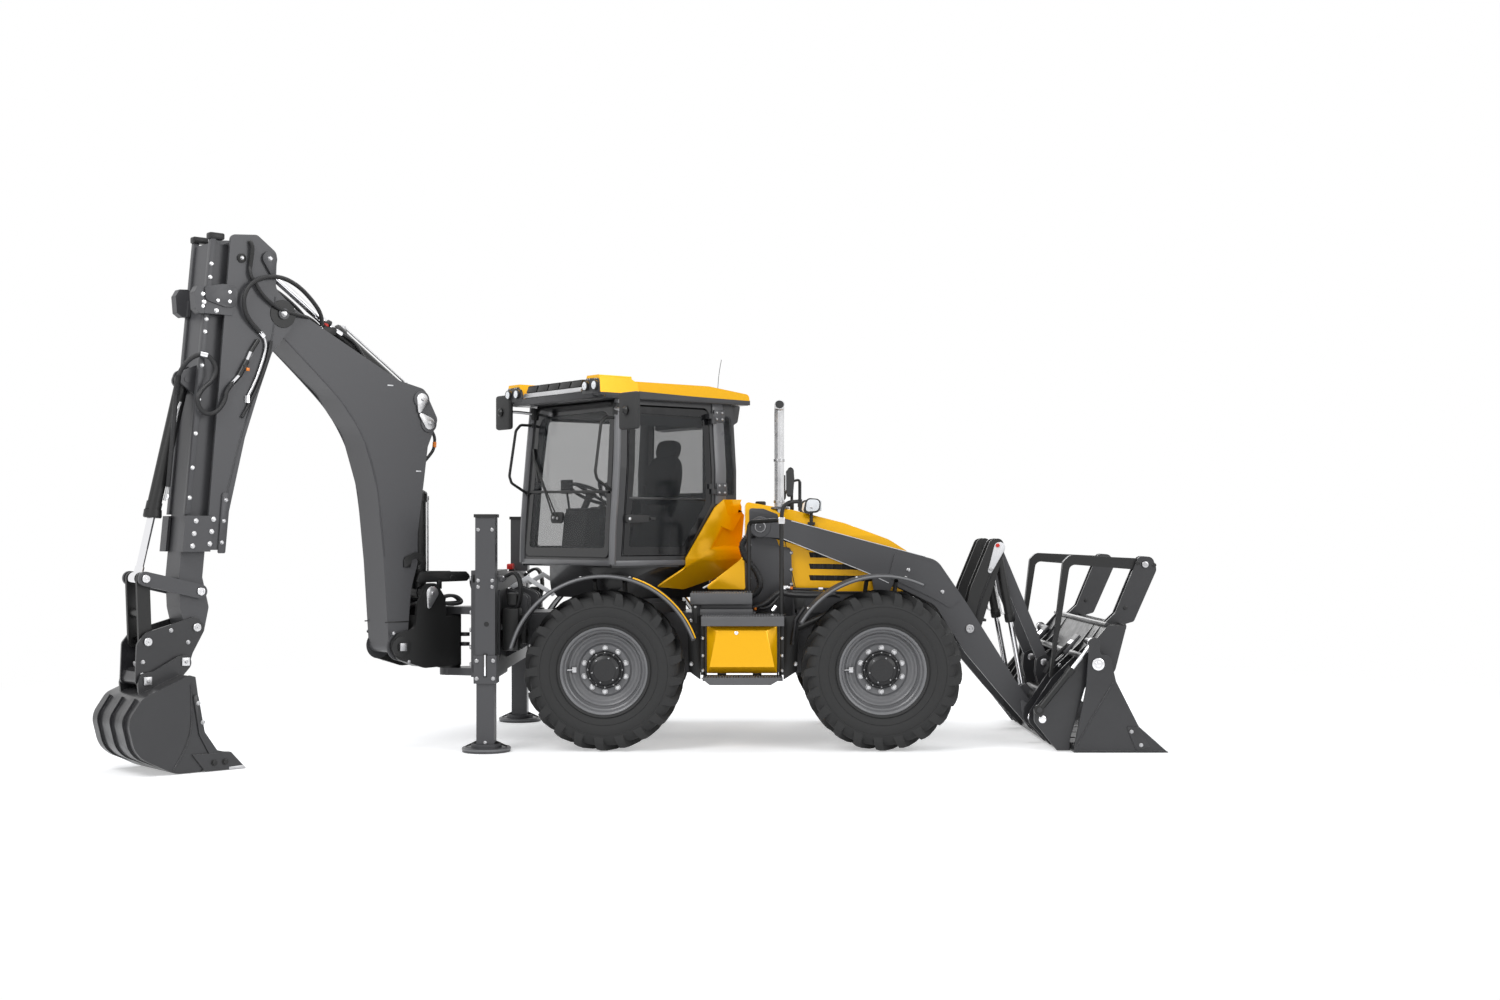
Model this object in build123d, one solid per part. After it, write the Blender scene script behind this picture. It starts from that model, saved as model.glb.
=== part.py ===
"""Backhoe loader with a turning cab, a side-shift backhoe and a clamshell loader bucket.

Millimetres. +X points to the loader bucket, +Y to the machine's left, +Z up.
Sizes are laid out about the middle of the wheelbase at ground level. The last
lines move the whole machine so that the middle of its box stands on the origin.
"""
from math import cos, hypot, pi, radians, sin
import os

from build123d import *

# Running clearances
FIT = 0.05
SEAT = 0.3
SIDE_GAP = 8.0

# Wheels and axles
WHEEL_X = 1100.0
WHEEL_Y = 960.0
TYRE_RADIUS = 635.0
TYRE_WIDTH = 400.0
LUG_HEIGHT = 32.0
LUG_COUNT = 20
RIM_RADIUS = 345.0
HUB_RADIUS = 142.0
NUT_COUNT = 10
NUT_CIRCLE = 172.0
KINGPIN_Y = 860.0
KINGPIN_RADIUS = 32.0
FENDER_RADIUS = 748.0
FENDER_STAY = 770.0

# Chassis
RAIL_Y = 320.0
RAIL_THICKNESS = 40.0
RAIL_TOP = 1060.0
RAIL_REAR = -1900.0
RAIL_FRONT = 1480.0
TOW_EYE = (RAIL_FRONT + 55, 930.0)
TOW_EYE_RADIUS = 25.0
TOW_EYE_Y = 250.0
HOOD_HALF_WIDTH = 415.0
HOOD_WALL = 18.0
HOOD_REAR = 22.0
HOOD_LOW = 1240.0
ENGINE_BEARERS = (300.0, 1060.0)
TANK_INNER = 640.0
EXHAUST_PLACE = (306.0, -300.0)
EXHAUST_RADIUS = 62.0

# Cab: local x points backward from the turret, the operator's left is -y
CAB_X = -950.0
CAB_YAW = 38.0
CAB_HALF_WIDTH = 690.0
CAB_TOP_HALF_WIDTH = 640.0
CAB_FRONT_LOW = -660.0
CAB_FRONT_TOP = -560.0
CAB_REAR = 600.0
CAB_SILL = 1500.0
CAB_TOP = 2815.0
CAB_WALL = 45.0
TURRET_RADIUS = 470.0
TURRET_TOP = 1180.0
SWEEP_RADIUS = 690.0
SWEEP_TOP = 1445.0
DOOR_HINGE_X = 354.0
DOOR_THICKNESS = 40.0
DOOR_AXIS = (335.0, -706.0)
DOOR_HINGES = (2090.0, 2675.0)

# Backhoe: local x points toward the machine, its near side is -y
SLEW = 42.0
SLEW_X = -2420.0
SLEW_Y = -520.0
FOOT_PIN = (-570.0, 820.0)
BOOM_RAM_BASE = (-290.0, 1240.0)
BOOM_RAM_TIP = (-294.0, 2604.0)
DIPPER_RAM_BASE = (-362.0, 2795.0)
DIPPER_RAM_TIP = (-1707.0, 3778.0)
DIPPER_PIVOT = (-1592.0, 3376.0)
BUCKET_PIVOT = (-2256.0, 1035.0)
ROCKER_PIVOT = (-2227.0, 1297.0)
ROCKER_TIP = (-2642.0, 1396.0)
COUPLER_PIN = (-2626.0, 944.0)
BUCKET_RAM_BASE = (-2300.0, 2850.0)
EAR_PINS = ((-2355.0, 791.0), (-2640.0, 666.0))
EAR_PIN_RADIUS = 24.0
BOOM_HALF = 155.0
CHEEK_IN = 165.0
CHEEK_OUT = 187.0
BEAM_HALF = 115.0
BEAM_DEPTH = 180.0
BEAM_SLOPE = 0.0976
BUCKET_HALF = 325.0

# Hydraulic cylinders: the eye's radius, and the share of it that its pin takes
PIN_SHARE = 0.5
BOOM_RAM_EYE = 58.0
DIPPER_RAM_EYE = 55.0
BUCKET_RAM_EYE = 46.0
LIFT_RAM_EYE = 42.0
TILT_RAM_EYE = 50.0
CLAM_RAM_EYE = 40.0

# Rear frame and stabilizers
LEG_X = -2030.0
LEG_Y = 1100.0
LEG_TUBE = 155.0
LEG_WALL = 7.0
LEG_SIZE = LEG_TUBE - 2 * LEG_WALL - 2 * SEAT

# Loader
ARM_PIVOT = (143.0, 1773.0)
ARM_IN = 470.0
ARM_OUT = 550.0
LIFT_BASE = (200.0, 820.0)
LIFT_TIP = (1140.0, 1245.0)
LEVER_PIVOT = (1867.0, 937.0)
LEVER_TIP = (2112.0, 1609.0)
TILT_BASE = (2331.0, 430.0)
TOOL_PIVOT = (2369.0, 215.0)
LINK_PIN = (2514.0, 647.0)
CLAM_PIVOT = (2784.0, 694.0)
CLAM_CRANK = (2754.0, 858.0)
CLAM_BASE = (2330.0, 330.0)
TOOL_HALF = 1195.0
FORK_HINGE = (3240.0, 1470.0)
FORK_Y = 775.0


def _normal_face(axis, corners):
    """Face through corners, where a third number rounds a corner, square to the axis."""
    place = {"x": lambda a, b: (0, a, b), "y": lambda a, b: (a, 0, b), "z": lambda a, b: (a, b, 0)}[axis]
    points = [place(corner[0], corner[1]) for corner in corners]
    radii = [corner[2] if len(corner) > 2 else 0 for corner in corners]
    if any(radii):
        wire = FilletPolyline(*points, radius=radii, close=True)
    else:
        wire = Polyline(*points, close=True)
    return make_face(wire).face()


def prism(axis, corners, low, high):
    """Solid with the outline square to the axis, from low to high along it."""
    way = {"x": Vector(1, 0, 0), "y": Vector(0, 1, 0), "z": Vector(0, 0, 1)}[axis]
    face = _normal_face(axis, corners)
    return Solid.extrude(face, way * (high - low)).moved(Location(way * low))


def block(x, y, z):
    """Box from three (low, high) pairs."""
    size = [pair[1] - pair[0] for pair in (x, y, z)]
    return Solid.make_box(*size).moved(Location((x[0], y[0], z[0])))


def bar(start, end, radius):
    """Round bar from one point to another."""
    start, end = Vector(start), Vector(end)
    return Solid.make_cylinder(radius, (end - start).length, Plane(origin=start, z_dir=end - start))


def pin(place, radius, low, high):
    """Round bar along Y at an (x, z) place."""
    return bar((place[0], low, place[1]), (place[0], high, place[1]), radius)


def post(x, y, radius, low, high):
    """Upright round bar."""
    return bar((x, y, low), (x, y, high), radius)


def bent_pipe(points, radius, bend):
    """Round pipe along straight runs joined by arcs."""
    path = FilletPolyline(*points, radius=bend)
    start = Plane(origin=points[0], z_dir=path % 0)
    return sweep(start * Circle(radius), path=path)


def mirrored(shape):
    """The shape's copy on the other side of the middle plane."""
    return mirror(shape, about=Plane.XZ)


def both(shape):
    """The shape fused with its copy on the other side."""
    return shape + mirrored(shape)


def strap(a, b, half, low, high):
    """Flat link with round ends about two (x, z) pins."""
    length = hypot(b[0] - a[0], b[1] - a[1])
    nx, nz = -(b[1] - a[1]) / length * half, (b[0] - a[0]) / length * half
    corners = [(a[0] + nx, a[1] + nz), (a[0] - nx, a[1] - nz), (b[0] - nx, b[1] - nz), (b[0] + nx, b[1] + nz)]
    return prism("y", corners, low, high) + pin(a, half, low, high) + pin(b, half, low, high)


def pair_plates(corners, inner, outer):
    """The same plate on both sides of the middle plane."""
    return both(prism("y", corners, inner, outer))


def between(a, b, share):
    """Point on the line from a to b."""
    return (a[0] + (b[0] - a[0]) * share, a[1] + (b[1] - a[1]) * share)


def hoe(shape):
    """Place a backhoe shape, made in its own plane, at its slewed place."""
    return shape.moved(Location((SLEW_X, SLEW_Y, 0), (0, 0, SLEW)))


def cab(shape):
    """Place a cab shape, made about the turret's axis, at its turned place."""
    return shape.moved(Location((CAB_X, 0, 0), (0, 0, CAB_YAW)))


def ram(base, tip, barrel_radius, rod_radius, barrel_share, eye, width, tip_width, rod_share, y=0.0):
    """Barrel and rod of a hydraulic cylinder between two (x, z) pins, at the given y."""
    length = hypot(tip[0] - base[0], tip[1] - base[1])
    ux, uz = (tip[0] - base[0]) / length, (tip[1] - base[1]) / length

    def at(distance, side=0.0):
        return (base[0] + ux * distance, y + side, base[1] + uz * distance)

    barrel_end = length * barrel_share
    rod_start = length * (1 - rod_share)
    bore = eye * PIN_SHARE + FIT
    barrel = bar(at(eye * 0.7), at(barrel_end), barrel_radius)
    barrel += bar(at(barrel_end - 60), at(barrel_end), barrel_radius + 6)
    barrel += bar(at(0, -width / 2), at(0, width / 2), eye)
    barrel -= bar(at(eye * 1.25), at(barrel_end + 1), rod_radius + FIT)
    barrel -= bar(at(0, -width), at(0, width), bore)
    rod = bar(at(rod_start), at(length - eye * 0.6), rod_radius)
    rod += bar(at(length - eye * 1.9), at(length - eye * 0.5), rod_radius + 6)
    rod += bar(at(length, -tip_width / 2), at(length, tip_width / 2), eye)
    rod -= bar(at(length, -tip_width), at(length, tip_width), bore)
    return barrel, rod


# Wheels, knuckles and axles

def tyre():
    """Lugged tyre about the Y axis, its middle plane at y = 0."""
    half = TYRE_WIDTH / 2
    tread = TYRE_RADIUS - LUG_HEIGHT
    section = [(-half + 22, RIM_RADIUS + 4), (-half + 4, RIM_RADIUS + 70), (-half, 480), (-half + 18, 555),
               (-half + 52, tread - 6), (0, tread + 3), (half - 52, tread - 6), (half - 18, 555), (half, 480),
               (half - 4, RIM_RADIUS + 70), (half - 22, RIM_RADIUS + 4)]
    ring = make_face(Polyline(*[(0, y, z) for y, z in section], close=True))
    body = Solid.revolve(ring.face(), 360, Axis.Y)
    root, top = tread - 40, TYRE_RADIUS + 12
    lugs = []
    for side in (1, -1):
        outline = [(-108, side * (half - 6)), (-52, side * (half - 6)), (34, side * 6), (-8, side * 6)]
        low = make_face(Polyline(*[(x, y, root) for x, y in outline], close=True))
        tip = [(-98, side * (half - 26)), (-62, side * (half - 26)), (26, side * 12), (0, side * 12)]
        high = make_face(Polyline(*[(x, y, top) for x, y in tip], close=True))
        lug = Solid.make_loft([low.face().outer_wire(), high.face().outer_wire()], True)
        for number in range(LUG_COUNT):
            turn = 360.0 / LUG_COUNT * (number + (0.5 if side < 0 else 0.0))
            lugs.append(lug.rotate(Axis.Y, turn))
    return body.fuse(*lugs) & bar((0, -half, 0), (0, half, 0), TYRE_RADIUS)


def rim():
    """Dished wheel rim with its hub cap and nuts; +Y is the outside."""
    shell = [(-175, 349), (-161, 349), (-158, 322), (-90, 314), (20, 306), (60, 322), (150, 330), (161, 349),
             (175, 349), (175, 333), (150, 314), (66, 306), (44, 284), (22, 262), (20, 225), (26, 215),
             (26, 150),
             (26, 60), (6, 60), (6, 296), (-90, 300), (-160, 310), (-175, 333)]
    ring = make_face(Polyline(*[(0, y, z) for y, z in shell], close=True))
    body = Solid.revolve(ring.face(), 360, Axis.Y)
    cap = [(20, 0), (122, 0), (122, 62), (112, 88), (96, 118), (58, HUB_RADIUS - 10), (50, HUB_RADIUS),
           (20, HUB_RADIUS)]
    body += Solid.revolve(make_face(Polyline(*[(0, y, z) for y, z in cap], close=True)).face(), 360, Axis.Y)
    for number in range(NUT_COUNT):
        turn = 2 * pi * number / NUT_COUNT
        nut_x, nut_z = NUT_CIRCLE * cos(turn), NUT_CIRCLE * sin(turn)
        body += bar((nut_x, 20, nut_z), (nut_x, 52, nut_z), 17)
    return body


def knuckle():
    """Steering knuckle at y = 0 of its wheel, carrying the hub; +Y is outward."""
    pin_y = KINGPIN_Y - WHEEL_Y
    body = post(0, pin_y, 72, -96, 96)
    body += post(0, pin_y, KINGPIN_RADIUS, -142, 142)
    body += bar((0, pin_y, 0), (0, -14, 0), 92)
    body += bar((0, -20, 0), (0, 6 - SEAT, 0), 150)
    body += block((-60, 250), (pin_y - 20, pin_y + 20), (-24, 24)) & bar((0, pin_y, 0), (215, pin_y, 0), 60)
    return body


def axle():
    """Axle beam with its end yokes, its centre at the origin."""
    yoke_y = KINGPIN_Y
    beam = bar((0, -KINGPIN_Y + 160, 0), (0, KINGPIN_Y - 160, 0), 92)
    drive = Solid.revolve(make_face(Polyline((0, -230, 0), (0, -230, 100), (0, -120, 190), (0, 120, 190),
                                             (0, 230, 100), (0, 230, 0), close=True)).face(), 360, Axis.Y)
    beam += drive
    for side in (1, -1):
        cheek = [(side * (yoke_y - 210), -150), (side * (yoke_y - 130), -150), (side * (yoke_y - 110), -104),
                 (side * (yoke_y - 110), 104), (side * (yoke_y - 130), 150), (side * (yoke_y - 210), 150)]
        beam += prism("x", cheek, -70, 70)
        for low, high in ((104, 150), (-150, -104)):
            arm = prism("z", [(-60, side * (yoke_y - 200)), (60, side * (yoke_y - 200)), (60, side * yoke_y),
                              (-60, side * yoke_y)], low, high)
            arm += post(0, side * yoke_y, 60, low, high)
            arm -= post(0, side * yoke_y, KINGPIN_RADIUS + FIT, low - 1, high + 1)
            beam += arm
    saddle = block((-110, 110), (-RAIL_Y - 30, RAIL_Y + 30), (60, 800 - TYRE_RADIUS))
    return beam + saddle


def fender(centre_x, first, last, y_low, y_high, radius):
    """Arched fender over one wheel, from one angle to another in degrees."""
    def ring(r, angle):
        return (centre_x + r * cos(radians(angle)), TYRE_RADIUS + r * sin(radians(angle)))

    middle = (first + last) / 2

    def arc_face(inner, outer):
        a, b, c = [(ring(inner, t)[0], 0, ring(inner, t)[1]) for t in (first, middle, last)]
        d, e, f = [(ring(outer, t)[0], 0, ring(outer, t)[1]) for t in (last, middle, first)]
        edges = [ThreePointArc(a, b, c), Line(c, d), ThreePointArc(d, e, f), Line(f, a)]
        return make_face(Wire(edges)).face()

    def sheet(inner, outer, low, high):
        return Solid.extrude(arc_face(inner, outer), Vector(0, high - low, 0)).moved(Location((0, low, 0)))

    skin = sheet(radius, radius + 10, y_low, y_high)
    outer_edge = y_low if abs(y_low) > abs(y_high) else y_high - 26
    lip = sheet(radius - 14, radius + 16, outer_edge, outer_edge + 26)
    return skin + lip


def rear_fender():
    """Left rear fender with the two bars that carry it."""
    shape = fender(-WHEEL_X, 19, 167, 710, 1190, FENDER_RADIUS)
    for angle in (21, 165):
        x = -WHEEL_X + FENDER_STAY * cos(radians(angle))
        shape += pin((x, TYRE_RADIUS + FENDER_STAY * sin(radians(angle))), 16, RAIL_Y + RAIL_THICKNESS / 2,
                     730)
    return shape


def front_fender():
    """Left front fender with its stay, which passes under the lift cylinder."""
    shape = fender(WHEEL_X, 64, 150, 740, 1180, FENDER_RADIUS)
    root = RAIL_Y + RAIL_THICKNESS / 2
    shape += bent_pipe([(400, root, 830), (400, 775, 830), (428, 775, 1018), (500, 775, 1121)], 16, 30)
    return shape


# Chassis

def chassis_frame():
    """Main rails, deck, loader towers and the turret's fixed ring."""
    rail = [(RAIL_REAR, 800), (RAIL_REAR, 1030), (-1500, RAIL_TOP), (RAIL_FRONT, RAIL_TOP), (RAIL_FRONT, 900),
            (1380, 800), (820, 800), (700, 560, 60), (-700, 560, 60), (-820, 800)]
    frame = pair_plates(rail, RAIL_Y - RAIL_THICKNESS / 2, RAIL_Y + RAIL_THICKNESS / 2)
    inner = RAIL_Y - RAIL_THICKNESS / 2
    frame += block((-700, 700), (-inner, inner), (560, 584))
    frame += block((RAIL_REAR, 0), (-inner, inner), (RAIL_TOP - 24, RAIL_TOP))
    frame += block((RAIL_REAR, RAIL_REAR + 30), (-inner, inner), (800, RAIL_TOP - 24))
    frame += prism("y", [(RAIL_FRONT - 110, 800), (RAIL_FRONT + 20, 860, 30), (RAIL_FRONT + 20, RAIL_TOP, 20),
                         (RAIL_FRONT - 110, RAIL_TOP)], -400, 400)
    frame += post(CAB_X, 0, TURRET_RADIUS, RAIL_TOP - 10, TURRET_TOP - 34)
    frame += post(CAB_X, 0, TURRET_RADIUS - 30, TURRET_TOP - 36, TURRET_TOP)
    for x in ENGINE_BEARERS:
        frame += block((x, x + 80), (-inner, inner), (RAIL_TOP - 60, RAIL_TOP))
    for x in (-200, 100):
        frame += both(block((x, x + 80), (RAIL_Y, TANK_INNER), (690, 740)))
    for sign in (1, -1):
        tip = TOW_EYE[0] + 45
        y, z = sign * TOW_EYE_Y, TOW_EYE[1]
        tongue = prism("z", [(RAIL_FRONT + 10, y - 50), (tip, y - 50, 40), (tip, y + 50, 40),
                             (RAIL_FRONT + 10, y + 50)],
                       z - 15, z + 15)
        tongue -= post(TOW_EYE[0], y, TOW_EYE_RADIUS, z - 20, z + 20)
        frame += tongue
    return frame


def loader_tower():
    """Left loader tower with the pins of the arm and the lift cylinder."""
    side = RAIL_Y + RAIL_THICKNESS / 2 + SEAT
    outline = [(20, 900), (20, 1700, 60), (60, 1860, 80), (225, 1860, 80), (270, 1700, 60), (420, 1300, 80),
               (440, 900)]
    tower = prism("y", outline, 425, 450)
    tower += block((20, 440), (side, 450), (900, 930))
    tower += block((20, 440), (side, 450), (1030, RAIL_TOP))
    tower += pin(ARM_PIVOT, 38, 440, ARM_OUT + 22)
    tower += pin(ARM_PIVOT, 85, 425, ARM_IN - SIDE_GAP)
    lift_ear = [(120, 900), (120, 800, 50), (200, 745, 50), (280, 800, 50), (300, 900)]
    tower += prism("y", lift_ear, ARM_IN - 22, ARM_IN)
    tower += prism("y", lift_ear, ARM_OUT, ARM_OUT + 20)
    tower += block((120, 140), (side, ARM_OUT + 20), (800, 900))
    tower += pin(LIFT_BASE, LIFT_RAM_EYE * PIN_SHARE, ARM_IN - 26, ARM_OUT + 24)
    return tower


def engine_block():
    """Engine and pump as one plain block under the hood."""
    return block((260, 1180), (-310, 310), (RAIL_TOP, 1540))


def hood_outline(inset):
    """Side outline of the hood, moved inward by the inset."""
    return [(HOOD_REAR + inset, HOOD_LOW - (1 if inset else 0)), (HOOD_REAR + inset, 1985 - inset, 30),
            (420, 1915 - inset, 300), (850, 1805 - inset, 300), (1215, 1670 - inset, 260),
            (1385 - inset, 1560 - inset * 0.5, 90), (1415 - inset, 1300, 60),
            (1412 - inset, HOOD_LOW - (1 if inset else 0))]


def hood():
    """Hollow hood with slots in its sides and a grille in its nose."""
    shell = prism("y", hood_outline(0), -HOOD_HALF_WIDTH, HOOD_HALF_WIDTH)
    crown = prism("x", [(-HOOD_HALF_WIDTH, HOOD_LOW - 5), (HOOD_HALF_WIDTH, HOOD_LOW - 5),
                        (HOOD_HALF_WIDTH, 1700),
                        (330, 2010), (-330, 2010), (-HOOD_HALF_WIDTH, 1700)], 0, 1500)
    shell = shell & crown
    width = HOOD_HALF_WIDTH - HOOD_WALL
    hollow = prism("y", hood_outline(HOOD_WALL), -width, width)
    inner_crown = prism("x", [(-width, HOOD_LOW - 9), (width, HOOD_LOW - 9), (width, 1694), (318, 1992),
                              (-318, 1992), (-width, 1694)], 0, 1500)
    shell -= hollow & inner_crown
    for number in range(3):
        low = 1330 + 95 * number
        slot = prism("y", [(560, low), (1180 - 60 * number, low - 10), (1170 - 60 * number, low + 36),
                           (550, low + 44)],
                     -HOOD_HALF_WIDTH - 5, HOOD_HALF_WIDTH + 5)
        shell -= slot
    for number in range(5):
        low = 1290 + 46 * number
        shell -= block((1370, 1440), (-300, 300), (low, low + 24))
    shell -= post(*EXHAUST_PLACE, EXHAUST_RADIUS + SEAT, 1800, 2100)
    return shell


def side_panels():
    """Grey panels between the rails and the hood."""
    panel = [(450, RAIL_TOP), (1400, RAIL_TOP), (1412, HOOD_LOW - SEAT), (450, HOOD_LOW - SEAT)]
    inner, outer = HOOD_HALF_WIDTH - 24, HOOD_HALF_WIDTH - 4
    panels = pair_plates(panel, inner, outer)
    panels += block((1385, 1408), (-inner, inner), (RAIL_TOP, HOOD_LOW - SEAT))
    panels += both(block((450, 1400), (RAIL_Y, inner + 2), (RAIL_TOP, RAIL_TOP + 16)))
    return panels


def steps():
    """Boarding steps and platforms on both sides."""
    tread = block((-330, 320), (600, 1150), (1040, 1064))
    tread += block((-420, 70), (560, 900), (1216, 1240))
    tread += block((-420, 70), (560, 584), (1040, 1240))
    tread += block((-320, 310), (870, 1180), (560, 584))
    for x in (-320, 286):
        tread += block((x, x + 24), (870, 900), (560, 1064))
    tread += block((-300, 10), (RAIL_Y + 20, 620), (1000, 1040))
    tread -= block((90, 330), (440, 580), (900, 1045))
    return tread


def tank():
    """Tank box between the rails and the steps, with faceted outer face."""
    section = [(TANK_INNER, 610), (1060, 610, 20), (1140, 660, 20), (1120, 920, 20), (1080, 990, 20),
               (TANK_INNER, 990)]
    return prism("x", section, -290, 270)


def exhaust():
    """Exhaust stack with a slanted mouth."""
    pipe = post(*EXHAUST_PLACE, 42, 1540, 2830)
    pipe += post(*EXHAUST_PLACE, EXHAUST_RADIUS, 1700, 1960)
    pipe -= post(*EXHAUST_PLACE, 36, 2340, 2840)
    pipe -= prism("y", [(200, 2835), (400, 2835), (400, 2760)], -400, -200)
    return pipe


def handrails():
    """Grab rails beside the steps, each bent over to a second foot on the upper tread."""
    rails = []
    for side in (-1, 1):
        route = [(307, side * 950, 1064), (307, side * 950, 1828), (49, side * 700, 1812),
                 (49, side * 700, 1240)]
        rails.append(bent_pipe(route, 17, 45))
    return rails


def headlamp(side):
    """Work lamp on a bracket over the hood's shoulder, inside the lane of the loader arm."""
    y = side * 408
    shoulder, edge = side * 391, side * 430
    body = prism("y", [(498, 1880, 30), (638, 1895, 40), (650, 2005, 40), (528, 2015, 40)], y - 40, y + 40)
    body += bar((570, side * 412, 1790), (570, side * 412, 1900), 14)
    body += block((540, 600), (min(edge, shoulder), max(edge, shoulder)), (1790, 1814))
    return body


def rear_frame():
    """Side-shift frame with its rails and the outer stabilizer tubes."""
    half = LEG_TUBE / 2
    bore = half - LEG_WALL
    frame = block((LEG_X - 80, LEG_X + 80), (-LEG_Y + half - 2, LEG_Y - half + 2), (1270, 1380))
    frame += block((LEG_X - 80, LEG_X + 80), (-LEG_Y + half - 2, LEG_Y - half + 2), (600, 700))
    for side in (-1, 1):
        y = side * LEG_Y
        tube = block((LEG_X - half, LEG_X + half), (y - half, y + half), (540, 1867))
        tube += block((LEG_X - half - 12, LEG_X + half + 12), (y - half - 12, y + half + 12), (540, 760))
        tube -= block((LEG_X - bore, LEG_X + bore), (y - bore, y + bore), (500, 1900))
        frame += tube
        frame += block((LEG_X + 78, RAIL_REAR), (side * RAIL_Y - 20, side * RAIL_Y + 20), (800, 1030))
        frame += block((LEG_X + 60, LEG_X + 80), (side * 640 - 260, side * 640 + 260), (700, 1270))
        frame += block((LEG_X - 60, LEG_X + 60), (min(side * 960, side * 1024), max(side * 960,
                                                                                    side * 1024)),
                       (700, 1270))
    frame += block((LEG_X + 60, LEG_X + 80), (-400, 400), (790, 1060))
    return frame


def stabilizer(side):
    """Inner stabilizer leg with its foot pad."""
    y = side * LEG_Y
    half = LEG_SIZE / 2
    leg = block((LEG_X - half, LEG_X + half), (y - half, y + half), (50, 1840))
    leg += post(LEG_X, y, 190, 0, 34)
    leg += post(LEG_X, y, 120, 30, 62)
    return leg


# Cab

def cab_hull(inset, low, high):
    """Tapered hull of the cab, moved inward by the inset."""
    side = prism("y", [(CAB_FRONT_LOW + inset, low), (CAB_FRONT_LOW + inset, CAB_SILL),
                       (CAB_FRONT_TOP + inset, high, 60),
                       (CAB_REAR - inset, high, 40), (CAB_REAR - inset, low)], -900, 900)
    wide, narrow = CAB_HALF_WIDTH - inset, CAB_TOP_HALF_WIDTH - inset
    front = prism("x", [(-wide, low), (wide, low), (wide, CAB_SILL), (wide, 2250), (narrow, high),
                        (-narrow, high),
                        (-wide, 2250), (-wide, CAB_SILL)], -900, 900)
    return side & front


def side_window(grow):
    """Outline of the door and the far side window, grown by a margin."""
    return [(CAB_FRONT_LOW + 95 - grow, CAB_SILL + 45 - grow), (63 + grow * 0.4, CAB_SILL + 45 - grow, 20),
            (DOOR_HINGE_X - 25 + grow, 1960 + grow, 40), (DOOR_HINGE_X - 25 + grow, CAB_TOP - 60 + grow, 50),
            (CAB_FRONT_TOP + 90 - grow, CAB_TOP - 60 + grow, 50)]


def cab_frame():
    """Cab shell with its windows cut, its floor and its tapered underside."""
    shell = cab_hull(0, CAB_SILL - 30, CAB_TOP) - cab_hull(CAB_WALL, CAB_SILL + 20, CAB_TOP - 30)
    shell -= prism("y", side_window(10), -800, -CAB_TOP_HALF_WIDTH + 60)
    shell -= prism("y", side_window(0), CAB_TOP_HALF_WIDTH - 60, 800)
    shell -= prism("x", [(-600, CAB_SILL + 60, 40), (600, CAB_SILL + 60, 40), (560, CAB_TOP - 75, 60),
                         (-560, CAB_TOP - 75, 60)],
                   -800, CAB_FRONT_TOP + 60)
    shell -= prism("x", [(-540, 2060, 40), (540, 2060, 40), (520, CAB_TOP - 75, 60),
                         (-520, CAB_TOP - 75, 60)],
                   CAB_REAR - 60, 800)
    for low, high in ((-800, -560), (560, 800)):
        shell -= block((430, CAB_REAR - CAB_WALL), (low, high), (2050, CAB_TOP - 120))
    taper = Solid.make_loft([
        Wire.make_polygon([(CAB_FRONT_LOW, -CAB_HALF_WIDTH, SWEEP_TOP + 25),
                           (CAB_REAR, -CAB_HALF_WIDTH, SWEEP_TOP + 25),
                           (CAB_REAR, CAB_HALF_WIDTH, SWEEP_TOP + 25),
                           (CAB_FRONT_LOW, CAB_HALF_WIDTH, SWEEP_TOP + 25)]),
        Wire.make_polygon([(-470, -430, TURRET_TOP + SEAT), (430, -430, TURRET_TOP + SEAT),
                           (430, 430, TURRET_TOP + SEAT), (-470, 430, TURRET_TOP + SEAT)])], True)
    sweep_room = post(0, 0, SWEEP_RADIUS, 1000, SWEEP_TOP) + block((-900, 900), (-900, 900),
                                                                   (SWEEP_TOP, 1600))
    shell += taper & sweep_room
    for z in DOOR_HINGES:
        shell += hinge_leaf(z, -42, 0, 40)
        shell += post(*DOOR_AXIS, 7, z - 2, z + 42)
    return shell


def hinge_leaf(z, low, high, reach):
    """Leaf and knuckle of a door hinge, reaching from the hinge's axis to the cab's side."""
    x, y = DOOR_AXIS
    taper = CAB_HALF_WIDTH - CAB_TOP_HALF_WIDTH
    side = -CAB_HALF_WIDTH + max(0.0, z - 2250) / (CAB_TOP - 2250) * taper + 12
    leaf = block((min(x, x + reach), max(x, x + reach)), (y - 6, side), (z + low, z + high))
    return leaf + post(x, y, 15, z + low, z + high)


def cab_roof():
    """Roof cap with raised lamp pods on its front corners."""
    outline = [(-740, CAB_TOP), (-760, 2890, 20), (-640, 2945, 40), (300, 2945, 200), (730, 2895, 40),
               (740, CAB_TOP)]
    roof = prism("y", outline, -700, 700)
    for side in (-1, 1):
        pod = prism("x", [(side * 470, CAB_TOP + 30), (side * 520, 2985), (side * 700, 2985, 15),
                          (side * 715, CAB_TOP + 30)],
                    -790, -420)
        pod -= prism("y", [(-480, 2990), (-400, 2990), (-400, 2920), (-480, 2960)], -800, 800)
        roof += pod
    for side in (-1, 1):
        for offset in (530, 665):
            roof += bar((-815, side * offset, 2905), (-780, side * offset, 2905), 34)
    return roof


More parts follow.
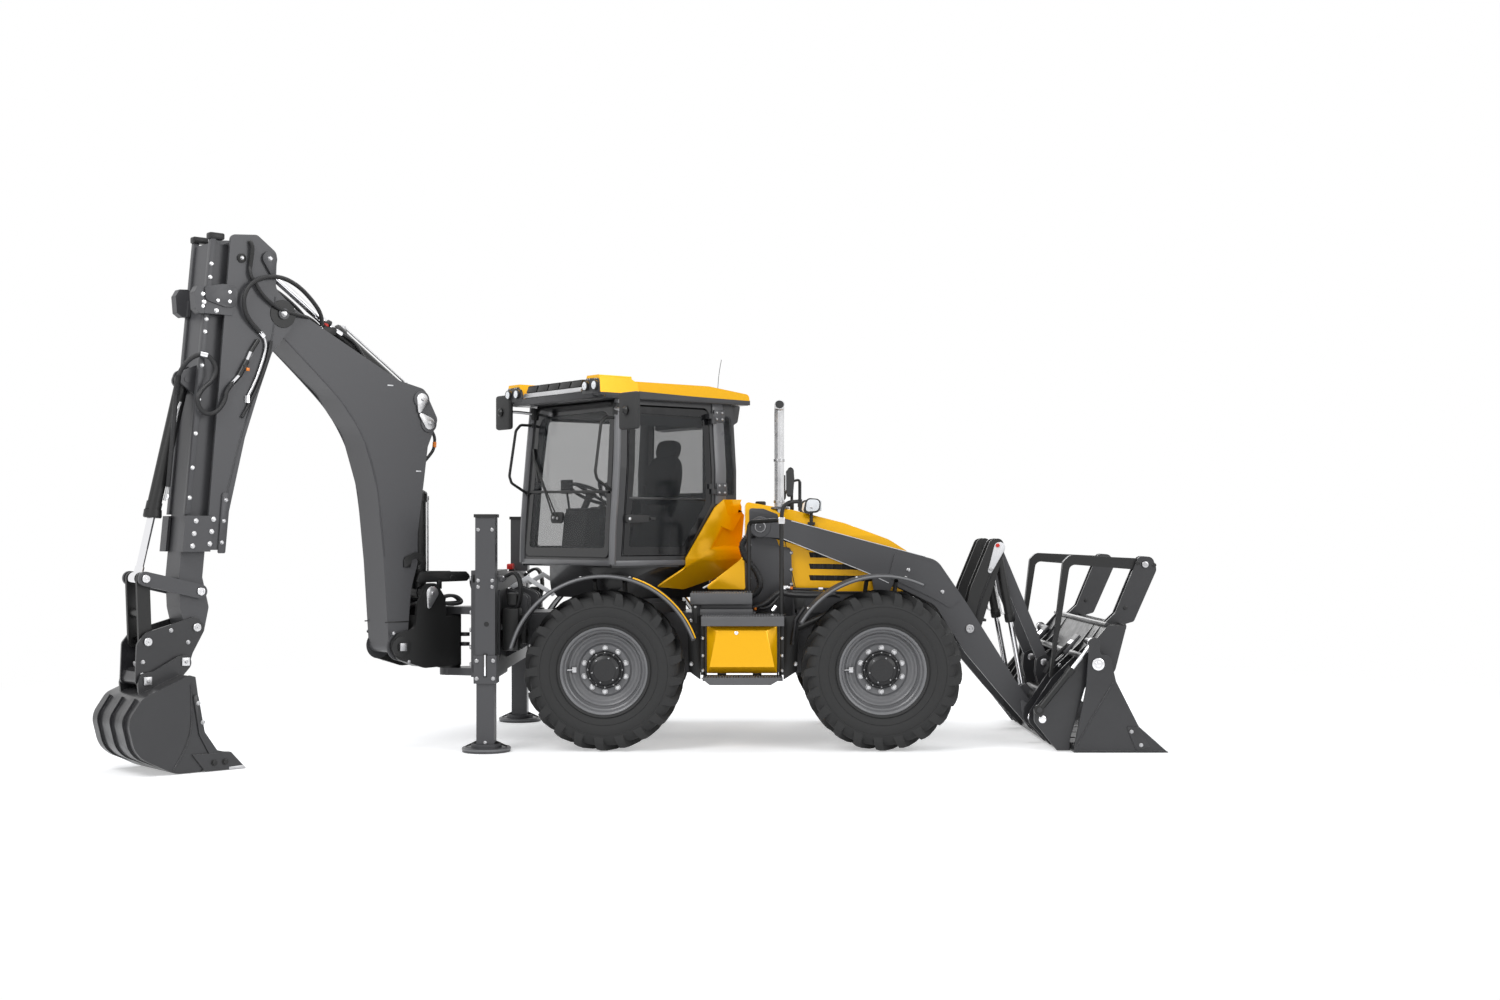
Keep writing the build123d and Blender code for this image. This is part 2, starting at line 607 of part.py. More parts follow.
def cab_cowl():
    """Yellow cowl under the rear side windows."""
    outline = [(642, 2005), (450, 2005, 40), (358, 1935, 60), (100, 1520, 60), (60, 1440, 60), (-180, 1290),
               (130, 1262), (450, 1356), (640, 1440), (655, 1580), (655, 1740)]
    side = prism("y", outline, CAB_HALF_WIDTH + 1, CAB_HALF_WIDTH + 16)
    side = side & (post(0, 0, SWEEP_RADIUS + 5, 1000, SWEEP_TOP) + block((-900, 900), (-900, 900),
                                                                         (SWEEP_TOP, 2100)))
    cowl = both(side)
    cowl += block((CAB_REAR + 1, CAB_REAR + 50), (-CAB_HALF_WIDTH - 16, CAB_HALF_WIDTH + 16), (1470, 2005))
    return cowl


def cab_door():
    """Door frame with its window cut, seated in the cab's left side."""
    outer = side_window(2)
    inner = side_window(-55)
    door = prism("y", outer, -CAB_HALF_WIDTH, -CAB_HALF_WIDTH + DOOR_THICKNESS)
    lean = cab_hull(0, 1400, CAB_TOP)
    door -= prism("y", inner, -CAB_HALF_WIDTH - 5, -CAB_HALF_WIDTH + DOOR_THICKNESS + 5)
    door = door & lean
    for z in DOOR_HINGES:
        door += hinge_leaf(z, SEAT, 42, -36)
        door -= post(*DOOR_AXIS, 7 + FIT, z - 50, z + 60)
    return door


def seat():
    """Operator's seat on its base."""
    shape = block((-190, 190), (-200, 200), (CAB_SILL + 20, 1720))
    shape += prism("y", [(-250, 1720), (260, 1720), (280, 1830, 40), (-250, 1850, 50)], -240, 240)
    shape += prism("y", [(190, 1800), (300, 1800), (420, 2400, 60), (300, 2420, 50)], -230, 230)
    return shape


def console():
    """Front console with the steering wheel."""
    shape = prism("y", [(-600, CAB_SILL + 20), (-420, CAB_SILL + 20), (-440, 1900, 40), (-560, 1900, 30)],
                  -170, 170)
    shape += bar((-500, 0, 1880), (-410, 0, 2060), 28)
    wheel = Solid.make_torus(180, 14, Plane(origin=(-415, 0, 2050), z_dir=(0.45, 0, 0.9)))
    shape += wheel
    shape += Solid.make_cylinder(182, 12, Plane(origin=(-415, 0, 2050), z_dir=(0.45, 0, 0.9))) & block(
        (-800, 0), (-22, 22), (1700, 2300))
    return shape


# Backhoe

def beam_x(z):
    """Centre line of the sliding dipper at a height."""
    return -(2300 - (z - 1300) * BEAM_SLOPE)


def side_carriage():
    """Carriage that slides on the rear frame and carries the slew pins."""
    x0, x1 = SLEW_X + 225, LEG_X - 80 - SEAT
    y = SLEW_Y
    plate = block((x0, x1), (y - 290, y + 290), (580, 1400))
    plate += block((x0, LEG_X + 55), (y - 290, y + 290), (1380 + SEAT, 1420))
    plate += block((x0, LEG_X + 55), (y - 290, y + 290), (560, 600 - SEAT))
    for low, high in ((560, 620), (1060, 1120)):
        lug = prism("z", [(x0 + 5, y - 150), (x0 + 5, y + 150), (SLEW_X, y + 75, 0), (SLEW_X, y - 75, 0)],
                    low, high)
        lug += post(SLEW_X, y, 75, low, high)
        lug -= post(SLEW_X, y, 40 + FIT, low - 1, high + 1)
        plate += lug
    return plate


def kingpost():
    """Swing post with cheeks for the boom's foot and the boom cylinder."""
    body = post(0, 0, 95, 620 + SEAT, 1060 - SEAT)
    body += post(0, 0, 40, 556, 1124)
    web = [(60, 640), (-300, 640), (-460, 700, 40), (-460, 730), (-330, 900, 80), (-330, 1055), (60, 1055)]
    body += prism("y", web, -90, 90)
    cheek = [(-20, 650, 40), (-350, 640, 60), (-600, 720, 80), (-680, 830, 90), (-600, 930, 80),
             (-440, 960, 60),
             (-420, 1150, 60), (-340, 1320, 60), (-240, 1320, 60), (-160, 1200, 40), (-150, 1050),
             (-20, 1050, 30)]
    body += pair_plates(cheek, CHEEK_IN, CHEEK_OUT + 8)
    body += both(block((-330, -20), (85, CHEEK_IN + 1), (900, 930)))
    body += both(block((-330, -20), (85, CHEEK_IN + 1), (650, 680)))
    body += pin(FOOT_PIN, 40, -CHEEK_OUT - 30, CHEEK_OUT + 30)
    body += both(pin(BOOM_RAM_BASE, BOOM_RAM_EYE * PIN_SHARE, 40, CHEEK_OUT + 22))
    body += both(pin(BOOM_RAM_BASE, 55, 72, CHEEK_IN + 1))
    return body


def boom():
    """Banana boom: two side plates, open above the hump for both cylinders."""
    outline = [(-655, 770, 60), (-705, 1500, 900), (-765, 2070, 900), (-900, 2500, 500), (-1130, 2805, 500),
               (-1690, 3300, 20), (-1712, 3390, 60), (-1620, 3480, 60), (-1480, 3428, 100), (-830, 3078, 0),
               (-560, 2935, 100), (-330, 2880, 70), (-205, 2640, 60), (-300, 2420, 80), (-335, 2150, 400),
               (-395, 1720, 400), (-395, 1480, 150), (-455, 1280, 120), (-480, 1000, 100), (-490, 770, 70)]
    body = prism("y", outline, -BOOM_HALF, BOOM_HALF)
    channel = [(-100, 1800), (-372, 1800), (-430, 2300, 60), (-610, 2560, 60), (-800, 2870, 60),
               (-1380, 3190, 40),
               (-1440, 3500), (-600, 3400), (-100, 3000)]
    body -= prism("y", channel, -BOOM_HALF + 32, BOOM_HALF - 32)
    body -= pin(FOOT_PIN, 40 + FIT, -200, 200)
    body -= pin(DIPPER_PIVOT, 42 + FIT, -200, 200)
    body += both(pin(BOOM_RAM_TIP, 50, 78, BOOM_HALF + 14))
    body += pin(DIPPER_RAM_BASE, DIPPER_RAM_EYE * PIN_SHARE, -BOOM_HALF - 14, BOOM_HALF + 14)
    body += both(pin(DIPPER_RAM_BASE, 36, 48, BOOM_HALF - 30))
    return body


def dipper():
    """Outer dipper: tapered box with open ears at the top and guides for the beam."""
    outline = [(-2010, 3930, 40), (-1800, 3950, 50), (-1640, 3830, 60), (-1650, 3560, 80), (-1500, 3430, 90),
               (-1520, 3280, 90), (-1680, 3080, 100), (-1790, 2770, 300), (-1900, 2430, 300),
               (-2040, 1820, 100),
               (-2070, 1600, 0), (-2205, 1600, 0)]
    plates = pair_plates(outline, CHEEK_IN, CHEEK_OUT)
    inner_edge = [(-1700, 3180, 60), (-1790, 2770, 300), (-1900, 2430, 300), (-2040, 1820, 100),
                  (-2070, 1600, 0)]
    core = [(beam_x(3180) + 105, 3180)] + inner_edge + [(beam_x(1600) + 100, 1600)]
    plates += prism("y", core, -CHEEK_IN - 1, CHEEK_IN + 1)
    plates += prism("y", [(-1930, 3900), (-1800, 3925), (-1800, 3890), (-1915, 3865)], -CHEEK_IN - 1,
                    CHEEK_IN + 1)
    plates += prism("y", [(beam_x(3880) + 104, 3880), (beam_x(3880) + 130, 3880), (beam_x(3170) + 130, 3170),
                          (beam_x(3170) + 104, 3170)], -CHEEK_IN - 1, CHEEK_IN + 1)
    plates += pin(DIPPER_PIVOT, 42, -CHEEK_OUT - 22, CHEEK_OUT + 22)
    plates += both(pin(DIPPER_RAM_TIP, 45, 66, CHEEK_OUT + 16))
    for low, high in ((1588, 1850), (3330, 3450)):
        guide = [(beam_x(high) + 97, high), (beam_x(low) + 97, low), (beam_x(low) - 118, low),
                 (beam_x(high) - 118, high)]
        plates += pair_plates(guide, BEAM_HALF + SEAT, CHEEK_OUT + 8)
        lip = [(beam_x(high) - 97, high), (beam_x(low) - 97, low), (beam_x(low) - 118, low),
               (beam_x(high) - 118, high)]
        plates += pair_plates(lip, 92, CHEEK_OUT + 8)
    return plates


def dipper_beam():
    """Inner dipper that slides in the guides and carries the bucket linkage."""
    half = BEAM_DEPTH / 2
    top, low = 3860.0, 1150.0
    outline = [(beam_x(top) + half, top), (beam_x(top) - half, top), (beam_x(1400) - half, 1400),
               (-2370, 1180, 80), (-2325, 990, 60), (-2190, 990, 60), (-2150, 1180, 60),
               (beam_x(1400) + half, 1400)]
    beam = prism("y", outline, -BEAM_HALF, BEAM_HALF)
    beam -= pin(BUCKET_PIVOT, 30 + FIT, -200, 200)
    beam -= pin(ROCKER_PIVOT, 30 + FIT, -200, 200)
    ear = [(beam_x(2960) - half + 5, 2960), (-2330, 2910, 50), (-2360, 2830, 50), (-2300, 2780, 40),
           (beam_x(2740) - half + 5, 2740)]
    beam += pair_plates(ear, 58, 80)
    beam += pin(BUCKET_RAM_BASE, BUCKET_RAM_EYE * PIN_SHARE, -84, 84)
    return beam


def rocker():
    """Side links from the beam to the linkage pin."""
    links = both(strap(ROCKER_PIVOT, ROCKER_TIP, 52, 122, 146))
    links += pin(ROCKER_PIVOT, 30, -150, 150)
    links += both(pin(ROCKER_TIP, 28, 70, 150))
    return links


def tie_link():
    """H-shaped link from the linkage pin to the coupler."""
    top, low = ROCKER_TIP, COUPLER_PIN
    link = both(strap(top, low, 48, 76, 104))
    middle = between(top, low, 0.55)
    link += bar((middle[0], -90, middle[1]), (middle[0], 90, middle[1]), 34)
    link -= pin(top, 28 + FIT, -160, 160)
    link -= pin(low, 28 + FIT, -160, 160)
    return link


def coupler():
    """Quick coupler between the dipper and the backhoe bucket."""
    plate = [(-2180, 1040, 60), (-2260, 1115, 60), (-2640, 1010, 60), (-2705, 930, 50), (-2718, 612, 40),
             (-2590, 656, 30), (-2320, 748, 60), (-2285, 850, 30)]
    body = pair_plates(plate, 122, 140)
    base = [(-2330, 835), (-2690, 730), (-2718, 612, 40), (-2590, 656, 30), (-2320, 748, 60)]
    body += prism("y", base, -125, 125)
    body += pin(BUCKET_PIVOT, 30, -146, 146)
    body += both(pin(COUPLER_PIN, 28, 110, 146))
    for place in EAR_PINS:
        body += pin(place, EAR_PIN_RADIUS, -172, 172)
    return body


def hoe_bucket():
    """Backhoe bucket with ears, side cutters and a lip."""
    skin = 22.0
    outer = [(-1975, 2), (-2500, 2, 180), (-2790, 150, 200), (-2850, 400, 150), (-2740, 560, 120),
             (-2400, 700, 0)]
    shell_outline = outer + [(-2392, 672, 0), (-2715, 538, 110), (-2822, 392, 130), (-2765, 160, 180),
                             (-2495, 30, 160),
                             (-1990, 22)]
    bucket = prism("y", shell_outline, -BUCKET_HALF, BUCKET_HALF)
    side = [(-1980, 2), (-2500, 2, 180), (-2790, 150, 200), (-2850, 400, 150), (-2740, 560, 120),
            (-2390, 702, 10),
            (-2350, 690, 10), (-2290, 280, 60), (-2190, 140, 30), (-2085, 130)]
    bucket += pair_plates(side, BUCKET_HALF - skin, BUCKET_HALF)
    cutter = [(-1968, 2), (-2085, 130), (-2380, 132), (-2280, 2)]
    bucket += pair_plates(cutter, BUCKET_HALF - 2, BUCKET_HALF + 16)
    ear = [(-2400, 660), (-2300, 770, 60), (-2330, 845, 50), (-2410, 830, 50), (-2600, 730, 30),
           (-2690, 720, 50),
           (-2710, 640, 50), (-2700, 560)]
    bucket += pair_plates(ear, 148, 170)
    for place in EAR_PINS:
        bucket -= pin(place, EAR_PIN_RADIUS + FIT, -200, 200)
    for y in (-220, 0, 220):
        wear_strap = [(-2480, 0.5), (-2806, 142, 200), (-2868, 402, 120), (-2768, 556, 0),
                      (-2735, 540, 0), (-2830, 392, 100), (-2772, 165, 180), (-2470, 10)]
        bucket += prism("y", wear_strap, y - 30, y + 30)
    return bucket


# Loader

def loader_arms():
    """Pair of cranked arms joined by cross tubes."""
    outline = [(60, 1700, 60), (60, 1850, 70), (337, 1845, 60), (1600, 1500, 160), (1843, 1146, 80),
               (2241, 516, 0),
               (2428, 252, 0), (2310, 178, 0), (2120, 394, 60), (1832, 737, 80), (1578, 1135, 160),
               (1024, 1402, 60),
               (333, 1679, 60)]
    arm = prism("y", outline, ARM_IN, ARM_OUT)
    arm += pin(TOOL_PIVOT, 70, ARM_IN, ARM_OUT)
    arm += prism("y", [(1250, 1560, 20), (1600, 1470, 120), (1800, 1180, 40), (1700, 1110, 30),
                       (1560, 1190, 100),
                       (1200, 1360, 20)], ARM_OUT - 1, ARM_OUT + 10)
    ear = [(1060, 1390), (1085, 1220, 50), (1140, 1180, 50), (1195, 1220, 50), (1240, 1310)]
    arm += prism("y", ear, ARM_IN, ARM_IN + 12)
    arm += prism("y", ear, ARM_OUT - 12, ARM_OUT)
    arm -= pin(ARM_PIVOT, 38 + FIT, 400, 600)
    arm -= pin(TOOL_PIVOT, 34 + FIT, 400, 600)
    arm -= pin(TILT_BASE, 26, ARM_OUT - 30, 600)
    arm += pin(TILT_BASE, 44, 428, ARM_IN + 1)
    arms = both(arm)
    arms += pin(LEVER_PIVOT, 42, -ARM_IN - 2, ARM_IN + 2)
    arms += pin((1600, 1290), 60, -ARM_IN - 2, ARM_IN + 2)
    return arms


LEVER_LANES = ((435.0, 460.0), (268.0, 290.0))
RAM_LANE = (342.0, 424.0)
LINK_LANE = (299.0, 331.0)


def tilt_levers():
    """Teardrop levers on the cross tube, one double lever for each side."""
    low, top = LEVER_PIVOT, LEVER_TIP
    plate = [(low[0] - 75, low[1] - 60, 70), (low[0] + 85, low[1] - 60, 70), (top[0] + 60, top[1] - 10, 50),
             (top[0] + 30, top[1] + 75, 50), (top[0] - 60, top[1] + 60, 50), (low[0] + 20, low[1] + 330, 200)]
    lever = prism("y", plate, *LEVER_LANES[0]) + prism("y", plate, *LEVER_LANES[1])
    lever += pin(low, 70, LEVER_LANES[1][0], LEVER_LANES[0][1])
    lever += pin(top, TILT_RAM_EYE * PIN_SHARE, LEVER_LANES[1][0] - 8, LEVER_LANES[0][1])
    lever -= pin(low, 42 + FIT, 200, 500)
    return both(lever)


def tilt_links():
    """Bars from the levers to the loader bucket."""
    top, low = LEVER_TIP, LINK_PIN
    link = strap(top, low, 46, *LINK_LANE)
    link -= pin(top, TILT_RAM_EYE * PIN_SHARE + FIT, 200, 500)
    link -= pin(low, 24, 200, 500)
    return both(link)


def loader_bucket():
    """Rear half of the loader bucket: moldboard, end plates, ribs and ears."""
    plate = 26.0
    face = [(2586, 6), (2478, 6, 20), (2478, 330, 120), (2770, 800, 120), (2890, 990, 0), (3030, 990, 0),
            (3028, 968, 0),
            (2905, 966, 0), (2795, 790, 120), (2506, 322, 120), (2506, 34, 0), (2586, 30, 0)]
    bucket = prism("y", face, -TOOL_HALF + 100, TOOL_HALF - 100)
    end = [(2580, 90), (2580, 6), (2478, 6), (2300, 230, 60), (2300, 330, 60), (2760, 850, 60), (2885, 995),
           (3030, 990), (2925, 580, 60),
           (2800, 640, 40), (2700, 500, 80)]
    end_low, end_high = TOOL_HALF - 116, TOOL_HALF - 94
    bucket += pair_plates(end, end_low, end_high)
    rib = [(2490, 20), (2470, 20), (2300, 200, 60), (2310, 290, 60), (2490, 560, 60), (2770, 830, 60),
           (2880, 980),
           (2800, 790), (2490, 330)]
    bucket += pair_plates(rib, ARM_OUT + SIDE_GAP + 4, ARM_OUT + 36)
    pivot_ear = [(2490, 60), (2370, 110, 60), (2290, 215, 70), (2370, 320, 60), (2490, 330)]
    bucket += pair_plates(pivot_ear, ARM_IN - 30, ARM_IN - SIDE_GAP)
    link_rib = [(2490, 380), (2440, 560, 30), (2450, 680, 50), (2530, 720, 50), (2600, 640, 40),
                (2780, 800), (2600, 500)]
    bucket += pair_plates(link_rib, LINK_LANE[1] + 3, LINK_LANE[1] + 19)
    bucket += pair_plates(link_rib, LINK_LANE[0] - 22, LINK_LANE[0] - 3)
    bucket += pair_plates(rib, 820, 842)
    bucket += both(pin(TOOL_PIVOT, 34, ARM_IN - 30, ARM_OUT + 40))
    bucket += both(pin(CLAM_PIVOT, 28, end_low, TOOL_HALF + 6))
    bucket += both(pin(CLAM_BASE, CLAM_RAM_EYE * PIN_SHARE, end_low, TOOL_HALF - 30))
    for y in (FORK_Y - 55, FORK_Y + 35):
        bracket = [(2890, 975), (3030, 975), (3150, 1010, 30), (3335, 1430, 60), (3300, 1530, 50),
                   (3190, 1540, 50), (3000, 1080, 30)]
        bucket += pair_plates(bracket, y, y + 20)
    bucket -= pin(FORK_HINGE, 28 + FIT, -1000, 1000)
    return bucket


def clam():
    """Front jaw of the loader bucket with its side plates and cutting edge."""
    side = [(2600, 0), (3335, 0), (3104, 205, 60), (2925, 560, 40), (2880, 760, 50), (2800, 770, 30),
            (2800, 900, 40),
            (2720, 905, 40), (2705, 700, 60), (2690, 500, 80), (2600, 60)]
    inner, outer = TOOL_HALF - 22, TOOL_HALF
    jaw = pair_plates(side, inner, outer)
    floor = [(2596, 0), (3335, 0), (3338, 6), (3200, 26), (2620, 26), (2596, 60)]
    jaw += prism("y", floor, -outer, outer)
    jaw -= pin(CLAM_PIVOT, 28 + FIT, -1300, 1300)
    jaw += both(pin(CLAM_CRANK, 24, TOOL_HALF - 34, TOOL_HALF))
    return jaw


def forks():
    """Pair of folded pallet forks on their hinge pins."""
    x, z = FORK_HINGE
    outline = [(x + 45, z - 45, 40), (x + 45, z + 45, 40), (2640, 1545, 60), (2585, 1490, 40),
               (2478, 560, 0), (2497, 556, 0),
               (2640, 1470, 50), (x - 100, z - 40, 20)]
    fork = prism("y", outline, FORK_Y - 29, FORK_Y + 29)
    fork += pin(FORK_HINGE, 28, FORK_Y - 66, FORK_Y + 66)
    return both(fork)


# Assembly

def wheel_place(front, side):
    """Location of a wheel part modelled about its own hub."""
    turn = 0 if side > 0 else 180
    return Location((WHEEL_X * front, WHEEL_Y * side, TYRE_RADIUS), (0, 0, turn))


def build():
    """Every node by name, in the layout's own frame."""
    nodes = {}
    nodes["chassis_frame"] = chassis_frame()
    tower_shape = loader_tower()
    nodes["loader_towers"] = [tower_shape, mirrored(tower_shape)]
    nodes["engine_block"] = engine_block()
    nodes["hood"] = hood()
    nodes["side_panels"] = side_panels()
    step_shape = steps()
    nodes["steps"] = [step_shape, mirrored(step_shape)]
    tank_shape = tank()
    nodes["side_tanks"] = [tank_shape, mirrored(tank_shape)]
    nodes["exhaust"] = exhaust()
    nodes["handrails"] = handrails()
    nodes["work_lamps"] = [headlamp(-1), headlamp(1)]
    nodes["rear_frame"] = rear_frame()
    axle_shape = axle()
    nodes["axles"] = [axle_shape.moved(Location((x, 0, TYRE_RADIUS))) for x in (-WHEEL_X, WHEEL_X)]
    rear, front = rear_fender(), front_fender()
    nodes["fenders"] = [rear, mirrored(rear), front, mirrored(front)]
    tyre_shape, rim_shape, knuckle_shape = tyre(), rim(), knuckle()
    for front_name, front_sign in (("front", 1), ("rear", -1)):
        for side_name, side_sign in (("left", 1), ("right", -1)):
            place = wheel_place(front_sign, side_sign)
            tag = front_name + "_" + side_name
            nodes["knuckle_" + tag] = knuckle_shape.moved(place)
            nodes["tyre_" + tag] = tyre_shape.moved(place)
            nodes["rim_" + tag] = rim_shape.moved(place)
    nodes["cab_frame"] = cab(cab_frame())
    nodes["cab_roof"] = cab(cab_roof())
    nodes["cab_cowl"] = cab(cab_cowl())
    nodes["cab_seat"] = cab(seat())
    nodes["cab_console"] = cab(console())
    nodes["cab_door"] = cab(cab_door())
    nodes["stabilizer_left"] = stabilizer(1)
    nodes["stabilizer_right"] = stabilizer(-1)
    nodes["side_carriage"] = side_carriage()
    nodes["kingpost"] = hoe(kingpost())
    nodes["boom"] = hoe(boom())
    nodes["dipper"] = hoe(dipper())
    nodes["dipper_beam"] = hoe(dipper_beam())
    nodes["bucket_rocker"] = hoe(rocker())
    nodes["bucket_tie"] = hoe(tie_link())
    nodes["coupler"] = hoe(coupler())
    nodes["hoe_bucket"] = hoe(hoe_bucket())
    boom_ram = ram(BOOM_RAM_BASE, BOOM_RAM_TIP, 62, 34, 0.60, BOOM_RAM_EYE, 120, 120, 0.94)
    dipper_ram = ram(DIPPER_RAM_BASE, DIPPER_RAM_TIP, 58, 32, 0.52, DIPPER_RAM_EYE, 80, 90, 0.545)
    bucket_ram = ram(BUCKET_RAM_BASE, ROCKER_TIP, 50, 28, 0.66, BUCKET_RAM_EYE, 104, 110, 0.55)
    for name, parts in (("boom_ram", boom_ram), ("dipper_ram", dipper_ram), ("bucket_ram", bucket_ram)):
        nodes[name + "_barrel"] = hoe(parts[0])
        nodes[name + "_rod"] = hoe(parts[1])
    nodes["loader_arms"] = loader_arms()
    lift = ram(LIFT_BASE, LIFT_TIP, 34, 21, 0.88, LIFT_RAM_EYE, 70, 40, 0.93, y=(ARM_IN + ARM_OUT) / 2)
    tilt = ram(LEVER_TIP, TILT_BASE, 36, 22, 0.52, TILT_RAM_EYE, 60, 54, 0.50, y=sum(RAM_LANE) / 2)
    clam_ram = ram(CLAM_BASE, CLAM_CRANK, 28, 16, 0.62, CLAM_RAM_EYE, 44, 44, 0.6, y=TOOL_HALF - 58)
    for name, parts in (("lift_ram", lift), ("tilt_ram", tilt), ("clam_ram", clam_ram)):
        nodes[name + "_barrels"] = [parts[0], mirrored(parts[0])]
        nodes[name + "_rods"] = [parts[1], mirrored(parts[1])]
    nodes["tilt_levers"] = tilt_levers()
    nodes["tilt_links"] = tilt_links()
    nodes["loader_bucket"] = loader_bucket()
    nodes["clam"] = clam()
    nodes["forks"] = forks()
    return nodes


def as_one(shape):
    """One shape for a node, whether it is a solid, a compound or a list of solids."""
    if isinstance(shape, list):
        return Compound([solid for item in shape for solid in item.solids()])
    solids = shape.solids()
    return solids[0] if len(solids) == 1 else Compound(solids)


NODES = {name: as_one(shape) for name, shape in build().items()}
BOX = Compound(list(NODES.values())).bounding_box()
SHIFT = (-(BOX.min.X + BOX.max.X) / 2, -(BOX.min.Y + BOX.max.Y) / 2, -BOX.min.Z)
os.makedirs("parts", exist_ok=True)
for name, shape in NODES.items():
    export_step(shape.moved(Location(SHIFT)), "parts/" + name + ".step")
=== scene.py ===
"""Looks of the backhoe loader: finishes, glass, tyres, hoses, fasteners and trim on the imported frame.

Metres, in the CAD frame: +X toward the loader bucket, +Y to the machine's left, +Z up.
"""
from __future__ import annotations

import logging
import math
from dataclasses import dataclass, field
from enum import Enum
from typing import Callable, Iterable, Sequence

import bmesh
import bpy
from mathutils import Matrix, Vector

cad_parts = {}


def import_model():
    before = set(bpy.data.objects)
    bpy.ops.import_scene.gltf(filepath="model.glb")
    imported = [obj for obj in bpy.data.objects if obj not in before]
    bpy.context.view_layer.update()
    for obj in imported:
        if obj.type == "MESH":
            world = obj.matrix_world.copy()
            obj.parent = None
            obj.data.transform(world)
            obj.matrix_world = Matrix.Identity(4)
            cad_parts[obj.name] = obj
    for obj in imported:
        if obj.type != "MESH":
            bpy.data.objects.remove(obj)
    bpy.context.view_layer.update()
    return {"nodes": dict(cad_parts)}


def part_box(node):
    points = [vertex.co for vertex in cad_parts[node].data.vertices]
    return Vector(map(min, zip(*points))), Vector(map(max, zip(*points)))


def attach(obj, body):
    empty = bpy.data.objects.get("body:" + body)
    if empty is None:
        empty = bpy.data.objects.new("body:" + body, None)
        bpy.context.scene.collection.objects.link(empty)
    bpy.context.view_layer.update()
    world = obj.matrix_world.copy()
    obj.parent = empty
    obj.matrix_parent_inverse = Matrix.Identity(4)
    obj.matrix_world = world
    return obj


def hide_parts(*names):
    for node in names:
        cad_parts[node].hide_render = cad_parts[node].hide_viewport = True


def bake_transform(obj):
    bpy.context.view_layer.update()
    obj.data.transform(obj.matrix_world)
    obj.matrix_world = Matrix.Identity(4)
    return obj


LOG = logging.getLogger("backhoe_loader")

Point = tuple[float, float, float]
Pair = tuple[float, float]


# Finishes

class Texture(Enum):
    """How a finish breaks up the light."""

    PAINT = "paint"
    MOULDED = "moulded"
    CAST = "cast"
    BRUSHED = "brushed"
    RUBBER = "rubber"
    WEAVE = "weave"


GRAIN = {
    Texture.PAINT: (350.0, 0.05),
    Texture.MOULDED: (900.0, 0.25),
    Texture.CAST: (160.0, 0.45),
    Texture.BRUSHED: (240.0, 0.10),
    Texture.RUBBER: (120.0, 0.22),
    Texture.WEAVE: (600.0, 0.35),
}


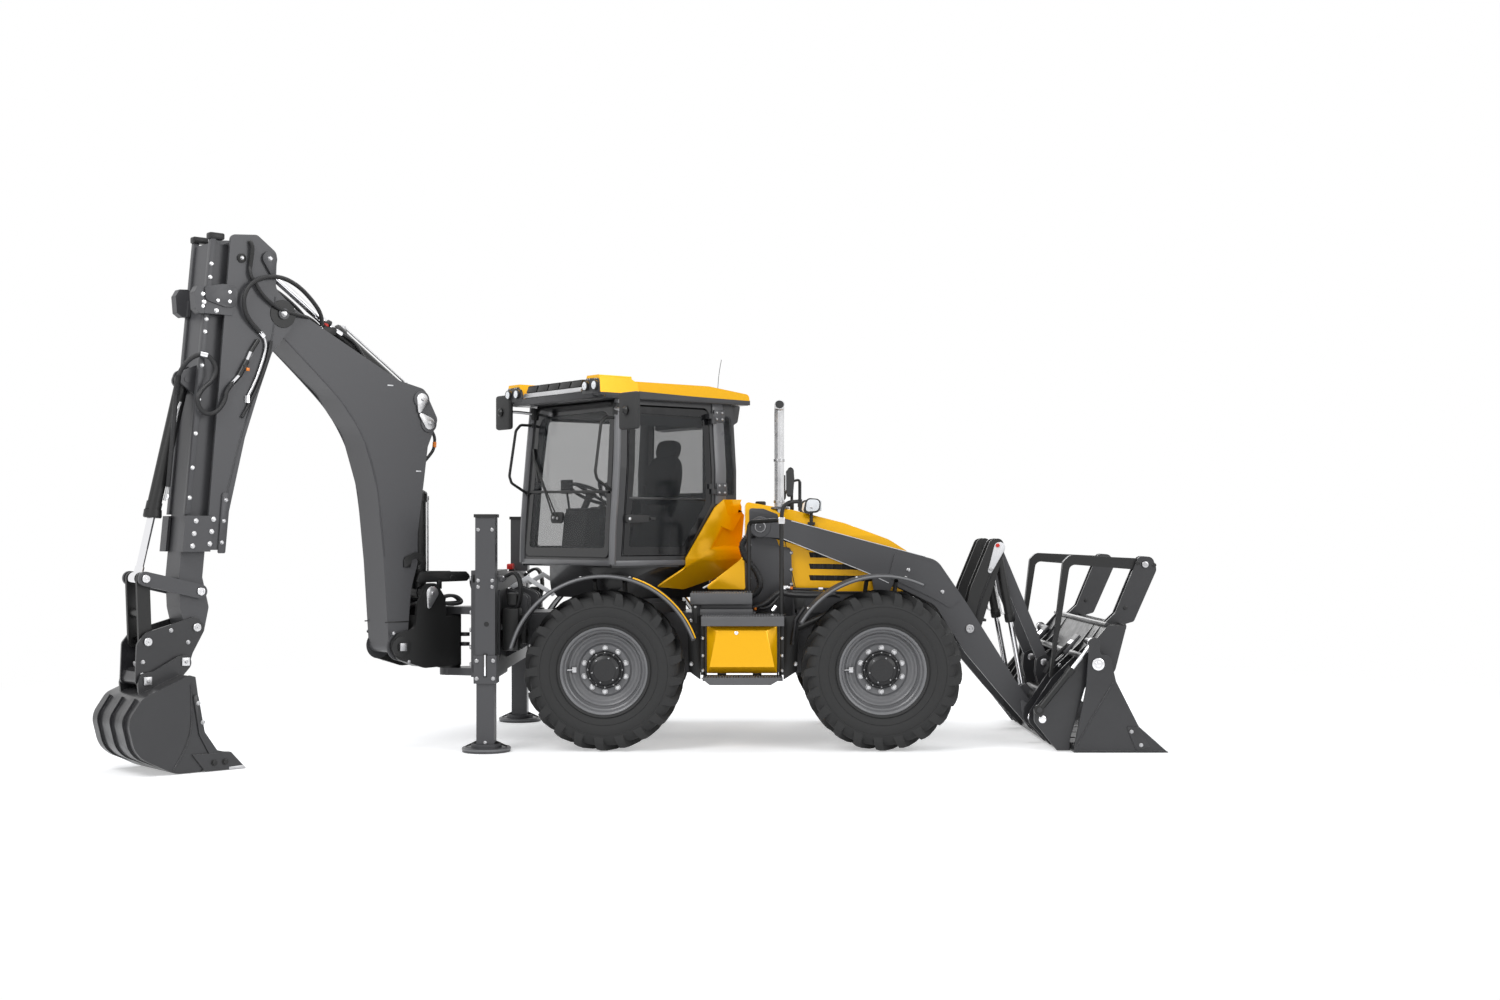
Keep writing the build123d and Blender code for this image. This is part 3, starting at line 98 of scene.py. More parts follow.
@dataclass(frozen=True)
class Finish:
    """A surface finish with its colour, gloss, grain, dust and lighter edges, which are partly rubbed wear
    and partly a painted edge highlight.

    Attributes:
        name: Material name.
        slot: Material slot that it stands for; not used.
        colour: Linear base colour.
        roughness: Middle roughness.
        metallic: Metal share.
        coat: Clear coat weight.
        texture: Kind of grain.
        mottle: Share by which the colour varies over the surface.
        dust: Strength of pale dust on upward faces.
        edge_wear_and_highlight: Strength of the lighter edges, partly rubbed wear and partly a painted edge
            highlight.
        rounding: Radius in metres that the edges seem to have.
        alpha: Opacity.
        glow: Emission strength.
    """

    name: str
    slot: str
    colour: Point
    roughness: float = 0.4
    metallic: float = 0.0
    coat: float = 0.0
    texture: Texture = Texture.PAINT
    mottle: float = 0.06
    dust: float = 0.0
    edge_wear_and_highlight: float = 0.0
    rounding: float = 0.004
    alpha: float = 1.0
    glow: float = 0.0

    def material(self) -> bpy.types.Material:
        """The finish's material, built once.

        Returns:
            The material.
        """
        found = bpy.data.materials.get(self.name)
        if found is not None:
            return found
        material = bpy.data.materials.new(self.name)
        material.use_nodes = True
        tree = material.node_tree
        shader = tree.nodes["Principled BSDF"]
        shader.inputs["Metallic"].default_value = self.metallic
        shader.inputs["Coat Weight"].default_value = self.coat
        shader.inputs["Coat Roughness"].default_value = 0.08
        shader.inputs["Alpha"].default_value = self.alpha
        if self.glow:
            shader.inputs["Emission Color"].default_value = (*self.colour, 1)
            shader.inputs["Emission Strength"].default_value = self.glow
        place = tree.nodes.new("ShaderNodeTexCoord")
        colour = self._mottled(tree, place)
        normal = None
        if self.rounding:
            bevel = tree.nodes.new("ShaderNodeBevel")
            bevel.samples = 4
            bevel.inputs["Radius"].default_value = self.rounding
            normal = bevel.outputs["Normal"]
        # Lighter edges where the rounded normal bends away: partly rubbed wear, partly a painted edge
        # highlight.
        if self.edge_wear_and_highlight and normal is not None:
            colour = self._worn_and_highlit(tree, place, colour, normal)
        if self.dust:
            colour = self._dusty(tree, place, colour)
        tree.links.new(colour, shader.inputs["Base Color"])
        self._rough(tree, place, shader)
        self._grained(tree, place, shader, normal)
        return material

    def _noise(self, tree: bpy.types.NodeTree, place: bpy.types.Node, scale: float, detail: float = 3.0
               ) -> bpy.types.NodeSocket:
        """A noise value on the object's own coordinates.

        Args:
            tree: Node tree.
            place: Texture coordinate node.
            scale: Noise scale.
            detail: Noise detail.

        Returns:
            The noise's value socket.
        """
        noise = tree.nodes.new("ShaderNodeTexNoise")
        noise.inputs["Scale"].default_value = scale
        noise.inputs["Detail"].default_value = detail
        tree.links.new(place.outputs["Object"], noise.inputs["Vector"])
        return noise.outputs["Fac"]

    def _blend(self, tree: bpy.types.NodeTree, share: bpy.types.NodeSocket | float, first: object,
               second: object) -> bpy.types.NodeSocket:
        """Mix of two colours.

        Args:
            tree: Node tree.
            share: Socket or number that leads from the first to the second.
            first: Colour or socket.
            second: Colour or socket.

        Returns:
            The mixed colour's socket.
        """
        mix = tree.nodes.new("ShaderNodeMix")
        mix.data_type = "RGBA"
        for value, socket in ((share, mix.inputs[0]), (first, mix.inputs[6]), (second, mix.inputs[7])):
            if isinstance(value, bpy.types.NodeSocket):
                tree.links.new(value, socket)
            else:
                socket.default_value = value if isinstance(value, float) else (*value, 1)
        return mix.outputs[2]

    def _ramp(self, tree: bpy.types.NodeTree, value: bpy.types.NodeSocket, low: float, high: float,
              to_low: float = 0.0, to_high: float = 1.0) -> bpy.types.NodeSocket:
        """Value mapped from one range to another and clamped.

        Args:
            tree: Node tree.
            value: Socket to map.
            low: Start of the range.
            high: End of the range.
            to_low: Result at the start.
            to_high: Result at the end.

        Returns:
            The mapped value's socket.
        """
        ramp = tree.nodes.new("ShaderNodeMapRange")
        tree.links.new(value, ramp.inputs["Value"])
        for name, number in (("From Min", low), ("From Max", high), ("To Min", to_low), ("To Max", to_high)):
            ramp.inputs[name].default_value = number
        return ramp.outputs["Result"]

    def _mottled(self, tree: bpy.types.NodeTree, place: bpy.types.Node) -> bpy.types.NodeSocket:
        """Base colour with its soft variation; takes the tree and coordinates, returns the colour."""
        dark = tuple(channel * (1 - self.mottle) for channel in self.colour)
        light = tuple(min(1.0, channel * (1 + self.mottle) + self.mottle * 0.01) for channel in self.colour)
        share = self._ramp(tree, self._noise(tree, place, 4.5, 5.0), 0.3, 0.7)
        return self._blend(tree, share, dark, light)

    def _worn_and_highlit(self, tree: bpy.types.NodeTree, place: bpy.types.Node, colour: bpy.types.NodeSocket,
              normal: bpy.types.NodeSocket) -> bpy.types.NodeSocket:
        """Colour with lighter edges: partly rubbed wear, partly a painted edge highlight.

        Args:
            tree: Node tree.
            place: Texture coordinate node.
            colour: Colour so far.
            normal: Rounded normal.

        Returns:
            The worn colour's socket.
        """
        geometry = tree.nodes.new("ShaderNodeNewGeometry")
        dot = tree.nodes.new("ShaderNodeVectorMath")
        dot.operation = "DOT_PRODUCT"
        tree.links.new(normal, dot.inputs[0])
        tree.links.new(geometry.outputs["True Normal"], dot.inputs[1])
        edge = self._ramp(tree, dot.outputs["Value"], 0.995, 0.86)
        broken = self._ramp(tree, self._noise(tree, place, 38.0, 6.0), 0.42, 0.62, 0.0, self.edge_wear_and_highlight)
        both = tree.nodes.new("ShaderNodeMath")
        both.operation = "MULTIPLY"
        tree.links.new(edge, both.inputs[0])
        tree.links.new(broken, both.inputs[1])
        # Pale grey at the edges: partly bare worn metal, partly a painted edge highlight.
        return self._blend(tree, both.outputs[0], colour, (0.32, 0.31, 0.30))

    def _dusty(self, tree: bpy.types.NodeTree, place: bpy.types.Node, colour: bpy.types.NodeSocket
               ) -> bpy.types.NodeSocket:
        """Colour with pale dust on faces that look up; takes tree, coordinates and colour, returns colour."""
        geometry = tree.nodes.new("ShaderNodeNewGeometry")
        split = tree.nodes.new("ShaderNodeSeparateXYZ")
        tree.links.new(geometry.outputs["Normal"], split.inputs[0])
        upward = self._ramp(tree, split.outputs["Z"], 0.1, 1.0, 0.0, self.dust)
        patchy = self._ramp(tree, self._noise(tree, place, 9.0, 6.0), 0.35, 0.7, 0.25, 1.0)
        both = tree.nodes.new("ShaderNodeMath")
        both.operation = "MULTIPLY"
        tree.links.new(upward, both.inputs[0])
        tree.links.new(patchy, both.inputs[1])
        return self._blend(tree, both.outputs[0], colour, (0.30, 0.28, 0.25))

    def _rough(self, tree: bpy.types.NodeTree, place: bpy.types.Node, shader: bpy.types.Node) -> None:
        """Roughness that varies a little over the surface; takes the tree, coordinates and shader."""
        low, high = max(0.02, self.roughness - 0.07), min(1.0, self.roughness + 0.07)
        value = self._ramp(tree, self._noise(tree, place, 14.0, 4.0), 0.3, 0.7, low, high)
        tree.links.new(value, shader.inputs["Roughness"])

    def _grained(self, tree: bpy.types.NodeTree, place: bpy.types.Node, shader: bpy.types.Node,
                 normal: bpy.types.NodeSocket | None) -> None:
        """Fine bump of the finish's texture.

        Args:
            tree: Node tree.
            place: Texture coordinate node.
            shader: Principled shader.
            normal: Rounded normal, or None.
        """
        scale, strength = GRAIN[self.texture]
        bump = tree.nodes.new("ShaderNodeBump")
        bump.inputs["Strength"].default_value = strength
        bump.inputs["Distance"].default_value = 0.0012
        if self.texture is Texture.WEAVE:
            wave = tree.nodes.new("ShaderNodeTexWave")
            wave.inputs["Scale"].default_value = scale / 3
            tree.links.new(place.outputs["Object"], wave.inputs["Vector"])
            height = wave.outputs["Fac"]
        else:
            height = self._noise(tree, place, scale, 2.0)
        tree.links.new(height, bump.inputs["Height"])
        if normal is not None:
            tree.links.new(normal, bump.inputs["Normal"])
        tree.links.new(bump.outputs["Normal"], shader.inputs["Normal"])


ANTHRACITE = Finish("anthracite_paint", "anthracite_paint", (0.066, 0.066, 0.069), 0.42, coat=0.25,
                    edge_wear_and_highlight=0.10, dust=0.03)
YELLOW = Finish("yellow_paint", "yellow_paint", (0.94, 0.44, 0.002), 0.30, coat=0.6, mottle=0.02)
BLACK = Finish("black_paint", "black_paint", (0.017, 0.017, 0.018), 0.38, coat=0.2, edge_wear_and_highlight=0.18, dust=0.03)
BUCKET_BLACK = Finish("bucket_black", "black_paint", (0.022, 0.022, 0.024), 0.36, coat=0.2, edge_wear_and_highlight=0.35,
                      dust=0.04)
RIM_GREY = Finish("rim_grey", "rim_paint", (0.17, 0.17, 0.175), 0.40, coat=0.15, edge_wear_and_highlight=0.15)
HUB_BLACK = Finish("hub_black", "rim_paint", (0.012, 0.012, 0.013), 0.45)
RUBBER = Finish("tyre_rubber", "tyre_rubber", (0.016, 0.016, 0.017), 0.72, texture=Texture.RUBBER,
                dust=0.06, mottle=0.15)
CHROME = Finish("chromed_rod", "chromed_rod", (0.78, 0.78, 0.80), 0.12, 1.0, texture=Texture.BRUSHED,
                mottle=0.02)
STEEL = Finish("bare_steel", "chromed_rod", (0.45, 0.45, 0.46), 0.34, 1.0, texture=Texture.BRUSHED,
               mottle=0.1)
ZINC = Finish("zinc_plate", "chromed_rod", (0.62, 0.62, 0.63), 0.30, 0.9, texture=Texture.BRUSHED,
              mottle=0.12)
# Also paints the white highlight lines on the loader arms and quarter panels.
WHITE = Finish("white_plate", "rim_paint", (0.72, 0.72, 0.73), 0.42, 0.1, mottle=0.04)
CAST_IRON = Finish("cast_block", "cast_block", (0.05, 0.05, 0.052), 0.62, 0.3, texture=Texture.CAST)
PLASTIC = Finish("trim_plastic", "trim_plastic", (0.020, 0.020, 0.021), 0.55, texture=Texture.MOULDED,
                 dust=0.04)
FENDER_PLASTIC = Finish("fender_plastic", "trim_plastic", (0.032, 0.032, 0.034), 0.48,
                        texture=Texture.MOULDED, dust=0.05)
CAB_DARK = Finish("cab_dark", "anthracite_paint", (0.022, 0.022, 0.024), 0.35, coat=0.3)
HOSE = Finish("hose_rubber", "trim_plastic", (0.012, 0.012, 0.013), 0.45, texture=Texture.WEAVE, rounding=0.0)
SEAT = Finish("seat_cover", "seat_cover", (0.022, 0.022, 0.024), 0.8, texture=Texture.WEAVE, rounding=0.0)
GLASS = Finish("tinted_glass", "trim_plastic", (0.030, 0.033, 0.036), 0.04, alpha=0.26, rounding=0.0,
               mottle=0.0)
DOOR_GLASS = Finish("door_glass", "trim_plastic", (0.020, 0.022, 0.024), 0.04, alpha=0.38, rounding=0.0,
                    mottle=0.0)
LENS = Finish("lamp_lens", "trim_plastic", (0.72, 0.74, 0.76), 0.10, rounding=0.0, glow=0.15)
MIRROR = Finish("mirror_glass", "chromed_rod", (0.8, 0.8, 0.82), 0.03, 1.0, rounding=0.0)
RED = Finish("red_cap", "trim_plastic", (0.62, 0.02, 0.012), 0.35)
AMBER = Finish("amber_lens", "trim_plastic", (0.85, 0.22, 0.01), 0.2)
GREEN = Finish("green_strip", "trim_plastic", (0.02, 0.28, 0.09), 0.5)
FRIT = Finish("glass_border", "trim_plastic", (0.006, 0.006, 0.007), 0.12, rounding=0.0, mottle=0.0)
PILLAR_GREY = Finish("pillar_grey", "anthracite_paint", (0.13, 0.13, 0.135), 0.34, coat=0.3, dust=0.03)
CAB_GREY = Finish("step_grey", "anthracite_paint", (0.095, 0.095, 0.098), 0.40, coat=0.2, edge_wear_and_highlight=0.15,
                  dust=0.06)
PILLAR_DARK = Finish("roof_dark", "trim_plastic", (0.040, 0.040, 0.042), 0.45, texture=Texture.MOULDED,
                     dust=0.03)
MIRROR_DARK = Finish("screen_glass", "trim_plastic", (0.012, 0.013, 0.016), 0.06, rounding=0.0)

NODE_FINISH = {
    "hood": YELLOW, "side_tanks": YELLOW, "cab_roof": YELLOW, "cab_cowl": YELLOW,
    "engine_block": CAST_IRON, "fenders": FENDER_PLASTIC, "cab_console": PLASTIC, "cab_seat": SEAT,
    "exhaust": ZINC, "handrails": BLACK, "work_lamps": PLASTIC, "axles": BLACK,
    "coupler": BUCKET_BLACK, "hoe_bucket": BUCKET_BLACK, "loader_bucket": BUCKET_BLACK, "clam": BUCKET_BLACK,
    "forks": BLACK, "tilt_levers": BLACK, "cab_frame": CAB_DARK, "cab_door": CAB_DARK, "kingpost": BLACK,
    "chassis_frame": ANTHRACITE, "bucket_tie": BLACK,
}


def finish_of(node: str) -> Finish:
    """Finish of a carried-over CAD node.

    Args:
        node: Node name.

    Returns:
        Its finish.
    """
    if node in NODE_FINISH:
        return NODE_FINISH[node]
    if "_rod" in node:
        return CHROME
    if "ram_barrel" in node or node.startswith("knuckle"):
        return BLACK
    if node.startswith("rim"):
        return RIM_GREY
    if node.startswith("tyre"):
        return RUBBER
    return ANTHRACITE


# Mesh shop

@dataclass
class Shop:
    """Places for building pieces: the machine's own axes and the turned cab's and backhoe's."""

    cab_x: float = -0.95
    cab_yaw: float = 38.0
    slew_x: float = -2.42
    slew_y: float = -0.52
    slew: float = 42.0
    machine: Matrix = field(init=False)
    cab: Matrix = field(init=False)
    hoe: Matrix = field(init=False)

    def __post_init__(self) -> None:
        """Find the middle of the wheelbase in the frame and set the three places."""
        corners = [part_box("tyre_" + tag) for tag in ("front_left", "rear_right")]
        middle = sum((low + high for low, high in corners), Vector()) / 4
        self.machine = Matrix.Translation((middle.x, middle.y, 0))
        self.cab = self.machine @ Matrix.Translation((self.cab_x, 0,
            0)) @ Matrix.Rotation(math.radians(self.cab_yaw), 4, "Z")
        self.hoe = self.machine @ Matrix.Translation((self.slew_x, self.slew_y, 0)) @ Matrix.Rotation(
            math.radians(self.slew), 4, "Z")

    def add(self, name: str, mesh: bmesh.types.BMesh | bpy.types.Mesh, place: Matrix, finish: Finish,
            body: str,
            smooth: float = 35.0, replaces: Sequence[str] = ()) -> bpy.types.Object:
        """Make a mesh a dressed piece of a body.

        Args:
            name: Piece name.
            mesh: Mesh in the place's own axes.
            place: Matrix that takes the mesh to the frame.
            finish: Its finish.
            body: Body that it rides on; empty for a piece that rides on no body.
            smooth: Angle in degrees up to which faces shade as one.
            replaces: CAD nodes that it stands for.

        Returns:
            The object.
        """
        if isinstance(mesh, bmesh.types.BMesh):
            data = bpy.data.meshes.new(name)
            bmesh.ops.recalc_face_normals(mesh, faces=mesh.faces[:])
            mesh.to_mesh(data)
            mesh.free()
        else:
            data = mesh
        data.transform(place)
        if place.determinant() < 0:
            data.flip_normals()
        data.materials.clear()
        data.materials.append(finish.material())
        data.shade_smooth()
        data.set_sharp_from_angle(angle=math.radians(smooth))
        piece = bpy.data.objects.new(name, data)
        bpy.context.scene.collection.objects.link(piece)
        if body:
            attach(piece, body)
        if replaces:
            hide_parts(*replaces)
        return piece


def new_mesh() -> bmesh.types.BMesh:
    """An empty mesh."""
    return bmesh.new()


def add_box(mesh: bmesh.types.BMesh, low: Point, high: Point, bevel: float = 0.0) -> None:
    """Add a box with rounded edges.

    Args:
        mesh: Mesh to add to.
        low: Lowest corner.
        high: Highest corner.
        bevel: Edge radius.
    """
    made = bmesh.ops.create_cube(mesh, size=1.0)["verts"]
    for vertex in made:
        vertex.co = Vector([low[i] + (high[i] - low[i]) * (vertex.co[i] + 0.5) for i in range(3)])
    if bevel:
        edges = list({edge for vertex in made for edge in vertex.link_edges})
        bmesh.ops.bevel(mesh, geom=edges, offset=bevel, segments=2, profile=0.5, affect="EDGES")


def add_prism(mesh: bmesh.types.BMesh, outline: Sequence[Pair], low: float, high: float, axis: str = "y",
              bevel: float = 0.0) -> None:
    """Add a plate with the outline square to an axis.

    Args:
        mesh: Mesh to add to.
        outline: Corners in the two other axes.
        low: Start along the axis.
        high: End along the axis.
        axis: Name of the axis.
        bevel: Edge radius.
    """
    place: dict[str, Callable[[Pair, float], Point]] = {
        "x": lambda p, t: (t, p[0], p[1]), "y": lambda p, t: (p[0], t, p[1]),
            "z": lambda p, t: (p[0], p[1], t)}
    rings = [[mesh.verts.new(place[axis](corner, t)) for corner in outline] for t in (low, high)]
    count = len(outline)
    faces = [mesh.faces.new(rings[0]), mesh.faces.new(rings[1][::-1])]
    for i in range(count):
        j = (i + 1) % count
        faces.append(mesh.faces.new((rings[0][i], rings[1][i], rings[1][j], rings[0][j])))
    if bevel:
        edges = list({edge for face in faces for edge in face.edges})
        bmesh.ops.bevel(mesh, geom=edges, offset=bevel, segments=2, profile=0.5, affect="EDGES")


def add_lathe(mesh: bmesh.types.BMesh, profile: Sequence[Pair], start: Point, direction: Point,
              steps: int = 32) -> None:
    """Add a turned shape.

    Args:
        mesh: Mesh to add to.
        profile: (distance along the axis, radius) pairs; the ends at radius 0 close to a point.
        start: Point on the axis where the distance is 0.
        direction: The axis.
        steps: Sides.
    """
    turn = Vector(direction).normalized().to_track_quat("Z", "Y").to_matrix().to_4x4()
    place = Matrix.Translation(start) @ turn
    rings: list[list[bmesh.types.BMVert]] = []
    for along, radius in profile:
        if radius < 1e-6:
            rings.append([mesh.verts.new(place @ Vector((0, 0, along)))])
            continue
        ring = [place @ Vector((radius * math.cos(2 * math.pi * k / steps),
                                radius * math.sin(2 * math.pi * k / steps), along))
                for k in range(steps)]
        rings.append([mesh.verts.new(point) for point in ring])
    for first, second in zip(rings, rings[1:]):
        for k in range(steps):
            corners = [first[k % len(first)], first[(k + 1) % len(first)], second[(k + 1) % len(second)],
                       second[k % len(second)]]
            unique = list(dict.fromkeys(corners))
            if len(unique) > 2:
                mesh.faces.new(unique)


def add_rod(mesh: bmesh.types.BMesh, start: Point, end: Point, radius: float, steps: int = 20,
            chamfer: float = 0.002) -> None:
    """Add a round bar with chamfered ends.

    Args:
        mesh: Mesh to add to.
        start: One end.
        end: Other end.
        radius: Radius.
        steps: Sides.
        chamfer: Size of the end chamfers.
    """
    length = (Vector(end) - Vector(start)).length
    cut = min(chamfer, radius / 3, length / 3)
    profile = [(0, 0), (0, radius - cut), (cut, radius), (length - cut, radius), (length, radius - cut),
               (length, 0)]
    add_lathe(mesh, profile, start, tuple(Vector(end) - Vector(start)), steps)


def add_pipe(mesh: bmesh.types.BMesh, points: Sequence[Point], radius: float, straight: bool = False,
             sides: int = 3) -> None:
    """Add a pipe or hose along a smooth line.

    Args:
        mesh: Mesh to add to.
        points: Route; the curve's control points.
        radius: Radius.
        straight: Whether the runs stay straight with rounded corners only at the points.
        sides: Resolution of the round section.
    """
    curve = bpy.data.curves.new("route", "CURVE")
    curve.dimensions = "3D"
    curve.bevel_depth = radius
    curve.bevel_resolution = sides
    curve.resolution_u = 8
    curve.use_fill_caps = True
    route = rounded_route(points, radius * 3.0) if straight else list(points)
    spline = curve.splines.new("NURBS")
    spline.points.add(len(route) - 1)
    for item, point in zip(spline.points, route):
        item.co = (*point, 1)
    spline.order_u = 3
    spline.use_endpoint_u = True
    holder = bpy.data.objects.new("route", curve)
    bpy.context.scene.collection.objects.link(holder)
    bpy.context.view_layer.update()
    baked = bpy.data.meshes.new_from_object(holder.evaluated_get(bpy.context.evaluated_depsgraph_get()))
    mesh.from_mesh(baked)
    bpy.data.objects.remove(holder)
    bpy.data.meshes.remove(baked)


def rounded_route(points: Sequence[Point], reach: float) -> list[Point]:
    """Route whose runs are straight, with two more points by each corner.

    Args:
        points: Corner points.
        reach: Distance from a corner where its bend starts.

    Returns:
        The longer route.
    """
    route = [tuple(points[0])]
    for before, corner, after in zip(points, points[1:], points[2:]):
        here = Vector(corner)
        for other in (before, after):
            way = Vector(other) - here
            step = min(reach, way.length * 0.45)
            near = here + way.normalized() * step
            if other is before:
                route.append(tuple(here + way.normalized() * min(step * 1.6, way.length * 0.48)))
                route.append(tuple(near))
                route.append(tuple(here))
            else:
                route.append(tuple(near))
                route.append(tuple(here + way.normalized() * min(step * 1.6, way.length * 0.48)))
    route.append(tuple(points[-1]))
    return route


def round_corners(outline: Sequence[tuple], steps: int = 6) -> list[Pair]:
    """Outline with rounded corners.

    Args:
        outline: (a, b) or (a, b, radius) corners.
        steps: Points on each rounded corner.

    Returns:
        The outline's points.
    """
    result: list[Pair] = []
    count = len(outline)
    for index, corner in enumerate(outline):
        here = Vector(corner[:2])
        if len(corner) < 3 or not corner[2]:
            result.append(tuple(here))
            continue
        before = Vector(outline[index - 1][:2]) - here
        after = Vector(outline[(index + 1) % count][:2]) - here
        half = before.angle(after) / 2
        reach = min(corner[2] / max(math.tan(half), 1e-6), before.length * 0.5, after.length * 0.5)
        radius = reach * math.tan(half)
        centre = here + (before.normalized() + after.normalized()).normalized() * (radius / math.sin(half))
        first = here + before.normalized() * reach - centre
        last = here + after.normalized() * reach - centre
        sweep = first.angle_signed(last)
        for step in range(steps + 1):
            turned = first.copy()
            turned.rotate(Matrix.Rotation(-sweep * step / steps, 2))
            result.append(tuple(centre + turned))
    return result


# Geometry Nodes for what repeats

class RepeatKind(Enum):
    """How a repeated item is laid out."""

    RING = "ring"
    ROW = "row"
    POINTS = "points"


@dataclass
class Repeater:
    """A Geometry Nodes tree that repeats one item and realizes it."""

    kind: RepeatKind

    def tree(self) -> bpy.types.NodeTree:
        """Build the tree once.

        Returns:
            The tree.
        """
        name = "repeat_" + self.kind.value
        if name in bpy.data.node_groups:
            return bpy.data.node_groups[name]
        tree = bpy.data.node_groups.new(name, "GeometryNodeTree")
        face = tree.interface
        face.new_socket("Geometry", in_out="INPUT", socket_type="NodeSocketGeometry")
        face.new_socket("Item", in_out="INPUT", socket_type="NodeSocketObject")
        face.new_socket("Count", in_out="INPUT", socket_type="NodeSocketInt")
        face.new_socket("Step", in_out="INPUT", socket_type="NodeSocketVector")
        face.new_socket("Finish", in_out="INPUT", socket_type="NodeSocketMaterial")
        face.new_socket("Geometry", in_out="OUTPUT", socket_type="NodeSocketGeometry")
        nodes, links = tree.nodes, tree.links
        source, sink = nodes.new("NodeGroupInput"), nodes.new("NodeGroupOutput")
        item = nodes.new("GeometryNodeObjectInfo")
        links.new(source.outputs["Item"], item.inputs["Object"])
        spread = nodes.new("GeometryNodeInstanceOnPoints")
        links.new(item.outputs["Geometry"], spread.inputs["Instance"])
        if self.kind is RepeatKind.POINTS:
            links.new(source.outputs["Geometry"], spread.inputs["Points"])
            facing = nodes.new("GeometryNodeInputNamedAttribute")
            facing.data_type = "FLOAT_VECTOR"
            facing.inputs["Name"].default_value = "facing"
            size = nodes.new("GeometryNodeInputNamedAttribute")
            size.data_type = "FLOAT"
            size.inputs["Name"].default_value = "size"
            align = nodes.new("FunctionNodeAlignRotationToVector")
            align.axis = "Z"
            links.new(facing.outputs["Attribute"], align.inputs["Vector"])
            links.new(align.outputs["Rotation"], spread.inputs["Rotation"])
            links.new(size.outputs["Attribute"], spread.inputs["Scale"])
        else:
            line = nodes.new("GeometryNodeMeshLine")
            links.new(source.outputs["Count"], line.inputs["Count"])
            links.new(line.outputs["Mesh"], spread.inputs["Points"])
            if self.kind is RepeatKind.ROW:
                links.new(source.outputs["Step"], line.inputs["Offset"])
            else:
                line.inputs["Offset"].default_value = (0, 0, 0)
                index = nodes.new("GeometryNodeInputIndex")
                turn = nodes.new("ShaderNodeVectorMath")
                turn.operation = "SCALE"
                links.new(source.outputs["Step"], turn.inputs[0])
                links.new(index.outputs["Index"], turn.inputs["Scale"])
                euler = nodes.new("FunctionNodeEulerToRotation")
                links.new(turn.outputs["Vector"], euler.inputs["Euler"])
                links.new(euler.outputs["Rotation"], spread.inputs["Rotation"])
        real = nodes.new("GeometryNodeRealizeInstances")
        dress = nodes.new("GeometryNodeSetMaterial")
        links.new(spread.outputs["Instances"], real.inputs["Geometry"])
        links.new(real.outputs["Geometry"], dress.inputs["Geometry"])
        links.new(source.outputs["Finish"], dress.inputs["Material"])
        links.new(dress.outputs["Geometry"], sink.inputs["Geometry"])
        return tree

    def bake(self, item: bmesh.types.BMesh, finish: Finish, count: int = 1, step: Point = (0, 0, 0),
             points: Sequence[tuple[Point, Point, float]] = ()) -> bpy.types.Mesh:
        """Repeat the item and return one plain mesh.

        Args:
            item: Mesh to repeat, which is used up.
            finish: Finish of the result.
            count: How many, in a ring or a row.
            step: Offset of a row, or Euler turn of a ring, from one item to the next.
            points: (place, facing, size) of each item, where it goes on points.

        Returns:
            The realized mesh.
        """
        bmesh.ops.recalc_face_normals(item, faces=item.faces[:])
        data = bpy.data.meshes.new("item")
        item.to_mesh(data)
        item.free()
        holder = bpy.data.objects.new("item", data)
        cloud = bpy.data.meshes.new("cloud")
        cloud.from_pydata([place for place, _, _ in points], [], [])
        if points:
            cloud.attributes.new("facing", "FLOAT_VECTOR", "POINT")
            cloud.attributes.new("size", "FLOAT", "POINT")
            cloud.attributes["facing"].data.foreach_set("vector",
                [part for _, way, _ in points for part in way])
            cloud.attributes["size"].data.foreach_set("value", [scale for _, _, scale in points])
        base = bpy.data.objects.new("cloud", cloud)
        bpy.context.scene.collection.objects.link(base)
        bpy.context.scene.collection.objects.link(holder)
        modifier = base.modifiers.new("repeat", "NODES")
        modifier.node_group = self.tree()
        values = {"Item": holder, "Count": count, "Step": step, "Finish": finish.material()}
        for socket in modifier.node_group.interface.items_tree:
            if socket.in_out == "INPUT" and socket.name in values:
                modifier[socket.identifier] = values[socket.name]
        base.update_tag()
        bpy.context.view_layer.update()
        result = bpy.data.meshes.new_from_object(base.evaluated_get(bpy.context.evaluated_depsgraph_get()))
        for extra in (base, holder):
            bpy.data.objects.remove(extra)
        bpy.data.meshes.remove(cloud)
        bpy.data.meshes.remove(data)
        return result


def bolt_item() -> bmesh.types.BMesh:
    """A hexagon bolt head on its washer, 1 unit across, standing on z = 0."""
    mesh = new_mesh()
    add_lathe(mesh, [(0, 0), (0, 0.62), (0.09, 0.62), (0.11, 0.58), (0.11, 0)], (0, 0, 0), (0, 0, 1), 16)
    add_lathe(mesh, [(0.1, 0), (0.1, 0.5), (0.42, 0.5), (0.5, 0.42), (0.5, 0)], (0, 0, 0), (0, 0, 1), 6)
    return mesh


def cap_item() -> bmesh.types.BMesh:
    """A turned pin end with a grease nipple, 1 unit across, standing on z = 0."""
    mesh = new_mesh()
    add_lathe(mesh, [(0, 0), (0, 0.5), (0.16, 0.5), (0.2, 0.46), (0.2, 0.3), (0.15, 0.27), (0.15, 0.09),
                     (0.3, 0.07),
                     (0.34, 0.04), (0.34, 0)], (0, 0, 0), (0, 0, 1), 24)
    return mesh


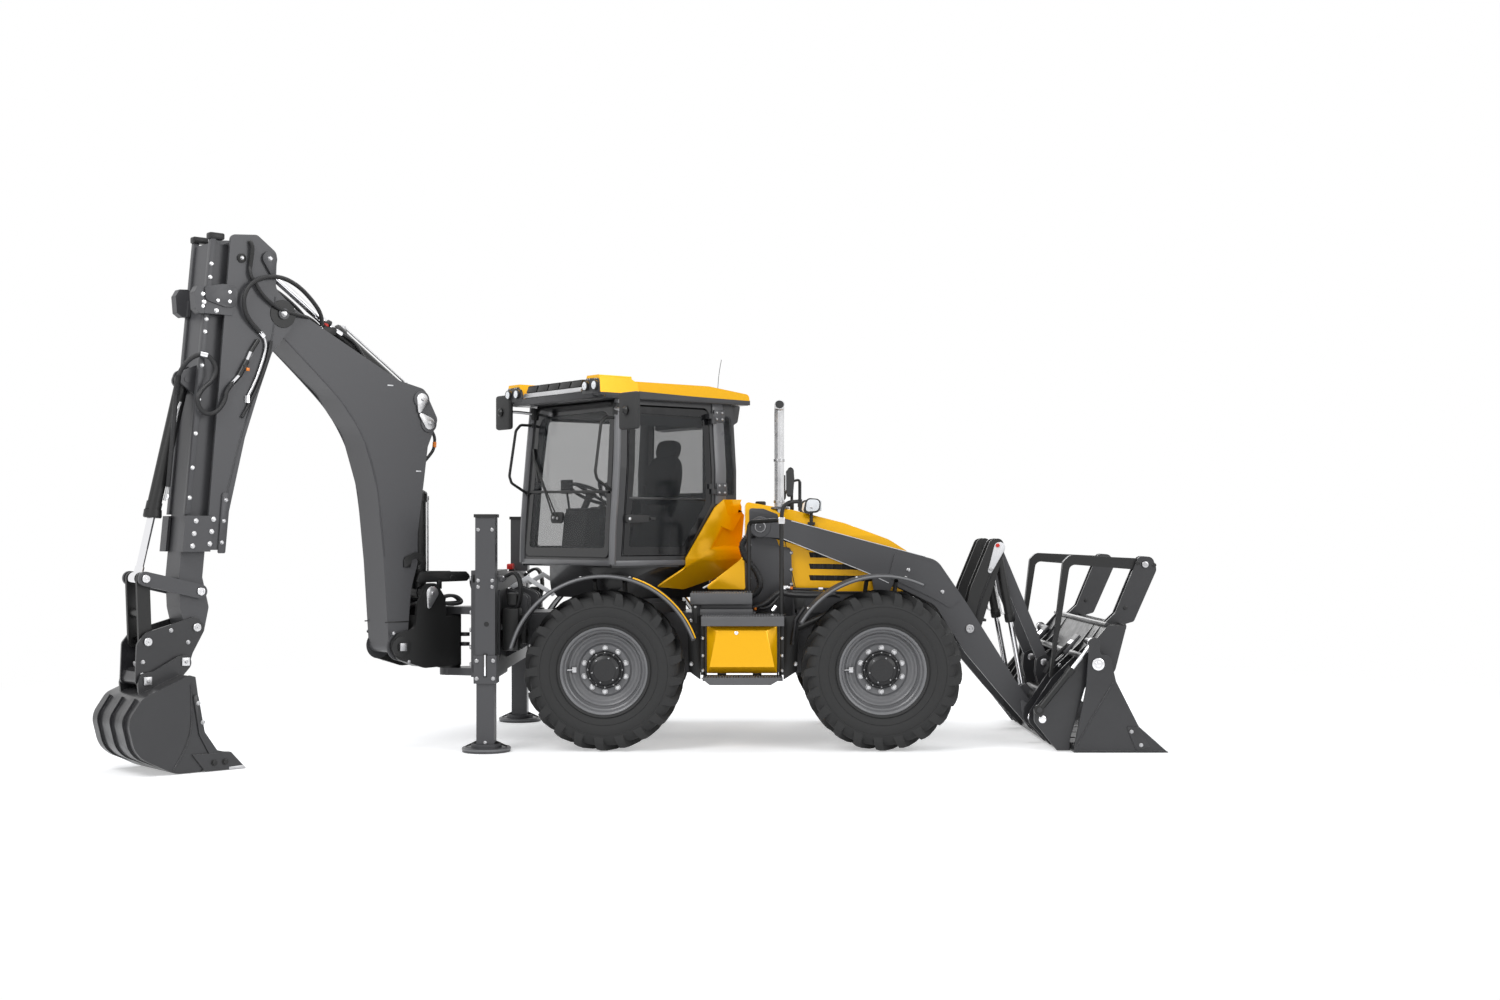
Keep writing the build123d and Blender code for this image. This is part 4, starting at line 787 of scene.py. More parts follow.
@dataclass
class Fasteners:
    """Bolts and pin ends of one body, gathered and laid out together."""

    shop: Shop
    body: str
    name: str
    place: Matrix
    finish: Finish = STEEL
    item: Callable[[], bmesh.types.BMesh] = bolt_item
    spots: list[tuple[Point, Point, float]] = field(default_factory=list)

    def spot(self, where: Point, facing: Point, size: float) -> None:
        """Add one bolt at a place, facing a way, with a size across."""
        self.spots.append((where, facing, size))

    def ring(self, centre: Point, facing: Point, radius: float, count: int, size: float,
             start: float = 0.0) -> None:
        """Add a circle of bolts.

        Args:
            centre: Middle of the circle.
            facing: Axis.
            radius: Radius of the circle.
            count: How many.
            size: Size across.
            start: Angle of the first in radians.
        """
        turn = Vector(facing).to_track_quat("Z", "Y")
        for k in range(count):
            angle = start + 2 * math.pi * k / count
            offset = turn @ Vector((radius * math.cos(angle), radius * math.sin(angle), 0))
            self.spot(tuple(Vector(centre) + offset), facing, size)

    def finish_up(self) -> None:
        """Make the gathered fasteners one piece."""
        if self.spots:
            mesh = Repeater(RepeatKind.POINTS).bake(self.item(), self.finish, points=self.spots)
            self.shop.add(self.name, mesh, self.place, self.finish, self.body)


# Wheels

@dataclass
class Wheels:
    """Four lugged tyres on dished rims."""

    shop: Shop
    wheel_x: float = 1.1
    wheel_y: float = 0.96
    radius: float = 0.635
    half_width: float = 0.2
    carcass: float = 0.598
    bead: float = 0.349
    lugs: int = 21
    nuts: int = 10

    def tyre(self) -> bmesh.types.BMesh:
        """Tyre about the Y axis with its outside at +Y.

        Returns:
            The tyre's mesh.
        """
        mesh = new_mesh()
        half = self.half_width
        side = [(half - 0.020, self.bead), (half - 0.012, 0.366), (half - 0.022, 0.372),
                (half - 0.010, 0.392),
                (half - 0.006, 0.425), (half - 0.010, 0.430), (half - 0.003, 0.452), (half, 0.478),
                (half - 0.005, 0.505),
                (half - 0.001, 0.508), (half - 0.004, 0.520), (half - 0.014, 0.552), (half - 0.040, 0.585),
                (half - 0.075, self.carcass - 0.004), (0.06, self.carcass + 0.002)]
        profile = side + [(0, self.carcass + 0.003)] + [(-y, r) for y, r in reversed(side)]
        profile += [(-half + 0.05, self.bead - 0.006), (half - 0.05, self.bead - 0.006), side[0]]
        add_lathe(mesh, profile, (0, 0, 0), (0, 1, 0), 120)
        bmesh.ops.remove_doubles(mesh, verts=mesh.verts[:], dist=1e-5)
        return mesh

    def lug(self, side: int) -> bmesh.types.BMesh:
        """One tread lug, from the middle of the tread over the shoulder.

        Args:
            side: 1 for the outer half, -1 for the inner.

        Returns:
            The lug's mesh.
        """
        half = self.half_width
        top = self.radius
        stations = [
            ((0.004, self.carcass - 0.01), (0.006, top - 0.005), 2.4, 0.014, 0.020),
            ((0.05, self.carcass - 0.01), (0.05, top), -1.6, 0.017, 0.025),
            ((half - 0.062, self.carcass - 0.016), (half - 0.052, top - 0.004), -8.6, 0.022, 0.031),
            ((half - 0.040, 0.572), (half - 0.016, top - 0.016), -11.3, 0.026, 0.036),
            ((half - 0.024, 0.548), (half - 0.001, 0.586), -12.2, 0.030, 0.038),
            ((half - 0.016, 0.520), (half - 0.001, 0.552), -12.6, 0.034, 0.039),
            ((half - 0.013, 0.497), (half - 0.006, 0.512), -13.0, 0.040, 0.041),
        ]
        mesh = new_mesh()
        rings = []
        for base, tip, turn, tip_half, base_half in stations:
            ring = []
            for (y, r), wide, sign in ((base, base_half, -1), (tip, tip_half, -1), (tip, tip_half, 1),
                                       (base, base_half, 1)):
                angle = math.radians(turn) + sign * wide / r
                ring.append(mesh.verts.new((r * math.sin(angle), y * side, r * math.cos(angle))))
            rings.append(ring)
        mesh.faces.new(rings[0])
        mesh.faces.new(rings[-1][::-1])
        for first, second in zip(rings, rings[1:]):
            for k in range(4):
                mesh.faces.new((first[k], second[k], second[(k + 1) % 4], first[(k + 1) % 4]))
        bmesh.ops.recalc_face_normals(mesh, faces=mesh.faces[:])
        return mesh

    def rim(self) -> bmesh.types.BMesh:
        """Dished rim without its nuts; +Y is the outside.

        Returns:
            The rim's mesh.
        """
        mesh = new_mesh()
        outer = [(0.176, 0.334), (0.179, 0.345), (0.172, 0.351), (0.162, 0.349), (0.158, 0.322),
                 (0.09, 0.314), (-0.09, 0.306),
                 (-0.158, 0.322), (-0.161, 0.349), (-0.175, 0.349), (-0.176, 0.335)]
        inner = [(-0.15, 0.312), (-0.09, 0.298), (0.004, 0.294), (0.004, 0.05), (0.026, 0.05),
                 (0.026, 0.150), (0.030, 0.156),
                 (0.030, 0.198), (0.022, 0.206), (0.016, 0.214), (0.018, 0.226), (0.034, 0.240),
                 (0.040, 0.252), (0.038, 0.262),
                 (0.052, 0.272), (0.056, 0.284), (0.052, 0.291), (0.072, 0.300), (0.118, 0.304),
                 (0.126, 0.316), (0.150, 0.320),
                 (0.166, 0.324), (0.176, 0.334)]
        add_lathe(mesh, outer + inner, (0, 0, 0), (0, 1, 0), 96)
        bmesh.ops.remove_doubles(mesh, verts=mesh.verts[:], dist=1e-5)
        return mesh

    def hub(self) -> bmesh.types.BMesh:
        """Hub cap with its ring of small bolts; +Y is the outside.

        Returns:
            The cap's mesh.
        """
        mesh = new_mesh()
        profile = [(0.02, 0.0), (0.02, 0.148), (0.048, 0.148), (0.056, 0.141), (0.058, 0.131),
                   (0.078, 0.128), (0.096, 0.121),
                   (0.104, 0.112), (0.108, 0.094), (0.114, 0.088), (0.118, 0.060), (0.116, 0.054),
                   (0.120, 0.036), (0.121, 0.0)]
        add_lathe(mesh, profile, (0, 0, 0), (0, 1, 0), 64)
        return mesh

    def build(self) -> None:
        """Make and seat all four wheels."""
        for front, x in (("front", self.wheel_x), ("rear", -self.wheel_x)):
            for side, sign in (("left", 1), ("right", -1)):
                tag = front + "_" + side
                place = self.shop.machine @ Matrix.Translation((x, sign * self.wheel_y, self.radius))
                if sign < 0:
                    place = place @ Matrix.Rotation(math.pi, 4, "Z")
                self._one(tag, place)
        LOG.info("wheels built")

    def _one(self, tag: str, place: Matrix) -> None:
        """One wheel's pieces, named by tag, at its place."""
        shop, body = self.shop, "wheel_" + tag
        shop.add("carcass_" + tag, self.tyre(), place, RUBBER, body, 40, ["tyre_" + tag])
        step = 2 * math.pi / self.lugs
        for side in (1, -1):
            mesh = Repeater(RepeatKind.RING).bake(self.lug(side), RUBBER, self.lugs, (0, step, 0))
            turn = Matrix.Rotation(0 if side > 0 else step / 2, 4, "Y")
            shop.add(f"lugs_{'outer' if side > 0 else 'inner'}_{tag}", mesh, place @ turn, RUBBER, body, 30)
        shop.add("disc_" + tag, self.rim(), place, RIM_GREY, body, 40, ["rim_" + tag])
        shop.add("hub_cap_" + tag, self.hub(), place, HUB_BLACK, body, 35)
        nuts = Fasteners(shop, body, "nuts_" + tag, place, ZINC)
        nuts.ring((0, 0.029, 0), (0, 1, 0), 0.174, self.nuts, 0.036, 0.31)
        nuts.finish_up()
        caps = Fasteners(shop, body, "cap_bolts_" + tag, place, STEEL)
        caps.ring((0, 0.056, 0), (0, 1, 0), 0.137, 12, 0.012)
        caps.ring((0, 0.108, 0), (0, 1, 0), 0.100, 6, 0.012, 0.2)
        caps.finish_up()
        valve = new_mesh()
        add_box(valve, (0.225, 0.03, -0.022), (0.262, 0.062, 0.022), 0.004)
        add_rod(valve, (0.243, 0.05, 0), (0.300, 0.085, 0), 0.007, 12)
        shop.add("valve_" + tag, valve, place, ZINC, body)


# Strokes: the plain shapes that a piece is put together from

@dataclass(frozen=True)
class Box:
    """A block with rounded edges."""

    low: Point
    high: Point
    bevel: float = 0.004

    def add_to(self, mesh: bmesh.types.BMesh) -> None:
        """Add the block to the mesh."""
        add_box(mesh, self.low, self.high, self.bevel)


@dataclass(frozen=True)
class Plate:
    """A plate cut to an outline, whose corners may give a third number, their radius."""

    outline: Sequence[tuple]
    low: float
    high: float
    axis: str = "y"
    bevel: float = 0.002

    def add_to(self, mesh: bmesh.types.BMesh) -> None:
        """Add the plate to the mesh."""
        add_prism(mesh, round_corners(self.outline), self.low, self.high, self.axis, self.bevel)


@dataclass(frozen=True)
class Rod:
    """A round bar with chamfered ends."""

    start: Point
    end: Point
    radius: float
    steps: int = 24

    def add_to(self, mesh: bmesh.types.BMesh) -> None:
        """Add the bar to the mesh."""
        add_rod(mesh, self.start, self.end, self.radius, self.steps)


@dataclass(frozen=True)
class Pipe:
    """A pipe or hose along a line."""

    points: Sequence[Point]
    radius: float
    straight: bool = False

    def add_to(self, mesh: bmesh.types.BMesh) -> None:
        """Add the pipe to the mesh."""
        add_pipe(mesh, self.points, self.radius, self.straight)


@dataclass(frozen=True)
class Turned:
    """A turned shape from (distance, radius) pairs."""

    profile: Sequence[Pair]
    start: Point
    direction: Point
    steps: int = 32

    def add_to(self, mesh: bmesh.types.BMesh) -> None:
        """Add the turned shape to the mesh."""
        add_lathe(mesh, self.profile, self.start, self.direction, self.steps)


@dataclass(frozen=True)
class Ring:
    """A flat frame between two outlines that have the same number of corners."""

    outer: Sequence[tuple]
    inner: Sequence[tuple]
    low: float
    high: float
    axis: str = "y"

    def add_to(self, mesh: bmesh.types.BMesh) -> None:
        """Add the frame to the mesh."""
        place: dict[str, Callable[[Pair, float], Point]] = {
            "x": lambda p, t: (t, p[0], p[1]), "y": lambda p, t: (p[0], t, p[1]),
                "z": lambda p, t: (p[0], p[1], t)}
        loops = [[mesh.verts.new(place[self.axis](corner, t)) for corner in round_corners(line)]
                 for line, t in ((self.outer, self.low), (self.outer, self.high), (self.inner, self.high),
                                 (self.inner, self.low))]
        count = len(loops[0])
        for first, second in zip(loops, loops[1:] + loops[:1]):
            for k in range(count):
                mesh.faces.new((first[k], second[k], second[(k + 1) % count], first[(k + 1) % count]))


@dataclass(frozen=True)
class Pad:
    """A crowned cushion whose sides pull in between its corners, with sewn channels across it."""

    centre: Point
    half: Point
    lean: float = 0.0
    channels: Sequence[float] = ()
    power: float = 0.36

    def add_to(self, mesh: bmesh.types.BMesh) -> None:
        """Add the cushion to the mesh."""
        rows, columns = 36, 64
        turn = Matrix.Rotation(math.radians(self.lean), 3, "Y")

        def bent(value: float, power: float) -> float:
            return math.copysign(abs(value) ** power, value)

        rings = []
        for row in range(rows + 1):
            tilt = math.pi * (row / rows - 0.5)
            ring = []
            for column in range(columns if 0 < row < rows else 1):
                angle = 2 * math.pi * column / columns
                across = bent(math.cos(tilt), self.power)
                x, y = across * bent(math.cos(angle), self.power), across * bent(math.sin(angle), self.power)
                z = bent(math.sin(tilt), 0.8) * (1 - 0.18 * (x * x + y * y) / 2)
                for channel in self.channels:
                    z *= 1 - 0.16 * math.exp(-((y - channel) / 0.035) ** 2) * across
                pinch = 1 - 0.03 * (1 - abs(z)) * (2 - x * x - y * y)
                ring.append(mesh.verts.new(Vector(self.centre) + turn @ Vector((
                    x * pinch * self.half[0], y * pinch * self.half[1], z * self.half[2]))))
            rings.append(ring)
        for first, second in zip(rings, rings[1:]):
            for k in range(columns):
                corners = [first[k % len(first)], first[(k + 1) % len(first)],
                           second[(k + 1) % len(second)], second[k % len(second)]]
                mesh.faces.new(list(dict.fromkeys(corners)))


Stroke = Box | Plate | Rod | Pipe | Turned | Ring | Pad


@dataclass
class Bench:
    """Makes the pieces of one body at one place."""

    shop: Shop
    place: Matrix
    body: str

    def piece(self, name: str, finish: Finish, strokes: Iterable[Stroke], mirror: bool = False,
              shape: Callable[[bmesh.types.BMesh], None] | None = None, smooth: float = 35.0,
              replaces: Sequence[str] = ()) -> bpy.types.Object:
        """Put strokes together as one piece.

        Args:
            name: Piece name.
            finish: Finish.
            strokes: Shapes in the place's own axes.
            mirror: Whether the piece also has its twin on the other side of the middle plane.
            shape: Last bend of the mesh, before the twin is made.
            smooth: Angle in degrees up to which faces shade as one.
            replaces: CAD nodes that it stands for.

        Returns:
            The object.
        """
        mesh = new_mesh()
        for stroke in strokes:
            stroke.add_to(mesh)
        if shape:
            shape(mesh)
        if mirror:
            twin = bmesh.ops.duplicate(mesh, geom=mesh.verts[:] + mesh.edges[:] + mesh.faces[:])["geom"]
            for vertex in twin:
                if isinstance(vertex, bmesh.types.BMVert):
                    vertex.co.y = -vertex.co.y
        return self.shop.add(name, mesh, self.place, finish, self.body, smooth, replaces)

    def fasteners(self, name: str, finish: Finish, spots: Sequence[tuple[Point, Point, float]],
                  mirror: bool = False,
                  item: Callable[[], bmesh.types.BMesh] = bolt_item) -> None:
        """Lay out bolts or pin ends.

        Args:
            name: Piece name.
            finish: Finish.
            spots: (place, facing, size across) of each.
            mirror: Whether they also stand on the other side of the middle plane.
            item: Maker of one of them.
        """
        group = Fasteners(self.shop, self.body, name, self.place, finish, item, list(spots))
        if mirror:
            group.spots += [((x, -y, z), (a, -b, c), size) for (x, y, z), (a, b, c), size in spots]
        group.finish_up()


def disc_item() -> bmesh.types.BMesh:
    """A plain domed disc, 1 unit across, standing on z = 0."""
    mesh = new_mesh()
    add_lathe(mesh, [(0, 0), (0, 0.5), (0.10, 0.5), (0.16, 0.42), (0.18, 0.2), (0.18, 0)], (0, 0, 0),
              (0, 0, 1), 20)
    return mesh


def tooth_item() -> bmesh.types.BMesh:
    """One tooth of a serrated step edge, 1 unit long, standing on z = 0."""
    mesh = new_mesh()
    add_prism(mesh, [(-0.5, -0.4), (0.5, -0.4), (0.22, 0.9), (-0.22, 0.9)], -0.35, 0.35)
    return mesh


def teardrop(centre: Pair, tail: Pair, radius: float, tip: float) -> list[Pair]:
    """Outline of a pin's retaining plate: a round head that narrows to its tail.

    Args:
        centre: Middle of the head.
        tail: Middle of the tail's end.
        radius: Radius of the head.
        tip: Radius of the tail.

    Returns:
        The outline's points.
    """
    way = math.atan2(tail[1] - centre[1], tail[0] - centre[0])
    points = [(centre[0] + radius * math.cos(way + angle), centre[1] + radius * math.sin(way + angle))
              for angle in [math.radians(75 + 210 * k / 18) for k in range(19)]]
    points += [(tail[0] + tip * math.cos(way + angle), tail[1] + tip * math.sin(way + angle))
               for angle in [math.radians(-75 + 150 * k / 10) for k in range(11)]]
    return points


# Cab

@dataclass
class Cab:
    """Glass, trim, lamps, mirrors, cowl and inside of the turning cab; local x points backward."""

    shop: Shop
    side: float = 0.69
    knee: float = 2.25
    side_lean: float = 0.0885
    front: float = -0.66
    sill: float = 1.50
    front_lean: float = 0.07605

    def __post_init__(self) -> None:
        """Set the benches of the cab and its door."""
        self.bench = Bench(self.shop, self.shop.cab, "cab")
        self.door = Bench(self.shop, self.shop.cab, "cab_door")

    def lean_side(self, mesh: bmesh.types.BMesh) -> None:
        """Bend plates made at the lower side's y onto the side's lean above the knee."""
        bmesh.ops.bisect_plane(mesh, geom=mesh.verts[:] + mesh.edges[:] + mesh.faces[:],
                               plane_co=(0, 0, self.knee),
                               plane_no=(0, 0, 1))
        for vertex in mesh.verts:
            vertex.co.y -= math.copysign(max(0.0, vertex.co.z - self.knee) * self.side_lean, vertex.co.y)

    def lean_front(self, mesh: bmesh.types.BMesh) -> None:
        """Lean plates made at the sill's x onto the windscreen's plane."""
        for vertex in mesh.verts:
            vertex.co.x += max(0.0, vertex.co.z - self.sill) * self.front_lean

    def glaze(self) -> None:
        """Put in every pane with its black seal."""
        side, low, high = self.side, self.side + 0.0005, self.side + 0.0055
        pane = [(-0.560, 1.549, 0.02), (0.061, 1.549, 0.02), (0.325, 1.957, 0.04), (0.325, 2.750, 0.05),
                (-0.466, 2.750, 0.05)]
        hole = [(-0.503, 1.612, 0.02), (0.035, 1.612, 0.02), (0.268, 1.975, 0.03), (0.268, 2.692, 0.04),
                (-0.409, 2.692, 0.04)]
        self.door.piece("door_pane", DOOR_GLASS, [Plate(pane, -high, -low, bevel=0)], shape=self.lean_side)
        self.door.piece("door_border", FRIT, [Ring(pane, hole, -high - 0.001, -high)], shape=self.lean_side)
        self.door.piece("door_pane_bar", FRIT, [Box((-0.50, -side - 0.008, 1.992), (0.272, -side + 0.006,
            2.012), 0.002)])
        self.bench.piece("far_side_pane", GLASS, [Plate(pane, low, high, bevel=0)], shape=self.lean_side)
        self.bench.piece("far_side_border", FRIT, [Ring(pane, hole, high, high + 0.001)],
                         shape=self.lean_side)
        screen = [(-0.635, 1.530, 0.05), (0.635, 1.530, 0.05), (0.595, 2.778, 0.10), (-0.595, 2.778, 0.10)]
        clear = [(-0.575, 1.600, 0.04), (0.575, 1.600, 0.04), (0.535, 2.715, 0.12), (-0.535, 2.715, 0.12)]
        front = self.front
        self.bench.piece("windscreen", GLASS, [Plate(screen, front - 0.006, front - 0.001, "x", 0)],
                         shape=self.lean_front)
        self.bench.piece("windscreen_border", FRIT, [Ring(screen, clear, front - 0.0075, front - 0.006, "x")],
                         shape=self.lean_front)
        self.bench.piece("windscreen_seal", RUBBER, [
            Ring([(-0.645, 1.520, 0.06), (0.645, 1.520, 0.06), (0.605, 2.788, 0.11), (-0.605, 2.788, 0.11)],
                 screen,
                 front - 0.009, front + 0.002, "x")], shape=self.lean_front)
        self.bench.piece("windscreen_bar", BLACK, [Rod((-0.633, -0.60, 2.055), (-0.633, 0.60, 2.075), 0.011)])
        rear = [(-0.56, 2.04, 0.05), (0.56, 2.04, 0.05), (0.54, 2.76, 0.06), (-0.54, 2.76, 0.06)]
        rear_clear = [(-0.53, 2.07, 0.04), (0.53, 2.07, 0.04), (0.51, 2.73, 0.05), (-0.51, 2.73, 0.05)]
        self.bench.piece("rear_pane", GLASS, [Plate(rear, 0.6005, 0.6055, "x", 0)])
        self.bench.piece("rear_pane_seal", RUBBER, [Ring(rear, rear_clear, 0.6055, 0.611, "x")])
        corner = [(0.484, 2.042, 0.02), (0.572, 2.042, 0.02), (0.572, 2.705, 0.03), (0.484, 2.705, 0.03)]
        self.bench.piece("corner_panes", GLASS, [Plate(corner, low, high, bevel=0)], mirror=True,
                         shape=self.lean_side)

    def trim(self) -> None:
        """Put on the pillars, sill strips, hinges and door hardware."""
        side = self.side
        post = [(0.372, 1.965), (0.484, 1.965), (0.484, 2.812), (0.372, 2.812)]
        self.bench.piece("rear_pillars", PILLAR_GREY, [Plate(post, side, side + 0.012, bevel=0.004)],
                         mirror=True,
                         shape=self.lean_side)
        self.bench.piece("front_posts", PILLAR_GREY, [Pipe([
            (-0.657, side - 0.006, 1.472), (-0.654, side - 0.004, 1.70), (-0.630, side - 0.004, 2.02),
            (-0.606, side - 0.012, 2.32), (-0.588, side - 0.028, 2.60), (-0.576, side - 0.042, 2.80)],
                0.030)], mirror=True)
        self.bench.piece("sill_strips", PILLAR_GREY, [
            Box((-0.672, side - 0.002, 1.458), (0.045, side + 0.010, 1.502), 0.004),
            Box((0.05, side - 0.002, 1.462), (0.10, side + 0.006, 1.50), 0.004)], mirror=True)
        self.bench.piece("front_sill_strip", PILLAR_GREY,
                         [Box((-0.674, -side + 0.01, 1.458), (-0.658, side - 0.01, 1.502), 0.004)])
        self.bench.piece("hinge_plates", ANTHRACITE, [
            Box((0.376, -side - 0.024, low), (0.488, -side + 0.02, high),
                0.006) for low, high in ((2.036, 2.142),)] + [
            Box((0.376, -side + 0.012, 2.652), (0.488, -side + 0.05, 2.754), 0.006)])
        self.bench.fasteners("hinge_bolts", STEEL, [
            ((x, y, z), (0, -1, 0), 0.016) for x in (0.402, 0.460) for y, z in (
                (-side - 0.024, 2.06), (-side - 0.024, 2.118), (-side + 0.012, 2.676),
                    (-side + 0.012, 2.730))])
        self.door.piece("door_handle", PLASTIC, [
            Plate([(-0.545, 1.805, 0.02), (-0.32, 1.812, 0.01), (-0.32, 1.868, 0.01),
                   (-0.545, 1.872, 0.02)], -side - 0.030,
                  -side - 0.006, bevel=0.005),
            Box((-0.30, -side - 0.024, 1.828), (-0.25, -side - 0.005, 1.852), 0.004)])
        self.door.fasteners("door_handle_lock", ZINC, [((-0.51, -side - 0.030, 1.838), (0, -1, 0), 0.026)],
                            item=disc_item)
        self.door.piece("door_grab_bar", BLACK, [Pipe([
            (-0.30, -side + 0.05, 2.03), (-0.30, -side + 0.11, 2.03), (0.18, -side + 0.11, 2.03),
                (0.18, -side + 0.05, 2.03)],
            0.010, True)])
        self.bench.piece("skirt_seam", CAB_DARK, [
            Plate([(-0.66, 1.445), (0.0, 1.445), (0.0, 1.458), (-0.66, 1.458)], side - 0.014, side - 0.002,
                  bevel=0)], mirror=True)
        rails = [[(-0.590, 0.640, 2.648), (-0.70, 0.650, 2.650), (-0.745, 0.655, 2.600),
                  (-0.805, 0.662, 2.210),
                  (-0.785, 0.660, 2.150), (-0.632, 0.652, 2.060)]]
        self.bench.piece("screen_rails", BLACK, [Pipe(route, 0.012, True) for route in rails], mirror=True)
        self.bench.fasteners("rail_feet", BLACK, [
            ((-0.592, 0.645, 2.648), (-1, 0, 0), 0.05), ((-0.632, 0.652, 2.062), (-1, 0, 0), 0.05)], True,
                             disc_item)

    def wiper(self) -> None:
        """Put on the windscreen's pantograph wiper."""
        def on_glass(y: float, z: float, off: float = 0.026) -> Point:
            return (self.front + (z - self.sill) * self.front_lean - off, y, z)

        self.bench.piece("wiper_motor_plate", PLASTIC, [
            Plate([(0.075, 1.805, 0.03), (0.255, 1.805, 0.03), (0.255, 1.898, 0.03), (0.075, 1.898, 0.03)],
                  -0.672, -0.650,
                  "x", 0.006)], shape=self.lean_front)
        self.bench.piece("wiper_arms", BLACK, [
            Pipe([on_glass(0.19, 1.852), on_glass(0.36, 2.09), on_glass(0.575, 2.37)], 0.008),
            Pipe([on_glass(0.13, 1.846), on_glass(0.31, 2.05), on_glass(0.545, 2.34)], 0.006),
            Rod(on_glass(0.595, 2.445, 0.020), on_glass(0.485, 2.155, 0.020), 0.010),
            Rod(on_glass(0.595, 2.445, 0.012), on_glass(0.485, 2.155, 0.012), 0.006)])
        self.bench.fasteners("wiper_nuts", STEEL, [(on_glass(0.19, 1.852, 0.024), (-1, 0, 0), 0.022),
                                                   (on_glass(0.13, 1.846, 0.024), (-1, 0, 0), 0.020)])

    def mirrors(self) -> None:
        """Hang both outside mirrors on their arms."""
        near = ((-0.745, -0.69), (-1.135, -0.895), (2.535, 2.828))
        far = ((-0.825, -0.77), (0.645, 0.870), (2.610, 2.905))
        for name, (x, y, z), arm in (
                ("near", near, [(-0.585, -0.650, 2.720), (-0.66, -0.72, 2.722), (-0.715, -0.86, 2.700),
                                (-0.715, -0.93, 2.690)]),
                ("far", far, [(-0.575, 0.628, 2.745), (-0.66, 0.66, 2.758), (-0.795, 0.72, 2.765),
                              (-0.795, 0.76, 2.76)])):
            self.bench.piece(f"mirror_shell_{name}", PLASTIC,
                             [Box((x[0], y[0], z[0]), (x[1], y[1], z[1]), 0.022)])
            self.bench.piece(f"mirror_face_{name}", MIRROR, [
                Box((x[1] - 0.001, y[0] + 0.022, z[0] + 0.022), (x[1] + 0.003, y[1] - 0.022, z[1] - 0.022),
                    0.0015)])
            self.bench.piece(f"mirror_arm_{name}", STEEL, [Pipe(arm, 0.013)])
            middle = (x[0] - 0.004, (y[0] + y[1]) / 2, (z[0] + z[1]) / 2)
            self.bench.piece(f"mirror_joint_{name}", BLACK, [
                Turned([(0, 0), (0, 0.034), (0.014, 0.036), (0.026, 0.022), (0.034, 0.018), (0.036, 0)],
                       middle, (-1, 0, 0))])
            foot = arm[0]
            self.bench.piece(f"mirror_foot_{name}", PLASTIC, [
                Box((foot[0] - 0.028, foot[1] - 0.03, foot[2] - 0.05),
                    (foot[0] + 0.012, foot[1] + 0.03, foot[2] + 0.05), 0.008)])

    def roof(self) -> None:
        """Put on the dark band, lamp pods, visor, air unit, hatch and aerial."""
        bench = self.bench
        bench.piece("roof_band", PILLAR_DARK, [
            Plate([(-0.735, 2.806), (0.735, 2.806), (0.735, 2.842), (0.10, 2.852), (-0.42, 2.868),
                   (-0.60, 2.905), (-0.742, 2.862)],
                  0.694, 0.706)], mirror=True)
        bench.piece("roof_band_ends", PILLAR_DARK, [
            Box((0.728, -0.70, 2.806), (0.744, 0.70, 2.846)),
                Box((-0.752, -0.70, 2.806), (-0.738, 0.70, 2.856))])
        bench.piece("roof_underside", CAB_DARK, [Box((-0.735, -0.69, 2.803), (0.73, 0.69, 2.817), 0.003)])
        face = [(0.452, 2.838, 0.02), (0.712, 2.838, 0.02), (0.704, 2.955, 0.03), (0.530, 2.962, 0.03),
                (0.488, 2.930, 0.02)]
        bench.piece("lamp_pods", PILLAR_DARK, [Plate(face, -0.800, -0.782, "x", 0.004), Plate([
            (-0.792, 2.822, 0.02), (-0.60, 2.822, 0.02), (-0.44, 2.850), (-0.44, 2.862), (-0.792, 2.862)],
                0.470, 0.712)], mirror=True)
        lamps, lenses, pips = [], [], []
        for y in (0.530, 0.665):
            lamps.append(Turned([(-0.01, 0), (-0.01, 0.030), (0.006, 0.038), (0.024, 0.040), (0.027, 0.037),
                                 (0.027, 0.034),
                                 (0.019, 0.033), (0.019, 0)], (-0.798, y, 2.900), (-1, 0, 0)))
            lenses.append(Turned([(0, 0), (0, 0.0335), (0.006, 0.033), (0.0105, 0.022), (0.012, 0)],
                                 (-0.8165, y, 2.900), (-1, 0, 0)))
            pips.append(((-0.8285, y, 2.900), (-1, 0, 0), 0.016))
            for k in range(5):
                angle = math.radians(90 + 72 * k)
                pips.append(((-0.8245, y + 0.021 * math.cos(angle), 2.900 + 0.021 * math.sin(angle)),
                             (-1, 0, 0), 0.013))
        bench.piece("roof_lamps", PLASTIC, lamps, mirror=True)
        bench.piece("roof_lenses", LENS, lenses, mirror=True)
        bench.fasteners("roof_lamp_pips", CHROME, pips, True, disc_item)
        bench.fasteners("roof_lamp_screws", STEEL, [((-0.802, y, 2.952), (-1, 0, 0), 0.010) for y in (0.548,
            0.575, 0.655, 0.680)], True)
        louvre = [(-0.795, 2.905), (-0.770, 2.962, 0.01), (-0.62, 2.972, 0.02), (-0.60, 2.93), (-0.76, 2.893)]
        bench.piece("visor_louvres", BLACK,
                    [Plate(louvre, y - 0.082, y + 0.066, bevel=0.005) for y in (-0.34, -0.17, 0.0, 0.17,
                        0.34)])
        bench.piece("visor_bar", ZINC, [Plate([(-0.800, 2.862), (-0.792, 2.900), (-0.752, 2.896),
            (-0.752, 2.862)], -0.445, 0.445)])
        bench.piece("visor_lip", PILLAR_DARK, [Plate([(-0.790, 2.806), (-0.800, 2.858), (-0.745, 2.866),
            (-0.735, 2.806)], -0.60, 0.60)])
